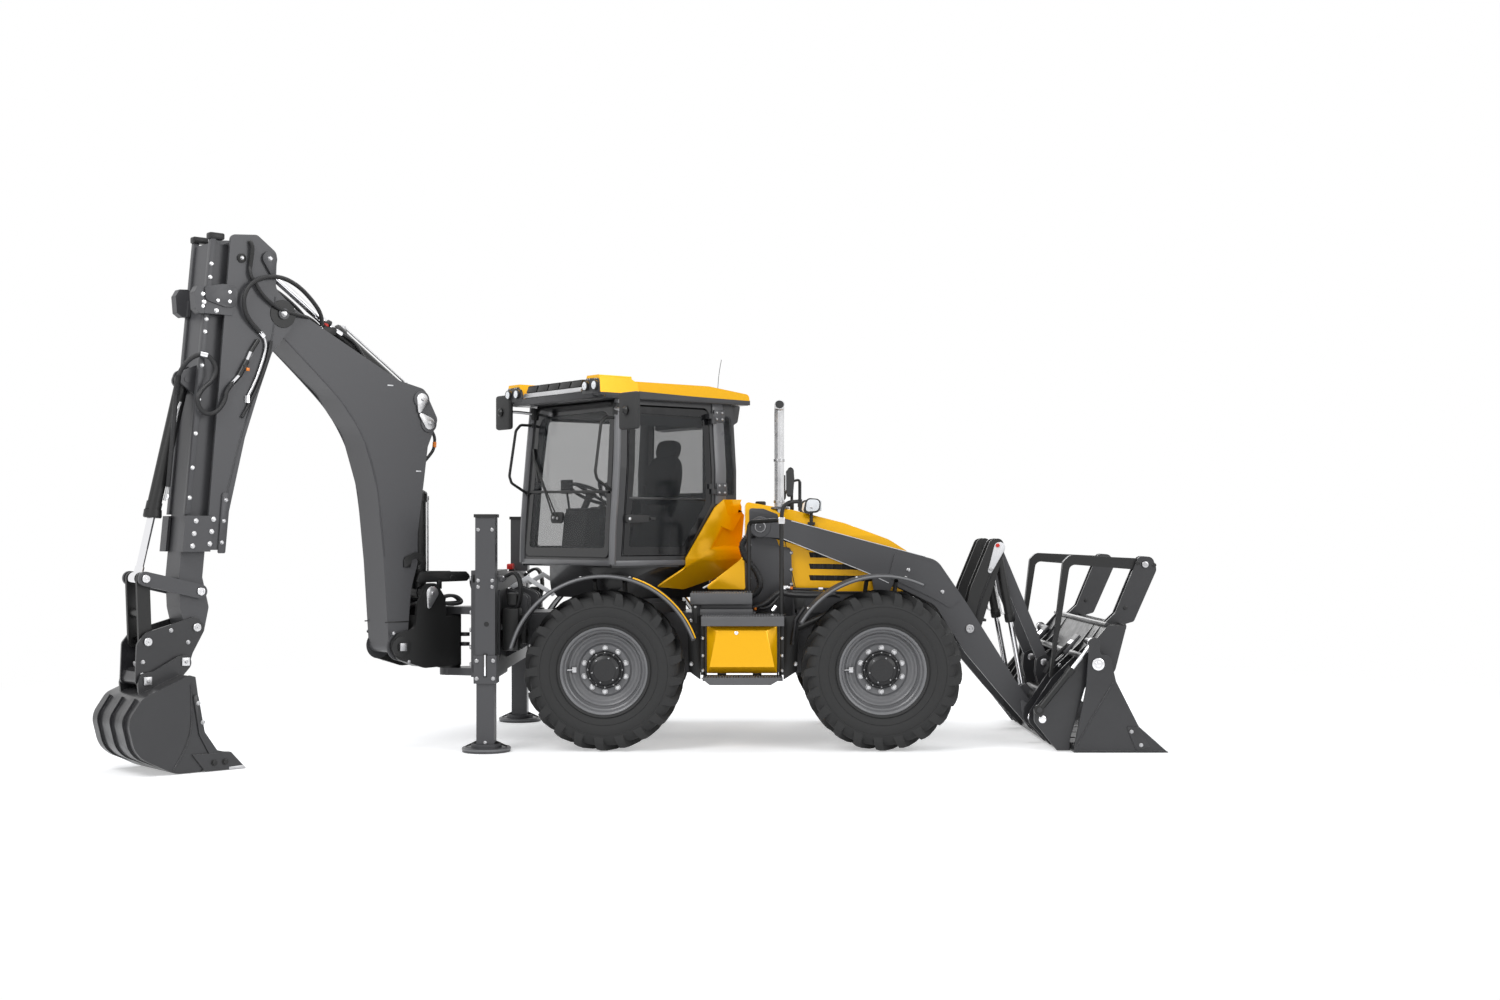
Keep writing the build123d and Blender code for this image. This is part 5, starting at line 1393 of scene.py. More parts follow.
        unit = [(0.602, 2.90), (0.755, 2.888, 0.01), (0.790, 2.80, 0.02), (0.765, 2.672, 0.03),
                (0.690, 2.628, 0.02), (0.602, 2.640)]
        bench.piece("air_unit", PILLAR_DARK, [Plate(unit, -0.50, 0.50, bevel=0.010)])
        bench.piece("air_unit_slots", BLACK, [Box((0.782, y - 0.03, 2.70), (0.789, y + 0.03, 2.80), 0.002)
                                              for y in [-0.40 + 0.10 * k for k in range(9)]])
        bench.piece("roof_panel", YELLOW, [
            Plate([(-0.50, -0.52, 0.06), (0.42, -0.46, 0.06), (0.42, 0.46, 0.06), (-0.50, 0.52, 0.06)],
                  2.938, 2.953, "z", 0.006)])
        bench.fasteners("roof_bolts", BLACK, [((x, 0.62, z), (0, 0, 1), 0.028) for x, z in ((-0.36, 2.944),
            (0.0, 2.944), (0.28, 2.944))],
                        True, disc_item)
        bench.piece("aerial", BLACK, [Rod((0.58, -0.46, 2.885), (0.58, -0.46, 2.945), 0.014), Pipe([
            (0.58, -0.46, 2.94), (0.585, -0.46, 3.02), (0.60, -0.46, 3.12), (0.62, -0.46, 3.205)], 0.0025)])
        bench.piece("beacon_socket", ZINC, [Rod((0.742, -0.42, 2.79), (0.80, -0.42, 2.79), 0.012)])

    def cowl(self) -> None:
        """Model the sculpted cowl on both sides of the cab's rear."""
        out = self.side
        points = {
            "a": (0.650, 2.005, 0.008), "b": (0.452, 2.004, 0.008), "c": (0.356, 1.935, 0.010),
                  "d": (0.098, 1.520, 0.014),
            "e": (0.050, 1.440, 0.008), "f": (-0.180, 1.290, -0.070), "g": (0.130, 1.262, -0.120),
                  "h": (0.450, 1.356, -0.080),
            "i": (0.650, 1.440, -0.020), "j": (0.658, 1.575, 0.016), "k": (0.658, 1.740, 0.014),
                  "l": (0.655, 1.905, 0.012),
            "p": (0.520, 1.890, 0.018), "q": (0.405, 1.760, 0.020), "r": (0.305, 1.590, 0.022),
                  "s": (0.190, 1.505, 0.022),
            "u": (0.648, 1.868, -0.004), "v": (0.545, 1.858, -0.006), "w": (0.440, 1.735, -0.010),
                  "x": (0.365, 1.612, -0.012),
            "y": (0.650, 1.608, -0.004), "z": (0.655, 1.500, 0.010)}
        faces = ["ablp", "bcqp", "cdrq", "dsr", "des", "lpvu", "pqwv", "qrxw", "rjyx", "uvwx", "uxy",
                 "rszj", "esf", "sgf", "szhg", "zih"]

        def shell(mesh: bmesh.types.BMesh) -> None:
            corners = {key: mesh.verts.new((x, out + y, z)) for key, (x, z, y) in points.items()}
            made = [mesh.faces.new([corners[key] for key in face]) for face in faces]
            bmesh.ops.recalc_face_normals(mesh, faces=made)
            inner = [edge for edge in mesh.edges if len(edge.link_faces) == 2]
            bmesh.ops.bevel(mesh, geom=inner, offset=0.010, segments=3, profile=0.5, affect="EDGES")
            bmesh.ops.solidify(mesh, geom=mesh.faces[:], thickness=0.014)

        self.bench.piece("cowl_skins", YELLOW, [], True, shell, 50, ["cab_cowl"])
        self.bench.piece("cowl_back", YELLOW, [
            Plate([(-0.70, 1.47, 0.03), (0.70, 1.47, 0.03), (0.70, 2.0, 0.05), (-0.70, 2.0, 0.05)], 0.602,
                  0.650, "x", 0.010)])
        self.bench.piece("cowl_slots", PILLAR_DARK, [
            Plate([(0.352, 1.612), (0.470, 1.636), (0.654, 1.646), (0.654, 1.616)], out - 0.014,
                  out + 0.002)], mirror=True)
        self.bench.piece("cowl_grille", BLACK, [Box((0.648, -0.45, 1.60 + 0.05 * k), (0.656, 0.45,
            1.622 + 0.05 * k), 0.003)
                                                for k in range(5)])

    def inside(self) -> None:
        """Furnish the cab: seat, consoles, levers, wheel hub, screen and headliner."""
        bench = self.bench
        bench.piece("headliner", PLASTIC, [Box((-0.47, -0.585, 2.715), (0.55, 0.585, 2.782), 0.02)])
        bench.piece("sun_blind", PILLAR_DARK, [Box((-0.42, -0.645, 2.60), (0.27, -0.630, 2.72), 0.004)])
        bench.piece("seat_base", PLASTIC, [
            Box((-0.20, -0.20, 1.522), (0.20, 0.20, 1.60), 0.012),
                Box((-0.16, -0.17, 1.60), (0.17, 0.17, 1.70), 0.03),
            Box((-0.22, -0.22, 1.70), (0.24, 0.22, 1.735), 0.012)], replaces=["cab_seat"])
        for name, pad in (
                ("seat_cushion", Pad((0.0, 0, 1.790), (0.262, 0.238, 0.068), 3.0, (-0.45, 0.45))),
                ("seat_back", Pad((0.318, 0, 2.100), (0.062, 0.228, 0.300), 12.0)),
                ("seat_headrest", Pad((0.395, 0, 2.440), (0.048, 0.140, 0.085), 12.0)),
                ("arm_pad_left", Pad((0.06, -0.275, 1.985), (0.150, 0.036, 0.026))),
                ("arm_pad_right", Pad((0.06, 0.275, 1.985), (0.150, 0.036, 0.026)))):
            piece = bench.piece(name, SEAT, [pad], smooth=60)
        bench.piece("seat_piping", PLASTIC, [
            Pipe([(0.262, 0.0, 1.80), (0.262, 0.23, 1.80), (0.0, 0.245, 1.79), (-0.262, 0.23, 1.775),
                  (-0.268, 0.0, 1.77),
                  (-0.262, -0.23, 1.775), (0.0, -0.245, 1.79), (0.262, -0.23, 1.80), (0.262, 0.0, 1.80)],
                 0.005),
            Rod((0.370, -0.05, 2.33), (0.385, -0.05, 2.40), 0.006),
                Rod((0.370, 0.05, 2.33), (0.385, 0.05, 2.40), 0.006),
            Box((0.13, -0.262, 1.80), (0.17, -0.240, 1.975), 0.006),
                Box((0.13, 0.240, 1.80), (0.17, 0.262, 1.975), 0.006)])
        bench.piece("consoles", PLASTIC, [
            Plate([(-0.34, 1.522), (0.30, 1.522), (0.34, 1.93, 0.05), (-0.10, 1.95, 0.05),
                   (-0.34, 1.80, 0.05)], 0.300, 0.470, bevel=0.010),
            Plate([(-0.24, 1.522), (0.10, 1.522), (0.16, 1.86, 0.05), (-0.16, 1.90, 0.05)], -0.400, -0.300,
                  bevel=0.010),
            Box((-0.56, -0.16, 1.88), (-0.44, 0.16, 1.93), 0.012)])
        sticks, grips = [], []
        for x, y, z in ((-0.08, -0.35, 1.89), (-0.06, 0.35, 1.94), (0.06, 0.42, 1.93)):
            sticks.append(Turned([(0, 0), (0, 0.038), (0.012, 0.036), (0.020, 0.024), (0.030, 0.026),
                                  (0.040, 0.014), (0.05, 0)],
                                 (x, y, z), (0, 0, 1)))
            sticks.append(Rod((x, y, z + 0.03), (x - 0.012, y, z + 0.12), 0.008))
            grips.append(Turned([(0, 0), (0.004, 0.015), (0.03, 0.019), (0.07, 0.017), (0.11, 0.022),
                                 (0.13, 0.018), (0.138, 0)],
                                (x - 0.011, y, z + 0.10), (-0.12, 0, 1)))
        bench.piece("lever_boots", PLASTIC, sticks)
        bench.piece("lever_grips", PLASTIC, grips)
        hub = Vector((-0.415, 0, 2.05))
        tilt = Vector((0.45, 0, 0.9)).normalized()
        bench.piece("wheel_hub", PLASTIC, [
            Turned([(0, 0), (0, 0.030), (0.03, 0.052), (0.044, 0.050), (0.052, 0.03), (0.054, 0)],
                   tuple(hub - tilt * 0.03), tuple(tilt)),
            Rod((-0.385, 0.145, 2.06), (-0.365, 0.155, 2.105), 0.018)])
        bench.piece("display", PLASTIC, [
            Box((-0.40, 0.33, 2.06), (-0.372, 0.49, 2.18), 0.008),
                Pipe([(-0.36, 0.40, 1.90), (-0.38, 0.40, 2.0), (-0.385, 0.41, 2.08)], 0.010)])
        bench.piece("display_glass", MIRROR_DARK, [Box((-0.373, 0.34, 2.07), (-0.370, 0.48, 2.17), 0.001)])
        bench.piece("pedals", PLASTIC, [
            Plate([(-0.58, 1.60), (-0.50, 1.545), (-0.49, 1.56), (-0.57, 1.615)], y - 0.035,
                  y + 0.035) for y in (-0.25, 0.22, 0.32)])
        bench.piece("floor_mat", RUBBER, [Box((-0.60, -0.62, 1.5205), (0.54, 0.62, 1.530), 0.003)])
        bench.piece("extinguisher", RED, [Turned([
            (0, 0), (0, 0.045), (0.01, 0.05), (0.26, 0.05), (0.30, 0.03), (0.32, 0.016), (0.34, 0.016),
                (0.34, 0)],
            (0.46, 0.50, 1.53), (0, 0, 1))])

    def build(self) -> None:
        """Make every piece of the cab."""
        for step in (self.glaze, self.trim, self.wiper, self.mirrors, self.roof, self.cowl, self.inside):
            step()
            LOG.info("cab: %s", step.__name__)


# Backhoe

@dataclass
class Backhoe:
    """Hoses, tubes, pins, plates and bucket edges of the backhoe; local x points toward the machine."""

    shop: Shop
    boom_side: float = 0.155
    cheek: float = 0.187
    beam_slope: float = 0.0976

    def __post_init__(self) -> None:
        """Set one bench for each body that is dressed."""
        names = ("carriage", "kingpost", "boom", "dipper", "dipper_beam", "bucket_rocker", "bucket_tie",
                 "hoe_tool",
                 "boom_ram_barrel", "boom_ram_rod", "dipper_ram_barrel", "dipper_ram_rod",
                 "bucket_ram_barrel", "bucket_ram_rod")
        self.on = {name: Bench(self.shop, self.shop.hoe, name) for name in names}

    def beam_x(self, z: float) -> float:
        """Centre line of the sliding beam at a height."""
        return -(2.3 - (z - 1.3) * self.beam_slope)

    def drop(self, centre: Pair, tail: Pair, radius: float, tip: float, side: float,
             thick: float = 0.010) -> Plate:
        """Teardrop plate that keeps a pin, standing on a side at y = -side."""
        return Plate(teardrop(centre, tail, radius, tip), side, side + thick, bevel=0.003)

    def pins(self) -> None:
        """Put plates and bolts over the pin ends."""
        side, cheek = self.boom_side, self.cheek
        boom, dipper, king, tool = (self.on[name] for name in ("boom", "dipper", "kingpost", "hoe_tool"))
        boom.piece("boom_pin_plates", ZINC, [
            self.drop((-0.362, 2.795), (-0.385, 2.700), 0.050, 0.016, side + 0.012),
            self.drop((-0.294, 2.604), (-0.372, 2.670), 0.048, 0.016, side + 0.012)], mirror=True)
        boom.piece("boom_pin_bosses", ANTHRACITE, [
            Turned([(0, 0), (0, 0.072), (0.012, 0.070), (0.014, 0.055), (0.014, 0)], (x, side - 0.001, z),
                   (0, 1, 0))
            for x, z in ((-0.362, 2.795), (-0.294, 2.604))] + [
            Turned([(0, 0), (0, 0.11), (0.007, 0.108), (0.009, 0.07), (0.009, 0)],
                   (-0.57, side - 0.001, 0.82), (0, 1, 0), 40),
            Turned([(0, 0), (0, 0.12), (0.006, 0.118), (0.008, 0.08), (0.008, 0)],
                   (-1.592, side - 0.001, 3.376), (0, 1, 0), 40)],
            mirror=True)
        boom.fasteners("boom_pin_bolts", STEEL, [
            ((-0.362, side + 0.022, 2.797), (0, 1, 0), 0.026),
                ((-0.294, side + 0.022, 2.606), (0, 1, 0), 0.026)], True)
        boom.piece("boom_marks", WHITE, [
            Box((-0.672, side - 0.0005, 2.888), (-0.618, side + 0.0015, 2.898), 0.0005),
            Box((-0.410, side - 0.0005, 2.214), (-0.362, side + 0.0015, 2.224), 0.0005)], mirror=True)
        dipper.piece("dipper_pin_plates", ANTHRACITE, [
            self.drop((-1.707, 3.778), (-1.685, 3.672), 0.058, 0.018, cheek + 0.014)], mirror=True)
        dipper.piece("dipper_discs", BLACK, [
            Turned([(0, 0), (0, 0.034), (0.010, 0.034), (0.014, 0.028), (0.014, 0)], (-1.928, cheek, 3.762),
                   (0, 1, 0)),
            Turned([(0, 0.0), (0, 0.105), (0.006, 0.103), (0.008, 0.06), (0.008, 0)],
                   (-1.592, cheek, 3.376), (0, 1, 0), 40)],
            mirror=True)
        dipper.fasteners("dipper_bolts", STEEL, [
            ((-1.707, cheek + 0.024, 3.778), (0, 1, 0), 0.030),
                ((-1.928, cheek + 0.014, 3.762), (0, 1, 0), 0.024),
            ((-1.592, cheek + 0.022, 3.376), (0, 1, 0), 0.040)], True)
        king.piece("kingpost_plates", ZINC, [
            self.drop((-0.29, 1.24), (-0.32, 1.135), 0.055, 0.018, 0.202)], mirror=True)
        king.piece("foot_nuts", STEEL, [Box((-0.602, 0.217, 0.788), (-0.538, 0.236, 0.852), 0.006)],
                   mirror=True)
        king.piece("foot_bosses", BLACK, [
            Turned([(0, 0), (0, 0.085), (0.010, 0.083), (0.013, 0.055), (0.013, 0)], (-0.57, 0.195, 0.82),
                   (0, 1, 0), 40)], mirror=True)
        king.fasteners("kingpost_bolts", STEEL, [
            ((-0.29, 0.212, 1.242), (0, 1, 0), 0.024), ((-0.50, 0.196, 0.70), (0, 1, 0), 0.022),
                ((-0.64, 0.196, 0.93), (0, 1, 0), 0.022)],
            True)
        tool.fasteners("coupler_pins", ZINC, [((x, 0.146, z), (0, 1, 0), 0.060) for x, z in ((-2.256,
            1.035), (-2.626, 0.944))],
                       True, cap_item)
        tool.piece("ear_squares", ZINC, [
            Box((x - 0.030, 0.172, z - 0.030), (x + 0.030, 0.184, z + 0.030),
                0.004) for x, z in ((-2.355, 0.791), (-2.640, 0.666))],
            mirror=True)
        tool.fasteners("ear_bolts", STEEL, [((x, 0.184, z), (0, 1, 0), 0.022) for x, z in ((-2.355, 0.791),
            (-2.640, 0.666))], True)
        for body, places, y, size in (("bucket_rocker", ((-2.227, 1.297), (-2.642, 1.396)), 0.150, 0.058),):
            self.on[body].fasteners(body + "_pins", CHROME,
                                    [((x, y, z), (0, 1, 0), size) for x, z in places], True, cap_item)

    def boom_trim(self) -> None:
        """Boom's seams, hook, tip plate and the hydraulic lines in its back."""
        side, boom = self.boom_side, self.on["boom"]
        hook = [(-0.529, 1.449), (-0.530, 1.500), (-0.517, 1.535, 0.03), (-0.411, 1.575, 0.05),
                (-0.330, 1.530, 0.05),
                (-0.318, 1.450, 0.04), (-0.370, 1.420, 0.03), (-0.400, 1.448, 0.01), (-0.370, 1.470, 0.02),
                (-0.372, 1.500, 0.02),
                (-0.411, 1.525, 0.02), (-0.455, 1.505, 0.02), (-0.470, 1.449)]
        boom.piece("boom_hook", BLACK, [Plate(hook, side - 0.001, side + 0.014, bevel=0.004)], mirror=True)
        boom.piece("boom_tip_plate", ZINC, [
            Box((-1.672, side - 0.001, 3.395), (-1.60, side + 0.006, 3.430), 0.002)], mirror=True)
        weld = [(-0.690, 1.55), (-0.735, 2.02), (-0.820, 2.36), (-0.960, 2.62), (-1.140, 2.83),
                (-1.62, 3.255)]
        boom.piece("boom_weld", ANTHRACITE, [Pipe([(x - 0.012, side, z - 0.002) for x, z in weld], 0.006)],
                   mirror=True)
        boom.piece("boom_foot_seam", BLACK, [Box((-0.695, side - 0.001, 1.012), (-0.475, side + 0.004,
            1.022), 0.001)], mirror=True)
        lock = [(-0.390, 1.323, 0.02), (0.090, 1.330, 0.02), (0.132, 1.365, 0.02), (0.083, 1.409, 0.02),
                (-0.36, 1.415, 0.02)]
        self.on["kingpost"].piece("boom_lock", BLACK, [
            Plate(lock, 0.110, 0.128, bevel=0.004), Box((-0.19, 0.108, 1.27), (-0.15, 0.130, 1.34)),
                Rod((-0.053, 0.10, 1.357), (
                -0.053, 0.142, 1.357), 0.024)], mirror=True)
        lines, clamps, unions = [], [], []
        for y in (-0.100, -0.062, 0.062, 0.100):
            lines.append(Pipe([(-1.42, y, 3.352), (-1.25, y, 3.262), (-0.92, y, 3.088), (-0.78, y, 3.02)],
                              0.011))
            unions.append(Rod((-1.47, y, 3.378), (-1.42, y, 3.352), 0.018, 6))
        for x, z in ((-1.33, 3.305), (-1.02, 3.142)):
            clamps.append(Box((x - 0.03, -0.125, z - 0.008), (x + 0.03, 0.125, z + 0.012), 0.004))
        boom.piece("boom_tubes", ZINC, lines)
        boom.piece("boom_unions", CHROME, unions)
        boom.piece("boom_clamps", BLACK, clamps)
        boom.piece("boom_valves", BLACK, [
            Box((-1.20, -0.09, 3.26), (-1.08, -0.03, 3.325), 0.010),
                Box((-1.24, 0.02, 3.28), (-1.12, 0.09, 3.335), 0.010),
            Rod((-1.175, -0.06, 3.31), (-1.150, -0.06, 3.36), 0.022),
                Rod((-1.150, -0.06, 3.36), (-1.120, -0.06, 3.348), 0.024)])
        boom.piece("boom_valve_ends", CHROME, [
            Rod((-1.08, y, z), (-1.03, y, z - 0.026), 0.017, 6) for y, z in ((-0.075, 3.300),
                (-0.045, 3.310), (0.04, 3.31), (0.075, 3.32))] + [
            Rod((-1.20, y, 3.30), (-1.26, y, 3.325), 0.016, 6) for y in (-0.075, -0.045, 0.04, 0.075)])
        boom.piece("boom_red_mark", RED, [Rod((-1.166, -0.06, 3.328), (-1.157, -0.06, 3.346), 0.0235)])
        boom.piece("boom_back_hoses", HOSE, [
            Pipe([(-1.04, y, z), (-0.96, y * 1.05, z - 0.03), (-0.88, y, 3.175 - 0.04 * k),
                  (-0.80, y * 0.9, 3.06 - 0.03 * k),
                  (-0.70, y * 0.8, 2.93), (-0.60, y * 0.8, 2.80)], 0.014)
            for k, (y, z) in enumerate(((-0.075, 3.279), (-0.045, 3.289), (0.04, 3.289), (0.075, 3.299)))])
        boom.piece("hump_hose", HOSE, [
            Pipe([(-0.235, -0.100, 2.56), (-0.199, -0.100, 2.514), (-0.203, -0.100, 2.435),
                  (-0.222, -0.100, 2.376), (-0.30, -0.100, 2.30)],
                 0.013)])
        boom.piece("hump_hose_tag", AMBER, [Rod((-0.2015, -0.100, 2.462), (-0.204, -0.100, 2.418), 0.016)])

    def dipper_trim(self) -> None:
        """Dipper's bracket, strap, rail, sleeve bolts and valve block."""
        cheek, dipper = self.cheek, self.on["dipper"]
        edge = lambda z: self.beam_x(z) - 0.118
        dipper.piece("dipper_strap", ANTHRACITE, [
            Plate([(-2.223, 3.523, 0.02), (-2.082, 3.554, 0.03), (-1.987, 3.554, 0.03),
                   (-1.967, 3.502, 0.03), (-1.977, 3.394, 0.03),
                   (-2.063, 3.387, 0.02), (-2.214, 3.427, 0.02)], cheek + 0.008, cheek + 0.020, bevel=0.004),
            Plate([(-2.300, 3.478, 0.01), (-2.270, 3.530, 0.01), (-2.195, 3.535, 0.01),
                   (-2.195, 3.335, 0.01), (-2.247, 3.325, 0.01),
                   (-2.290, 3.355, 0.01)], 0.116, cheek + 0.006, bevel=0.004)], mirror=True)
        dipper.fasteners("strap_bolts", CHROME, [
            ((-2.232, cheek + 0.006, 3.469), (0, 1, 0), 0.026),
                ((-2.232, cheek + 0.006, 3.380), (0, 1, 0), 0.022),
            ((-2.03, cheek + 0.020, 3.50), (0, 1, 0), 0.022),
                ((-2.03, cheek + 0.020, 3.43), (0, 1, 0), 0.022)], True)
        dipper.piece("dipper_rail", ANTHRACITE, [
            Plate([(edge(3.90) + 0.012, 3.90), (edge(1.86) + 0.012, 1.86), (edge(1.86) + 0.052, 1.86),
                   (edge(3.90) + 0.052, 3.90)],
                  0.118, 0.164)], mirror=True)
        dipper.piece("dipper_rail_caps", BLACK, [
            Box((edge(3.92) - 0.004, 0.100, 3.885), (edge(3.92) + 0.115, 0.170, 3.935), 0.012)], mirror=True)
        dipper.fasteners("rail_bolts", ZINC, [
            ((edge(z) + 0.032, 0.164, z), (0, 1, 0), 0.026) for z in (3.291, 3.198, 3.70, 3.60, 2.95, 2.70,
                2.45, 2.20, 1.98)], True)
        dipper.piece("rail_green", GREEN, [
            Plate([(edge(3.40) + 0.056, 3.40), (edge(3.17) + 0.056, 3.17), (edge(3.17) + 0.064, 3.17),
                   (edge(3.40) + 0.064, 3.40)],
                  0.166, 0.170)])
        dipper.fasteners("sleeve_bolts", ZINC, [
            ((x, cheek + 0.008, z), (0, 1, 0), 0.030) for x, z in (
                (-2.285, 1.812), (-2.300, 1.720), (-2.312, 1.630), (-2.150, 1.825), (-2.165, 1.735),
                    (-2.180, 1.645),
                (-2.120, 3.430), (-2.128, 3.355), (-2.225, 3.41))], True)
        dipper.piece("flange_strips", ANTHRACITE, [
            Plate([(-2.118, 1.575, 0.01), (-2.062, 1.575, 0.01), (-2.020, 2.015, 0.02),
                   (-2.082, 2.025, 0.02)], cheek, cheek + 0.014)],
            mirror=True)
        dipper.fasteners("flange_bolts", STEEL, [
            ((x, cheek + 0.014, z), (0, 1, 0), 0.024) for x, z in ((-2.055, 1.966), (-2.072, 1.812),
                (-2.088, 1.655))], True)
        weld = [(-1.655, 3.50), (-1.66, 3.24), (-1.74, 3.02), (-1.84, 2.70), (-1.965, 2.35), (-2.055, 1.96)]
        dipper.piece("dipper_weld", ANTHRACITE, [Pipe([(x, cheek, z) for x, z in weld], 0.006)], mirror=True)
        self.on["bucket_ram_barrel"].piece("bucket_gland", BLACK, [
            Turned([(0, 0), (0, 0.062), (0.050, 0.066), (0.060, 0.060), (0.060, 0)], (-2.525, 0, 1.895),
                   (-0.090, 0, -1.0))])
        self.on["bucket_ram_barrel"].piece("bucket_ram_tube", ZINC, [
            Pipe([(-2.335, -0.045, 2.68), (-2.375, -0.062, 2.62), (-2.415, -0.066, 2.28),
                  (-2.448, -0.066, 2.02), (-2.462, -0.050, 1.96)],
                 0.010)])
        self.on["bucket_ram_barrel"].fasteners("bucket_ram_clamps", CHROME, [
            ((-2.372, -0.054, 2.60), (0, -1, 0), 0.040), ((-2.442, -0.056, 1.99), (0, -1, 0), 0.040)],
                item=disc_item)

    def hoses(self) -> None:
        """Lay every hose of the dipper and boom tip."""
        dipper = self.on["dipper"]
        side = -0.215
        loop_a = [(-1.999, -0.205, 2.837), (-2.059, -0.212, 2.779), (-2.070, side, 2.690),
                  (-2.148, -0.220, 2.597),
                  (-2.242, -0.220, 2.592), (-2.295, side, 2.678), (-2.256, -0.215, 2.769),
                  (-2.165, -0.220, 2.844),
                  (-2.139, -0.225, 2.934), (-2.195, -0.215, 3.021), (-2.270, -0.180, 3.028),
                  (-2.344, -0.140, 2.964),
                  (-2.391, -0.110, 2.856), (-2.400, -0.105, 2.732), (-2.405, -0.100, 2.591),
                  (-2.425, -0.090, 2.327),
                  (-2.448, -0.082, 2.060)]
        dipper.piece("dipper_hose", HOSE, [Pipe(loop_a, 0.017)])
        dipper.piece("dipper_hose_sleeve", HOSE, [
            Turned([(0.004 * k, 0.0195 if k % 2 else 0.0225) for k in range(36)], (-2.384, -0.112, 2.87),
                   (-0.07, 0.035, -1))])
        dipper.piece("dipper_fittings", CHROME, [
            Rod((-1.955, -0.205, 2.885), (-2.010, -0.205, 2.825), 0.018, 6),
                Rod((-1.890, -0.205, 3.005), (-1.862, -0.205, 3.070), 0.018, 6),
            Rod((-1.885, -0.195, 2.745), (-1.885, -0.195, 2.690), 0.020, 6),
                Rod((-2.205, side, 3.020), (-2.255, -0.200, 3.030), 0.021, 12)])
        dipper.piece("dipper_fitting_blocks", BLACK, [
            Rod((-1.955, -0.205, 2.885), (-1.890, -0.205, 3.005), 0.020, 12),
                Box((-1.93, -0.225, 2.93), (-1.89, -0.187, 2.97), 0.005),
            Rod((-1.862, -0.205, 3.070), (-1.80, -0.205, 3.165), 0.016, 12)])
        dipper.piece("dipper_tag", AMBER, [Box((-1.908, -0.229, 2.925), (-1.882, -0.224, 2.948), 0.001)])
        dipper.piece("dipper_tubes", ZINC, [
            Pipe([(-1.780, -0.205, 3.222), (-1.735, -0.205, 3.162), (-1.750, -0.205, 3.051),
                  (-1.832, -0.205, 2.829), (-1.885, -0.200, 2.735)],
                 0.010)])
        dipper.piece("dipper_side_hoses", HOSE, [
            Pipe([(-1.695, -0.205, 3.164), (-1.724, -0.207, 3.016), (-1.800, -0.207, 2.820),
                  (-1.860, -0.20, 2.700), (-1.930, -0.198, 2.58)],
                 0.012)])
        dipper.piece("dipper_elbow", BLACK, [
            Pipe([(-1.866, -0.200, 3.892), (-1.850, -0.215, 3.862), (-1.856, -0.212, 3.79),
                  (-1.867, -0.206, 3.700)], 0.015)])
        arcs = [
            [(-1.776, -0.205, 3.212), (-1.856, -0.212, 3.277), (-1.919, -0.222, 3.361),
             (-1.934, -0.232, 3.467), (-1.888, -0.238, 3.569),
             (-1.769, -0.232, 3.635), (-1.615, -0.205, 3.654), (-1.453, -0.160, 3.609),
             (-1.315, -0.125, 3.514), (-1.206, -0.090, 3.403),
             (-1.205, -0.078, 3.325)],
            [(-1.867, -0.206, 3.705), (-1.876, -0.212, 3.654), (-1.839, -0.215, 3.594),
             (-1.761, -0.215, 3.484), (-1.615, -0.206, 3.398),
             (-1.469, -0.190, 3.380), (-1.330, -0.140, 3.370), (-1.215, -0.048, 3.325)],
            [(-1.80, 0.200, 3.60), (-1.76, 0.215, 3.66), (-1.66, 0.212, 3.69), (-1.48, 0.18, 3.62),
             (-1.34, 0.12, 3.50), (-1.25, 0.080, 3.39),
             (-1.22, 0.075, 3.325)],
            [(-1.84, 0.200, 3.45), (-1.80, 0.220, 3.56), (-1.70, 0.222, 3.60), (-1.52, 0.19, 3.53),
             (-1.38, 0.12, 3.44), (-1.27, 0.06, 3.38),
             (-1.22, 0.042, 3.325)]]
        for number, (route, radius) in enumerate(zip(arcs, (0.017, 0.014, 0.015, 0.015))):
            self.blend(Bench(self.shop, self.shop.hoe, "").piece(f"crossing_hose_{number}", HOSE,
                [Pipe(route, radius)]))
        dipper.piece("crossing_roots", CHROME, [
            Rod((-1.80, 0.189, 3.545), (-1.80, 0.200, 3.610), 0.019, 6),
                Rod((-1.84, 0.189, 3.395), (-1.84, 0.200, 3.460), 0.019, 6),
            Rod((-1.755, -0.204, 3.187), (-1.790, -0.206, 3.225), 0.018, 6)])

    def blend(self, piece: bpy.types.Object) -> None:
        """Bake the hose's placement into its mesh, which rides on no body."""
        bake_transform(piece)

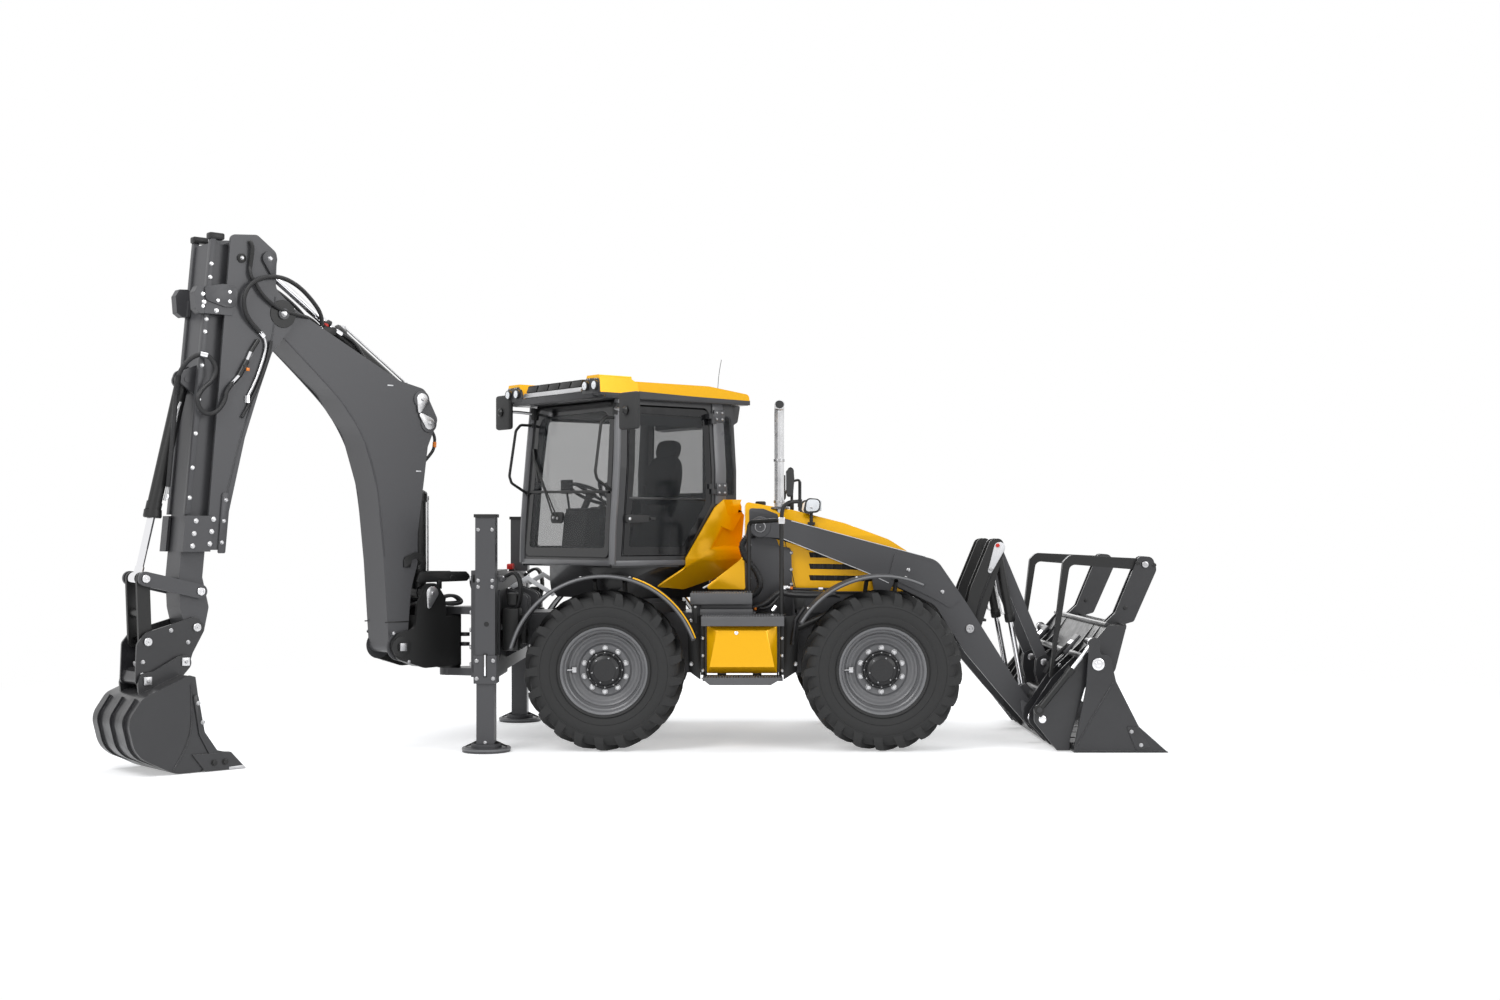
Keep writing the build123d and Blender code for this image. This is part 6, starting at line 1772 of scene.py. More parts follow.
    def rams(self) -> None:
        """Put glands, ports and feed tubes on the boom and dipper cylinders."""
        for tag, base, tip, share, radius, y in (
                ("boom_ram", (-0.29, 1.24), (-0.294, 2.604), 0.60, 0.062, 0.0),
                    ("dipper_ram", (-0.362, 2.795), (-1.707, 3.778), 0.52, 0.058, 0.0)):
            low, high = Vector((base[0], y, base[1])), Vector((tip[0], y, tip[1]))
            way = (high - low).normalized()
            length = (high - low).length
            out = Vector((-way.z, 0, way.x)) if tag == "dipper_ram" else Vector((1, 0, 0))
            out = out if out.z > 0 or tag == "boom_ram" else -out
            gland = low + way * (length * share)
            bench = self.on[tag + "_barrel"]
            bench.piece(tag + "_gland", BLACK, [
                Turned([(-0.085, radius + 0.002), (-0.080, radius + 0.010), (-0.012, radius + 0.011),
                        (-0.004, radius + 0.004),
                        (0.010, radius * 0.8), (0.014, radius * 0.62), (0.014, 0.0)], tuple(gland),
                       tuple(way))])
            start = low + way * 0.12 + out * (radius + 0.010)
            stop = low + way * (length * share - 0.05) + out * (radius + 0.012)
            bench.piece(tag + "_tube", ZINC, [
                Pipe([tuple(start - out * 0.02), tuple(start + out * 0.014),
                      tuple(start + out * 0.016 + way * 0.05),
                      tuple(stop + out * 0.014 - way * 0.05), tuple(stop + out * 0.014),
                      tuple(stop - out * 0.02)], 0.009)])
            bench.piece(tag + "_ports", STEEL, [
                Box(tuple(a - 0.018 for a in p), tuple(a + 0.018 for a in p), 0.004)
                for p in (tuple(start), tuple(stop))])
            bench.piece(tag + "_nipples", STEEL, [Rod(tuple(low + out * 0.05), tuple(low + out * 0.075),
                0.006)])

    def slew(self) -> None:
        """Hose coils, slew cylinder lugs, carriage hoses, bolts and clamps between carriage and boom."""
        king = self.on["kingpost"]
        king.piece("coil_hoses", HOSE, [
            Pipe([(-0.33, y, 1.12), (-0.20, y * 1.3, 1.155), (-0.05, y * 1.5, 1.142 + 0.012 * k),
                  (0.04, y * 1.3, 1.16), (-0.02, y, 1.22),
                  (-0.13, y * 0.8, 1.20), (-0.20, y * 0.7, 1.15 + 0.02 * k)], 0.014)
            for k, y in enumerate((-0.12, -0.085, 0.085, 0.12))])
        king.piece("coil_unions", CHROME, [Rod((-0.36, y, 1.115), (-0.33, y, 1.12), 0.019,
            6) for y in (-0.12, -0.085, 0.085, 0.12)])
        king.piece("slew_lugs", BLACK, [
            Plate([(-0.02, -0.11, 0.03), (0.06, -0.20, 0.03), (0.10, -0.16, 0.02), (0.06, -0.08, 0.02)], z,
                  z + 0.030, "z", 0.004)
            for z in (0.80, 0.88)], mirror=True)
        machine = Bench(self.shop, self.shop.machine, "carriage")
        machine.piece("carriage_hoses", HOSE, [
            Pipe([(-2.13, -0.52 + y, 1.32), (-2.15, -0.52 + y, 1.40), (-2.205, -0.52 + y * 0.95, 1.38),
                  (-2.222, -0.52 + y * 0.9, 1.31),
                  (-2.190, -0.52 + y * 0.9, 1.24)], 0.014) for y in (-0.16, -0.10, 0.10, 0.16)])
        machine.fasteners("carriage_bolts", STEEL, [
            ((-2.195, -0.52 + y, z), (-1, 0, 0), 0.034) for y in (-0.25, 0.25) for z in (0.66, 0.80, 0.94,
                1.08, 1.35)])
        machine.piece("carriage_clamps", BLACK, [
            Box((-2.19, -0.52 + y - 0.045, z - 0.04), (-2.10, -0.52 + y + 0.045, z + 0.04),
                0.008) for y in (-0.245, 0.245)
            for z in (0.63, 1.355)])

    def bucket(self) -> None:
        """Put the side cutters, edge strip, gussets and bolts on the hoe bucket."""
        tool = self.on["hoe_tool"]
        tool.piece("bucket_lip", STEEL, [
            Plate([(-1.966, 0.003), (-2.10, 0.003), (-2.10, 0.022), (-1.990, 0.026)], -0.343, 0.343,
                  bevel=0.002)])
        tool.piece("side_cutters", BUCKET_BLACK, [
            Plate([(-1.972, 0.004), (-2.090, 0.125, 0.01), (-2.190, 0.150, 0.02), (-2.285, 0.290, 0.04),
                   (-2.335, 0.560, 0.02),
                   (-2.372, 0.560, 0.02), (-2.325, 0.27, 0.04), (-2.24, 0.11, 0.03), (-2.31, 0.004)], 0.325,
                  0.338, bevel=0.003)],
            mirror=True)
        tool.fasteners("cutter_holes", BLACK, [((-2.13, 0.341, 0.062), (0, 1, 0), 0.040), ((-2.215, 0.341,
            0.062), (0, 1, 0), 0.040)], True)
        tool.fasteners("cutter_bolts", STEEL, [((-2.30, 0.338, 0.36), (0, 1, 0), 0.026), ((-2.335, 0.338,
            0.50), (0, 1, 0), 0.026)], True)
        seam = [(-2.385, 0.640), (-2.372, 0.40), (-2.40, 0.24), (-2.47, 0.10), (-2.52, 0.03)]
        tool.piece("bucket_seam", BUCKET_BLACK, [Pipe([(x, 0.326, z) for x, z in seam], 0.007)], mirror=True)
        tool.piece("bucket_gussets", BUCKET_BLACK, [
            Plate([(-2.42, 0.69), (-2.36, 0.78, 0.02), (-2.39, 0.80, 0.02), (-2.58, 0.70, 0.02),
                   (-2.60, 0.63)], y - 0.008, y + 0.008)
            for y in (-0.05, 0.05)])
        tool.piece("coupler_lock", STEEL, [
            Rod((-2.40, 0, 0.865), (-2.60, 0, 0.800), 0.034),
                Rod((-2.60, 0, 0.80), (-2.665, 0, 0.78), 0.020)])
        tool.piece("coupler_hoses", HOSE, [
            Pipe([(-2.42, y, 0.89), (-2.40, y * 1.2, 0.99), (-2.34, y * 1.4, 1.05), (-2.28, y * 1.6, 1.04)],
                 0.010) for y in (-0.05, 0.05)])
        tool.fasteners("coupler_bolts", STEEL, [
            ((x, 0.140, z), (0, 1, 0), 0.026) for x, z in ((-2.66, 0.80), (-2.665, 0.71), (-2.32, 0.93),
                (-2.45, 1.02))], True)

    def build(self) -> None:
        """Make every piece of the backhoe."""
        for step in (self.pins, self.boom_trim, self.dipper_trim, self.hoses, self.rams, self.slew,
                     self.bucket):
            step()
            LOG.info("backhoe: %s", step.__name__)


# Chassis

@dataclass
class Chassis:
    """Steps, tank doors, rails, hood trim, hydraulic lines, fenders and stabilizers."""

    shop: Shop
    rail_y: float = 0.95
    hood_side: float = 0.415
    tooth: float = 0.016

    def __post_init__(self) -> None:
        """Set the benches."""
        self.bench = Bench(self.shop, self.shop.machine, "chassis")

    def teeth(self, name: str, x: Pair, y: float, z: float) -> None:
        """Row of teeth along both sides' tread edge, from x to x, at its height."""
        count = int((x[1] - x[0]) / (self.tooth * 1.35))
        spots = [((x[0] + (x[1] - x[0]) * (k + 0.5) / count, y, z), (0, 0, 1),
                  self.tooth) for k in range(count)]
        self.bench.fasteners(name, CAB_GREY, spots, True, tooth_item)

    def steps(self) -> None:
        """Put face panels, serrated edges and side flanges on the boarding steps."""
        bench = self.bench
        bench.piece("step_faces", CAB_GREY, [
            Box((-0.425, 0.898, 1.150), (0.074, 0.908, 1.241), 0.003),
                Box((-0.332, 1.148, 0.990), (0.322, 1.158, 1.065), 0.003),
            Plate([(-0.335, 0.586), (-0.265, 0.528), (0.215, 0.528), (0.312, 0.586)], 1.178, 1.188,
                  bevel=0.003),
            Box((-0.345, 0.872, 1.066), (0.078, 0.882, 1.112), 0.003)], mirror=True)
        bench.piece("step_risers", ANTHRACITE, [
            Box((-0.335, 0.850, 1.112), (0.072, 0.862, 1.150), 0.002),
                Box((0.078, 0.62, 1.066), (0.10, 0.87, 1.09), 0.004),
            Plate([(-0.330, 1.042), (0.318, 1.042), (0.318, 1.066), (-0.330, 1.066)], 0.60, 1.146,
                  bevel=0.002)], mirror=True)
        for name, x, y, z in (("top", (-0.42, 0.07), 0.894, 1.240), ("middle", (-0.325, 0.315), 1.143, 1.064),
                              ("low", (-0.30, 0.29), 1.172, 0.583)):
            self.teeth("teeth_" + name, x, y, z)
            self.teeth("teeth_back_" + name, x, y - 0.13, z)
        bench.piece("step_flanges", BLACK, [
            Box((x - 0.018, 0.892, 0.585), (x + 0.018, 0.902, 1.038), 0.003) for x in (-0.322, 0.312)] + [
            Plate([(0.330, 0.53), (0.44, 0.60), (0.455, 1.05), (0.330, 1.05)], 0.700, 0.712, bevel=0.003),
            Plate([(-0.345, 0.53), (-0.44, 0.60), (-0.455, 1.05), (-0.345, 1.05)], 0.700, 0.712, bevel=0.003),
            Box((-0.405, 0.862, 1.00), (-0.365, 0.872, 1.150), 0.003)], mirror=True)
        bench.fasteners("flange_nuts", ZINC, [((x, 0.902, z), (0, 1, 0), 0.022) for x in (-0.322,
            0.312) for z in (0.62, 0.74, 0.88, 1.01)] + [
            ((x, 0.712, z), (0, 1, 0), 0.028) for x in (-0.42, 0.43) for z in (0.66, 1.01)] + [
            ((-0.385, 0.872, 1.13), (0, 1, 0), 0.020)], True)

    def tanks(self) -> None:
        """Model the faceted tank boxes with their locks and hinges."""
        rings = [[(-0.288, 0.64, 0.612), (0.268, 0.64, 0.612), (0.268, 0.64, 0.988), (-0.288, 0.64, 0.988)],
                 [(-0.288, 1.066, 0.612), (0.268, 1.066, 0.612), (0.268, 1.080, 0.988),
                  (-0.288, 1.080, 0.988)],
                 [(-0.282, 1.074, 0.617), (0.262, 1.074, 0.617), (0.262, 1.087, 0.984),
                  (-0.282, 1.087, 0.984)],
                 [(-0.268, 1.147, 0.668), (0.246, 1.147, 0.668), (0.178, 1.122, 0.955),
                  (-0.205, 1.122, 0.955)]]

        def shell(mesh: bmesh.types.BMesh) -> None:
            loops = [[mesh.verts.new(corner) for corner in ring] for ring in rings]
            mesh.faces.new(loops[0])
            mesh.faces.new(loops[-1][::-1])
            for first, second in zip(loops, loops[1:]):
                for k in range(4):
                    mesh.faces.new((first[k], second[k], second[(k + 1) % 4], first[(k + 1) % 4]))
            bmesh.ops.recalc_face_normals(mesh, faces=mesh.faces[:])
            bmesh.ops.bevel(mesh, geom=mesh.edges[:], offset=0.006, segments=3, profile=0.5, affect="EDGES")

        self.bench.piece("tank_boxes", YELLOW, [], True, shell, 50, ["side_tanks"])
        self.bench.fasteners("tank_locks", CHROME, [((-0.055, 1.126, 0.935), (0, 1, 0.09), 0.030)], True,
                             disc_item)
        self.bench.piece("tank_hinges", BLACK, [Rod((x - 0.035, 1.062, 0.606), (x + 0.035, 1.062, 0.606),
            0.010) for x in (-0.17, 0.11)],
                         mirror=True)
        self.bench.piece("tank_frames", BLACK, [
            Box((-0.298, 0.99, 0.59), (-0.288, 1.07, 1.035)), Box((0.268, 0.99, 0.59), (0.278, 1.07, 1.035)),
            Box((-0.298, 0.99, 0.992), (0.278, 1.085, 1.035))], mirror=True)

    def rails(self) -> None:
        """Add the rail clamps and feet, the forward mirror and the near side's upper hoop."""
        y = self.rail_y
        self.bench.piece("rail_clamps", ZINC, [Box((0.280, y - 0.028, 1.795), (0.334, y + 0.024, 1.850),
            0.008)], mirror=True)
        self.bench.fasteners("rail_feet_plates", BLACK, [((0.307, y, 1.064), (0, 0, 1), 0.075), ((0.049,
            0.70, 1.240), (0, 0, 1), 0.070)],
                             True, disc_item)
        self.bench.piece("rail_hoops", BLACK, [
            Pipe([(0.307, y, 1.80), (0.307, y, 1.89), (0.33, y - 0.005, 1.950), (0.39, y - 0.02, 1.978),
                  (0.455, y - 0.05, 1.975)], 0.016),
            Rod((0.455, y - 0.05, 1.900), (0.455, y - 0.05, 2.135), 0.013),
                Box((0.438, y - 0.07, 1.93), (0.474, y - 0.03, 1.995), 0.006),
            Pipe([(0.455, y - 0.05, 2.12), (0.455, y - 0.05, 2.145), (0.43, y - 0.05, 2.150),
                  (0.395, y - 0.04, 2.135)], 0.010)], mirror=True)
        self.bench.piece("forward_mirror_shells", PLASTIC, [
            Plate([(0.362, 2.006, 0.03), (0.398, 2.030, 0.03), (0.408, 2.15, 0.03), (0.402, 2.235, 0.03),
                   (0.372, 2.252, 0.03), (
                0.345, 2.215, 0.03), (0.343, 2.060, 0.03)], y - 0.13, y + 0.05, bevel=0.012)], mirror=True)
        self.bench.piece("forward_mirror_faces", MIRROR, [Box((0.3405, y - 0.11, 2.065), (0.3445, y + 0.03,
            2.205), 0.001)], mirror=True)
        lens = [(0.520, 1.900, 0.02), (0.628, 1.908, 0.03), (0.640, 1.998, 0.03), (0.535, 2.004, 0.03)]
        self.bench.piece("headlamp_lenses", LENS, [Plate(lens, 0.367, 0.4505, bevel=0.006),
                                                   Plate([(0.637, 0.385), (0.653, 0.385), (0.653, 0.431),
                                                       (0.637, 0.431)], 1.905, 1.995, "z")],
                         mirror=True)
        self.bench.fasteners("headlamp_screws", ZINC, [((0.57, 0.4505, 1.935), (0, 1, 0), 0.016)], True)

    def hood(self) -> None:
        """Add hood seams, side recess, grille bars, louvres, latch and exhaust details."""
        side, bench = self.hood_side, self.bench
        bench.piece("hood_recess", ANTHRACITE, [
            Plate([(0.055, 1.690), (0.055, 1.930, 0.02), (0.175, 1.925, 0.01), (0.290, 1.880, 0.02),
                   (0.330, 1.690)], side - 0.060,
                  side - 0.020, bevel=0.003)], mirror=True)
        bars = []
        for number in range(3):
            low = 1.330 + 0.095 * number
            right = 1.18 - 0.06 * number
            for k in range(7):
                x = 0.60 + (right - 0.66) * k / 6
                bars.append(Box((x - 0.010, side - 0.030, low - 0.006),
                                (x + 0.010, side - 0.010, low + 0.046), 0.002))
        bench.piece("hood_slot_bars", BLACK, bars, mirror=True)
        bench.piece("hood_slot_mesh", BLACK, [Box((0.54, side - 0.034, 1.31), (1.20, side - 0.030, 1.585),
            0.001)], mirror=True)
        bench.piece("nose_mesh", BLACK, [Box((1.365, -0.31, 1.27), (1.372, 0.31, 1.52), 0.002)])
        bench.piece("hood_seam", BLACK, [
            Plate([(0.440, 1.245), (0.340, 1.690), (0.346, 1.692), (0.446, 1.245)], side - 0.001,
                  side + 0.002, bevel=0)], mirror=True)
        bench.piece("hood_vents", BLACK, [
            Plate([(1.085, 1.693), (1.140, 1.690), (1.290, 1.622), (1.255, 1.616)], side - 0.062,
                  side - 0.035)], mirror=True)
        bench.fasteners("hood_latches", CHROME, [((0.95, 0.0, 1.775), (0.3, 0, 1), 0.040), ((0.30, 0.18,
            1.952), (0.2, 0, 1), 0.05)],
                        item=disc_item)
        bench.piece("side_rub_strips", BLACK, [Box((0.460, side + 0.001, 1.222), (1.395, side + 0.008,
            1.240), 0.002)], mirror=True)
        x, y = 0.306, -0.300
        bench.piece("exhaust_pipe", ZINC, [Pipe([
            (x, y, 1.56), (x, y, 1.70), (x, y, 2.30), (x, y, 2.66), (x + 0.001, y - 0.002, 2.745),
                (x + 0.002, y - 0.022, 2.782),
            (x + 0.002, y - 0.050, 2.792)], 0.041)], replaces=["exhaust"])
        bench.piece("exhaust_clamps", STEEL, [
            Turned([(0, 0.040), (0, 0.047), (0.020, 0.047), (0.020, 0.040)], (x, y, z), (0, 0, 1),
                   40) for z in (1.975, 2.32)])
        bench.piece("exhaust_lip", ZINC, [
            Turned([(0, 0.036), (0, 0.0425), (0.010, 0.0425), (0.010, 0.036)],
                   (x + 0.002, y - 0.046, 2.791), (0, -1, 0.36), 40)])
        bench.piece("exhaust_base", ANTHRACITE, [Turned([(0, 0), (0, 0.088), (0.012, 0.085), (0.018, 0.066),
            (0.018, 0)], (x, y, 1.925),
                                                        (0, 0, 1), 40)])
        # Dark disc over the pipe's capped end: painted shade for the hollow of the open mouth.
        bench.piece("exhaust_soot", HUB_BLACK, [
            Turned([(0, 0), (0, 0.0365), (0.002, 0.0365), (0.002, 0)], (x + 0.002, y - 0.0505, 2.7925),
                   (0, -1, 0.36), 40)])
        bench.piece("fuel_caps", BLACK, [Turned([(0, 0), (0, 0.045), (0.02, 0.047), (0.032, 0.040),
            (0.034, 0)], (0.16, 0.22, 1.965), (0, 0, 1))])

    def tower(self) -> None:
        """Add bolts and lines to the loader towers and the low hoses behind the steps."""
        bench = self.bench
        bench.fasteners("tower_bolts", STEEL, [((0.40, 0.450, z), (0, 1, 0), 0.026) for z in (1.02, 1.30,
            1.42, 1.56)] + [
            ((0.06, 0.450, z), (0, 1, 0), 0.026) for z in (1.02, 1.35, 1.62)], True)
        bench.piece("tower_panels", ANTHRACITE, [
            Plate([(0.035, 0.93, 0.02), (0.425, 0.93, 0.02), (0.400, 1.60, 0.03), (0.090, 1.64, 0.03),
                   (0.035, 1.58, 0.03)], 0.450, 0.456)],
            mirror=True)
        bench.piece("coil_hose", HOSE, [
            Pipe([(0.085, -0.47, 1.700), (0.055, -0.60, 1.705), (-0.016, -0.62, 1.635),
                  (0.011, -0.62, 1.528), (0.118, -0.62, 1.404),
                  (0.153, -0.62, 1.297), (0.105, -0.61, 1.215), (0.02, -0.60, 1.180)], 0.024)])
        bench.piece("coil_hose_rings", HOSE, [
            Turned([(0, 0.024), (0.002, 0.0275), (0.006, 0.0275), (0.008, 0.024)], point, way,
                   20) for point, way in self.rings_along([
                (0.03, -0.612, 1.69), (-0.012, -0.62, 1.62), (0.016, -0.62, 1.525), (0.110, -0.62, 1.412),
                    (0.148, -0.62, 1.29), (
                    0.10, -0.61, 1.22)])])
        lines = [
            [(0.085, 0.60, 1.110), (0.150, 0.60, 1.125), (0.225, 0.60, 1.170), (0.296, 0.60, 1.243),
             (0.385, 0.60, 1.217), (0.580, 0.60, 1.208),
             (0.758, 0.58, 1.220)],
            [(0.385, 0.57, 1.270), (0.45, 0.57, 1.262), (0.62, 0.56, 1.262), (0.74, 0.55, 1.262)],
            [(0.14, 0.62, 1.105), (0.20, 0.64, 1.10), (0.27, 0.62, 1.17), (0.33, 0.60, 1.24)],
            [(0.40, 0.59, 1.245), (0.50, 0.59, 1.238), (0.64, 0.57, 1.236), (0.80, 0.55, 1.20)]]
        bench.piece("low_hoses", HOSE, [Pipe(route, radius) for route, radius in zip(lines, (0.024, 0.012,
            0.014, 0.014))], mirror=True)
        bench.piece("low_unions", CHROME, [
            Rod((0.365, 0.57, 1.272), (0.405, 0.57, 1.268), 0.017, 6),
                Rod((0.10, 0.60, 1.112), (0.14, 0.60, 1.122), 0.019, 6),
            Rod((0.62, 0.56, 1.262), (0.66, 0.56, 1.262), 0.017, 6),
                Box((0.30, 0.555, 1.262), (0.37, 0.60, 1.292), 0.005),
            Rod((0.24, 0.64, 1.085), (0.275, 0.64, 1.125), 0.016, 6)], mirror=True)
        bench.piece("low_caps", AMBER, [Rod((0.400, 0.592, 1.262), (0.400, 0.592, 1.284), 0.012),
                                        Rod((0.10, 0.635, 1.093), (0.10, 0.635, 1.115), 0.012)], mirror=True)
        bench.piece("valve_block", CAST_IRON, [
            Box((0.15, 0.34, 1.075), (0.37, 0.43, 1.20), 0.012),
                Box((0.40, 0.35, 1.09), (0.52, 0.42, 1.19), 0.010)] + [
            Rod((x, 0.425, z), (x, 0.450, z), 0.018, 6) for x in (0.19, 0.26, 0.33) for z in (1.11, 1.165)],
                    mirror=True)

    @staticmethod
    def rings_along(points: Sequence[Point]) -> list[tuple[Point, Point]]:
        """Places and directions along a route of points, five between each pair.

        Args:
            points: The route.

        Returns:
            (place, direction) pairs.
        """
        result = []
        for first, second in zip(points, points[1:]):
            a, b = Vector(first), Vector(second)
            result += [(tuple(a.lerp(b, k / 5)), tuple(b - a)) for k in range(5)]
        return result

    def fenders(self) -> None:
        """Put rims, stays and the rear fenders' yellow lines on."""
        bench = self.bench
        for front, x, first, last, y in (("front", 1.1, 65, 149, 1.172), ("rear", -1.1, 20, 166, 1.182)):
            def ring(radius: float, angle: float, across: float, middle: float = x) -> Point:
                return (middle + radius * math.cos(math.radians(angle)), across,
                        0.635 + radius * math.sin(math.radians(angle)))

            bench.piece("fender_edge_" + front, RIM_GREY,
                        [Pipe([ring(0.752, first + (last - first) * k / 16, y) for k in range(17)], 0.011)],
                        mirror=True)
            bench.fasteners("fender_bolts_" + front, ZINC, [
                (ring(0.758, t, 0.98), (math.cos(math.radians(t)), 0, math.sin(math.radians(t))),
                 0.022) for t in (75, 105, 140)], True)
            if front == "rear":
                bench.piece("fender_lines", YELLOW,
                            [Pipe([ring(0.770, 20 + 3.5 * k, 1.184) for k in range(16)], 0.006)], mirror=True)
            bench.piece("fender_stays_" + front, BLACK, [
                Pipe([(x - 0.10, 0.50, 1.10), (x - 0.10, 0.60, 1.26), (x - 0.10, 0.78, 1.345)], 0.018),
                Pipe([(x + 0.14, 0.50, 1.10), (x + 0.14, 0.60, 1.26), (x + 0.14, 0.78, 1.340)], 0.018)],
                        mirror=True)

    def rear(self) -> None:
        """Dress the stabilizers, side-shift frame and what stands between them and the cab."""
        bench = self.bench
        for side, tag in ((1, "left"), (-1, "right")):
            leg = Bench(self.shop, self.shop.machine, "stabilizer_" + tag)
            y = side * 1.1
            leg.piece(f"pad_rim_{tag}", RIM_GREY, [Turned([(0, 0.188), (0.002, 0.193), (0.014, 0.194),
                (0.018, 0.188)], (
                -2.03, y, 0.014), (0, 0, 1), 48)])
            leg.fasteners(f"leg_bolts_{tag}", STEEL, [((-2.03, y + side * 0.0702, 0.074), (0, side, 0),
                0.024)])
            leg.piece(f"pad_webs_{tag}", BLACK, [
                Plate([(-2.03 + s * 0.070, 0.062), (-2.03 + s * 0.165, 0.034), (-2.03 + s * 0.165, 0.044),
                       (-2.03 + s * 0.075, 0.086)],
                      y - 0.008, y + 0.008) for s in (-1, 1)])
            leg.fasteners(f"leg_cap_{tag}", STEEL, [((-2.03, y, 1.840), (0, 0, 1), 0.05)])
        bench.piece("stabilizer_slots", BLACK, [
            Box((-2.045, 1.1770, 0.590), (-2.013, 1.1925, 0.775), 0.003),
                Rod((-2.019, 1.176, 1.007), (-2.019, 1.1805, 1.007), 0.020)],
            mirror=True)
        bench.piece("stabilizer_slot_rods", CHROME, [Box((-2.036, 1.186, 0.601), (-2.022, 1.1945, 0.766),
            0.002)], mirror=True)
        bench.piece("stabilizer_caps", BLACK, [
            Ring([(-2.118, 1.012), (-1.942, 1.012), (-1.942, 1.188), (-2.118, 1.188)],
                 [(-2.101, 1.029), (-1.959, 1.029), (-1.959, 1.171), (-2.101, 1.171)], 1.846, 1.872, "z")],
                    mirror=True)
        bench.fasteners("stabilizer_bolts", STEEL, [((x, 1.191, z), (0, 1, 0), 0.026) for x in (-2.095,
            -1.965) for z in (0.58, 0.72)] + [
            ((x, 1.179, z), (0, 1, 0), 0.024) for x in (-2.085, -1.975) for z in (1.30, 1.35, 1.75)], True)
        bench.piece("frame_rails", STEEL, [
            Box((-2.1125, -1.0, 1.300), (-2.1095, 1.0, 1.350), 0.001),
                Box((-2.1125, -1.0, 0.625), (-2.1095, 1.0, 0.675), 0.001)])
        bench.piece("frame_gussets", ANTHRACITE, [
            Plate([(-1.95, 1.27), (-1.95, 0.70), (-1.80, 0.78, 0.05), (-1.77, 1.20, 0.05)], y - 0.010,
                  y + 0.010) for y in (0.30, 0.46)],
            mirror=True)
        bench.piece("rear_clutter", BLACK, [
            Box((-1.93, 0.70, 0.78), (-1.80, 0.90, 1.12), 0.012),
                Box((-1.90, 0.72, 1.14), (-1.82, 0.86, 1.24), 0.008),
            Box((-1.86, 0.56, 0.82), (-1.76, 0.68, 1.06), 0.010)], mirror=True)
        bench.piece("rear_hoses", HOSE, [
            Pipe([(-1.93, y, 1.36), (-1.86, y, 1.42), (-1.80, y, 1.36), (-1.79, y, 1.20),
                  (-1.83, y - 0.02, 1.10)], 0.013)
            for y in (0.74, 0.78, 0.82, 0.86)], mirror=True)
        bench.piece("rear_unions", CHROME, [
            Rod((-1.95, y, 1.335), (-1.92, y, 1.37), 0.017, 6) for y in (0.74, 0.78, 0.82, 0.86)] + [
            Box((-1.952, 0.70, 0.94), (-1.93, 0.78, 0.985), 0.004)], mirror=True)
        bench.piece("rear_panels", WHITE, [
            Plate([(-1.905, 1.290), (-1.765, 1.378), (-1.530, 1.225), (-1.560, 1.205), (-1.760, 1.335),
                   (-1.880, 1.262)], 0.600, 0.612)],
            mirror=True)
        bench.piece("quarter_panels", YELLOW, [
            Plate([(-0.330, 1.262, 0.02), (0.020, 1.262, 0.01), (0.015, 1.575, 0.03),
                   (-0.020, 1.505, 0.10)], 0.585, 0.600, bevel=0.004)],
            mirror=True)
        # White line that paints the highlight along the quarter panels' upper edge.
        bench.piece("quarter_edges", WHITE, [
            Pipe([(-0.325, 0.592, 1.272), (-0.20, 0.592, 1.335), (-0.09, 0.592, 1.40),
                  (-0.030, 0.592, 1.485)], 0.008)], mirror=True)
        bench.piece("tail_lamps", RED, [Box((-2.115, 0.80, 1.395), (-2.06, 0.93, 1.445), 0.008)], mirror=True)
        bench.piece("tail_lamp_brackets", BLACK, [Box((-2.10, 0.82, 1.375), (-2.05, 0.91, 1.400), 0.004)],
                    mirror=True)

    def build(self) -> None:
        """Make every piece of the chassis."""
        for step in (self.steps, self.tanks, self.rails, self.hood, self.tower, self.fenders, self.rear):
            step()
            LOG.info("chassis: %s", step.__name__)


# Loader

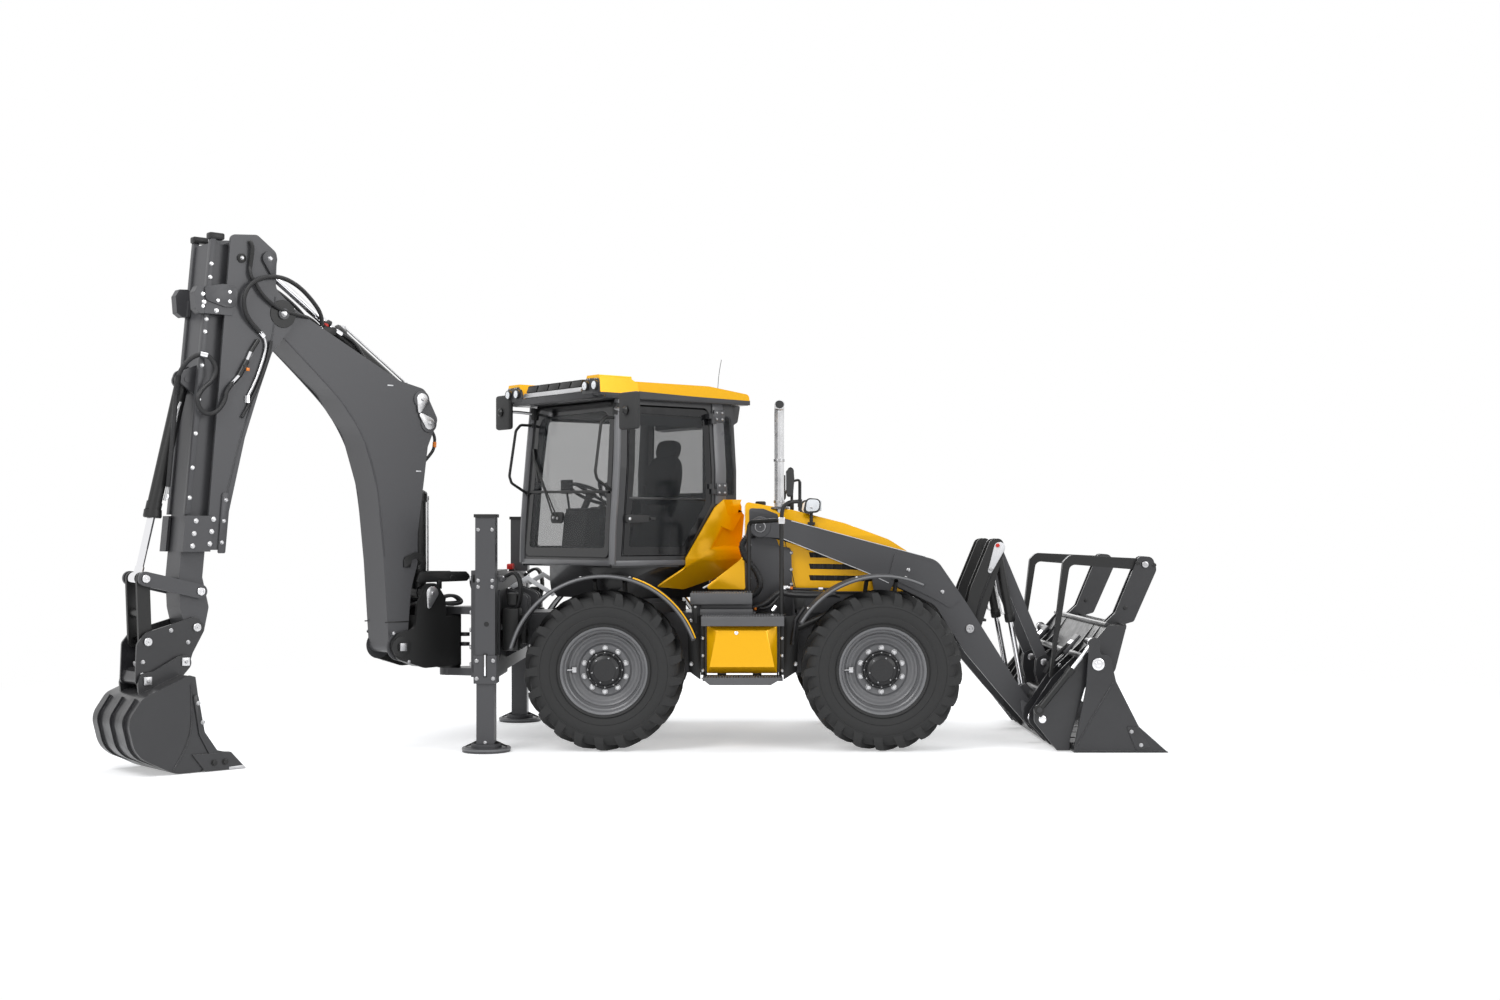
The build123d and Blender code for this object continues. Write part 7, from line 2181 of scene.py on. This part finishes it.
@dataclass
class Loader:
    """Pins, hoses, wear plates and edges of the loader arms, bucket, clam and forks."""

    shop: Shop
    arm_out: float = 0.550
    end_plate: float = 1.101
    clam_side: float = 1.195

    def on(self, body: str) -> Bench:
        """Bench of a body at the machine's place."""
        return Bench(self.shop, self.shop.machine, body)

    def arms(self) -> None:
        """Put pins, plates, bolts, hoses, clamps and the white painted highlight lines along the lower and
        upper edges on the arms.
        """
        arms, out = self.on("loader_arms"), self.arm_out
        arms.fasteners("arm_pins", STEEL, [((0.143, out, 1.773), (0, 1, 0), 0.092), ((2.369, out, 0.215),
            (0, 1, 0), 0.084)], True, cap_item)
        arms.fasteners("lever_tube_caps", STEEL, [((1.867, out + 0.002, 0.937), (0, 1, 0), 0.070)], True,
                       cap_item)
        arms.piece("arm_pin_plates", ANTHRACITE, [
            Turned([(0, 0), (0, 0.085), (0.008, 0.083), (0.010, 0.05), (0.010, 0)],
                   (0.143, out - 0.001, 1.773), (0, 1, 0), 40),
            Plate(teardrop((2.369, 0.215), (2.300, 0.330), 0.070, 0.020), out - 0.001, out + 0.008)],
                   mirror=True)
        # White strip that paints the highlight along the arms' lower flange.
        line = [(0.335, 1.674), (1.022, 1.397), (1.20, 1.312)]
        arms.piece("arm_lines", WHITE, [Pipe([(a, out + 0.001, b) for a, b in line], 0.0035, True)],
                   mirror=True)
        # White strip that paints the highlight along the arms' upper edge.
        arms.piece("arm_top_lines", WHITE, [Pipe([(a, out + 0.001, b) for a, b in ((0.40, 1.823),
            (1.0, 1.662), (1.50, 1.530))], 0.003, True)],
                   mirror=True)
        arms.fasteners("arm_panel_bolts", STEEL, [((1.36, out + 0.011, 1.42), (0, 1, 0), 0.032),
            ((1.64, out + 0.011, 1.24), (0, 1, 0), 0.032)],
                       True, disc_item)
        arms.piece("arm_hoses", HOSE, [
            Pipe([(0.20, y, 1.70), (0.40, y, 1.665), (1.02, y, 1.42), (1.50, y, 1.17), (1.64, y, 1.02),
                  (1.80, y, 0.80)], 0.012)
            for y in (0.448, 0.459)], mirror=True)
        arms.piece("arm_clamps", BLACK, [
            Box((x - 0.02, 0.436, z - 0.028), (x + 0.02, 0.4705, z + 0.028),
                0.004) for x, z in ((0.55, 1.61), (0.90, 1.47), (1.25, 1.305))],
            mirror=True)

    def levers(self) -> None:
        """Put retaining plates, caps and hoses on the levers, links and tilt cylinders."""
        levers = self.on("tilt_levers")
        levers.piece("lever_plates", WHITE, [Plate(teardrop((2.125, 1.603), (2.046, 1.409), 0.046, 0.018),
            0.460, 0.470, bevel=0.003)],
                     mirror=True)
        levers.piece("lever_caps", RED, [Rod((2.107, 0.470, 1.621), (2.107, 0.480, 1.621), 0.016)],
                     mirror=True)
        levers.fasteners("lever_bolts", STEEL, [((2.052, 0.470, 1.425), (0, 1, 0), 0.026), ((1.885, 0.460,
            0.96), (0, 1, 0), 0.028)], True)
        levers.piece("lever_hose", HOSE, [
            Pipe([(1.93, 0.461, 1.00), (1.95, 0.462, 1.12), (2.02, 0.462, 1.30), (2.06, 0.461, 1.40)],
                 0.008)], mirror=True)
        levers.piece("lever_ribs", BLACK, [
            Box((1.85, 0.290, 0.99), (2.02, 0.434, 1.012), 0.004)], mirror=True)
        self.on("loader_bucket").fasteners("link_pins", STEEL, [
            ((2.514, y, 0.647), (0, way, 0), 0.060) for y, way in ((0.350, 1), (0.277, -1))], True, disc_item)
        barrels = self.on("tilt_ram_barrels")
        top, low = Vector((2.112, 0.383, 1.609)), Vector((2.331, 0.383, 0.430))
        way = (low - top).normalized()
        out = Vector((-way.z, 0, way.x)).normalized()
        out = out if out.x < 0 else -out
        a, b = top + way * 0.10 + out * 0.052, top + way * 0.56 + out * 0.052
        barrels.piece("tilt_tubes", ZINC, [
            Pipe([tuple(a - out * 0.02), tuple(a + out * 0.010), tuple(a + out * 0.012 + way * 0.05),
                  tuple(b + out * 0.012 - way * 0.05),
                  tuple(b + out * 0.010), tuple(b - out * 0.02)], 0.008)], mirror=True)
        barrels.piece("tilt_glands", BLACK, [
            Turned([(0, 0.040), (0.004, 0.0435), (0.05, 0.0435), (0.056, 0.040), (0.062, 0.034),
                    (0.062, 0)], tuple(top + way * 0.575), tuple(way))],
            mirror=True)

    def bucket(self) -> None:
        """Put pins, ribs, edges and rods on the bucket and clam."""
        bucket, clam = self.on("loader_bucket"), self.on("clam")
        ring = [(0, 0.0), (0, 0.048), (0.010, 0.048), (0.013, 0.043), (0.013, 0.033), (0.008, 0.030),
                (0.008, 0.022), (0.018, 0.018),
                (0.020, 0.0)]
        bucket.piece("clam_pins", CHROME, [Turned(ring, (2.784, 1.200, 0.694), (0, 1, 0), 40)], mirror=True)
        bucket.fasteners("bucket_low_pins", CHROME, [((2.365, self.end_plate - 0.001, 0.251), (0, 1, 0),
            0.060)], True, disc_item)
        bucket.fasteners("bucket_inner_pins", CHROME, [
            ((x, y, z), (0, 1, 0), size) for x, y, z, size in (
                (2.369, 0.591, 0.215, 0.070), (2.431, 0.587, 0.30, 0.030), (2.534, 0.587, 0.496, 0.045),
                    (2.60, 0.587, 0.64, 0.03))],
            True, disc_item)
        bucket.piece("bucket_top_bar", BUCKET_BLACK, [
            Pipe([(2.880, -1.075, 0.996), (2.880, 1.075, 0.996)], 0.020),
                Box((3.018, -1.08, 0.972), (3.032, 1.08, 1.002), 0.003)])
        bucket.piece("bucket_wear_bars", BUCKET_BLACK, [
            Plate([(2.47, 0.04), (2.462, 0.32, 0.03), (2.480, 0.33), (2.480, 0.04)], y - 0.025,
                  y + 0.025) for y in (-0.95, -0.71, 0, 0.71, 0.95)])
        bucket.piece("bucket_back_tube", BUCKET_BLACK, [
            Rod((2.50, low, 0.40), (2.50, high, 0.40), 0.034) for low, high in ((-1.07, -0.62),
                (-0.26, 0.26), (0.62, 1.07))] + [
            Rod((2.70, -1.07, 0.735), (2.70, 1.07, 0.735), 0.030)])
        bucket.piece("bucket_hoses", HOSE, [
            Pipe([(2.475, y * 0.92, 0.58), (2.50, y * 0.93, 0.64), (2.56, y * 0.95, 0.72), (2.62, y, 0.78),
                  (2.66, y * 1.05, 0.82)], 0.012)
            for y in (0.62, 0.66, 0.70)], mirror=True)
        bucket.piece("hose_unions", CHROME, [Rod((2.655, y * 1.05, 0.815), (2.69, y * 1.05, 0.845), 0.017,
            6) for y in (0.62, 0.66, 0.70)],
                     mirror=True)
        bucket.piece("hose_bridge", ANTHRACITE, [
            Plate([(2.60, 0.76), (2.72, 0.90), (2.735, 0.885), (2.62, 0.745)], 0.60, 0.78, bevel=0.003)],
                     mirror=True)
        clam.piece("clam_wear_plates", BUCKET_BLACK, [
            Plate([(3.006, 0.205, 0.01), (3.098, 0.205, 0.01), (3.190, 0.044, 0.01), (3.081, 0.021, 0.01)],
                  self.clam_side, self.clam_side + 0.010,
                  bevel=0.003)], mirror=True)
        clam.piece("clam_creases", BUCKET_BLACK, [
            Pipe([(2.908, self.clam_side, 0.556), (2.72, self.clam_side, 0.26),
                  (2.615, self.clam_side, 0.05)], 0.007),
            Pipe([(2.62, self.clam_side, 0.014), (3.30, self.clam_side, 0.014)], 0.006)], mirror=True)
        clam.fasteners("clam_bolts", STEEL,
                       [((x, self.clam_side + 0.010, z), (0, 1, 0), 0.026) for x, z in ((3.045, 0.165),
                           (3.12, 0.06))],
                       True)
        clam.piece("clam_edge", STEEL, [Plate([(3.300, 0.0005), (3.334, 0.0005), (3.334, 0.010),
            (3.300, 0.014)], -1.19, 1.19, bevel=0.001)])
        clam.piece("clam_teeth_bars", BUCKET_BLACK, [
            Box((2.62, y - 0.035, 0.022), (3.20, y + 0.035, 0.032), 0.003) for y in (-0.80, -0.40, 0.0,
                0.40, 0.80)])
        clam.piece("clam_top_bar", BUCKET_BLACK, [Rod((2.76, 0.90, 0.86), (2.76, 1.17, 0.86), 0.026)],
                   mirror=True)

    def forks(self) -> None:
        """Put bolts and holes on the fork brackets and the forks' heels."""
        bucket, forks = self.on("loader_bucket"), self.on("forks")
        for y, way in ((0.830, 1), (0.720, -1)):
            bucket.fasteners("fork_bracket_bolts_" + ("out" if way > 0 else "in"), BLACK, [
                ((x, y, z), (0, way, 0), 0.036) for x, z in ((3.18, 1.482), (3.313, 1.464), (3.08, 1.12))],
                             True, disc_item)
        bucket.piece("fork_bracket_feet", BUCKET_BLACK, [
            Plate([(2.98, 0.985), (3.05, 0.985), (3.05, 1.06, 0.02), (3.01, 1.06, 0.02)], 0.74, 0.81)],
                     mirror=True)
        forks.fasteners("fork_pin_ends", STEEL, [((3.240, 0.841, 1.470), (0, 1, 0), 0.052), ((3.240, 0.709,
            1.470), (0, -1, 0), 0.052)],
                        True, disc_item)

    def build(self) -> None:
        """Make every piece of the loader."""
        for step in (self.arms, self.levers, self.bucket, self.forks):
            step()
            LOG.info("loader: %s", step.__name__)


# Stage

@dataclass
class Studio:
    """Pale floor, soft lamps and the photograph's camera."""

    shop: Shop
    eye: Point = (-0.1045, -14.8, 1.732)
    lens: float = 41.6
    shift: Pair = (0.0133, 0.0213)
    fade: Pair = (4.5, 9.5)

    def seen(self, tree: bpy.types.NodeTree) -> bpy.types.NodeSocket:
        """Whether a ray comes from the camera, from a mirroring surface or through glass.

        Args:
            tree: Node tree.

        Returns:
            The socket with 1 for such rays.
        """
        rays = tree.nodes.new("ShaderNodeLightPath")
        value = rays.outputs["Is Camera Ray"]
        for name in ("Is Glossy Ray", "Is Transmission Ray"):
            either = tree.nodes.new("ShaderNodeMath")
            either.operation = "MAXIMUM"
            tree.links.new(value, either.inputs[0])
            tree.links.new(rays.outputs[name], either.inputs[1])
            value = either.outputs[0]
        return value

    def camera(self) -> None:
        """Set the camera at the photograph's viewing angle."""
        data = bpy.data.cameras.new("camera")
        data.lens = self.lens
        data.shift_x, data.shift_y = self.shift
        data.clip_end = 200
        camera = bpy.data.objects.new("camera", data)
        camera.location = self.shop.machine @ Vector(self.eye)
        camera.rotation_euler = (math.pi / 2, 0, 0)
        bpy.context.scene.collection.objects.link(camera)
        bpy.context.scene.camera = camera

    def floor(self) -> None:
        """Lay the pale floor, which shows white to the camera and keeps the shadow."""
        mesh = new_mesh()
        bmesh.ops.create_grid(mesh, x_segments=1, y_segments=1, size=90)
        data = bpy.data.meshes.new("floor")
        mesh.to_mesh(data)
        mesh.free()
        floor = bpy.data.objects.new("floor", data)
        floor.location.z = -0.002
        bpy.context.scene.collection.objects.link(floor)
        material = bpy.data.materials.new("pale_floor")
        material.use_nodes = True
        tree = material.node_tree
        shader = tree.nodes["Principled BSDF"]
        shader.inputs["Base Color"].default_value = (0.82, 0.82, 0.82, 1)
        shader.inputs["Roughness"].default_value = 0.9
        shader.inputs["Specular IOR Level"].default_value = 0.1
        glow, white = (tree.nodes.new("ShaderNodeEmission") for _ in range(2))
        glow.inputs["Strength"].default_value = 0.42
        total = tree.nodes.new("ShaderNodeAddShader")
        tree.links.new(shader.outputs[0], total.inputs[0])
        tree.links.new(glow.outputs[0], total.inputs[1])
        place = tree.nodes.new("ShaderNodeTexCoord")
        reach = tree.nodes.new("ShaderNodeVectorMath")
        reach.operation = "DISTANCE"
        tree.links.new(place.outputs["Object"], reach.inputs[0])
        reach.inputs[1].default_value = self.shop.machine @ Vector((0, 0, 0))
        fade = tree.nodes.new("ShaderNodeMapRange")
        fade.interpolation_type = "SMOOTHSTEP"
        tree.links.new(reach.outputs["Value"], fade.inputs["Value"])
        fade.inputs["From Min"].default_value, fade.inputs["From Max"].default_value = self.fade
        shown = tree.nodes.new("ShaderNodeMixShader")
        tree.links.new(fade.outputs["Result"], shown.inputs[0])
        tree.links.new(total.outputs[0], shown.inputs[1])
        tree.links.new(white.outputs[0], shown.inputs[2])
        choose = tree.nodes.new("ShaderNodeMixShader")
        tree.links.new(self.seen(tree), choose.inputs[0])
        tree.links.new(shader.outputs[0], choose.inputs[1])
        tree.links.new(shown.outputs[0], choose.inputs[2])
        tree.links.new(choose.outputs[0], tree.nodes["Material Output"].inputs["Surface"])
        data.materials.append(material)

    def lights(self) -> None:
        """Hang the soft lamps and set the pale world."""
        world = bpy.data.worlds.new("studio")
        bpy.context.scene.world = world
        world.use_nodes = True
        tree = world.node_tree
        back = tree.nodes["Background"]
        back.inputs["Color"].default_value = (0.92, 0.95, 1.0, 1)
        back.inputs["Strength"].default_value = 0.55
        white = tree.nodes.new("ShaderNodeBackground")
        white.inputs["Color"].default_value = (1, 1, 1, 1)
        white.inputs["Strength"].default_value = 1.0
        mix = tree.nodes.new("ShaderNodeMixShader")
        tree.links.new(self.seen(tree), mix.inputs[0])
        tree.links.new(back.outputs[0], mix.inputs[1])
        tree.links.new(white.outputs[0], mix.inputs[2])
        tree.links.new(mix.outputs[0], tree.nodes["World Output"].inputs["Surface"])
        lamps = (("key", (-6, -8, 9), 6.0, 620.0), ("fill", (8, -7, 6), 7.0, 300.0),
                 ("top", (0, 1, 11), 9.0, 420.0),
                 ("back", (2, 10, 6), 7.0, 260.0))
        for name, spot, size, power in lamps:
            data = bpy.data.lights.new(name, "AREA")
            data.shape = "DISK"
            data.size = size
            data.energy = power
            lamp = bpy.data.objects.new(name, data)
            lamp.location = self.shop.machine @ Vector(spot)
            aim = self.shop.machine @ Vector((0, 0, 1.2)) - lamp.location
            lamp.rotation_euler = aim.to_track_quat("-Z", "Y").to_euler()
            bpy.context.scene.collection.objects.link(lamp)
        bpy.context.scene.view_settings.view_transform = "Standard"


def dress_nodes(frame: dict) -> None:
    """Give every carried-over CAD node its finish.
    """
    for name, node in frame["nodes"].items():
        node.data.materials.clear()
        node.data.materials.append(finish_of(name).material())


def main() -> None:
    """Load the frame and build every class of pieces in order."""
    logging.basicConfig(level=logging.INFO, format="%(message)s")
    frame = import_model()
    shop = Shop()
    studio = Studio(shop)
    studio.camera()
    dress_nodes(frame)
    Wheels(shop).build()
    Cab(shop).build()
    Backhoe(shop).build()
    Chassis(shop).build()
    Loader(shop).build()
    studio.floor()
    studio.lights()
    LOG.info("sizes written")


if __name__ == "__main__":
    main()
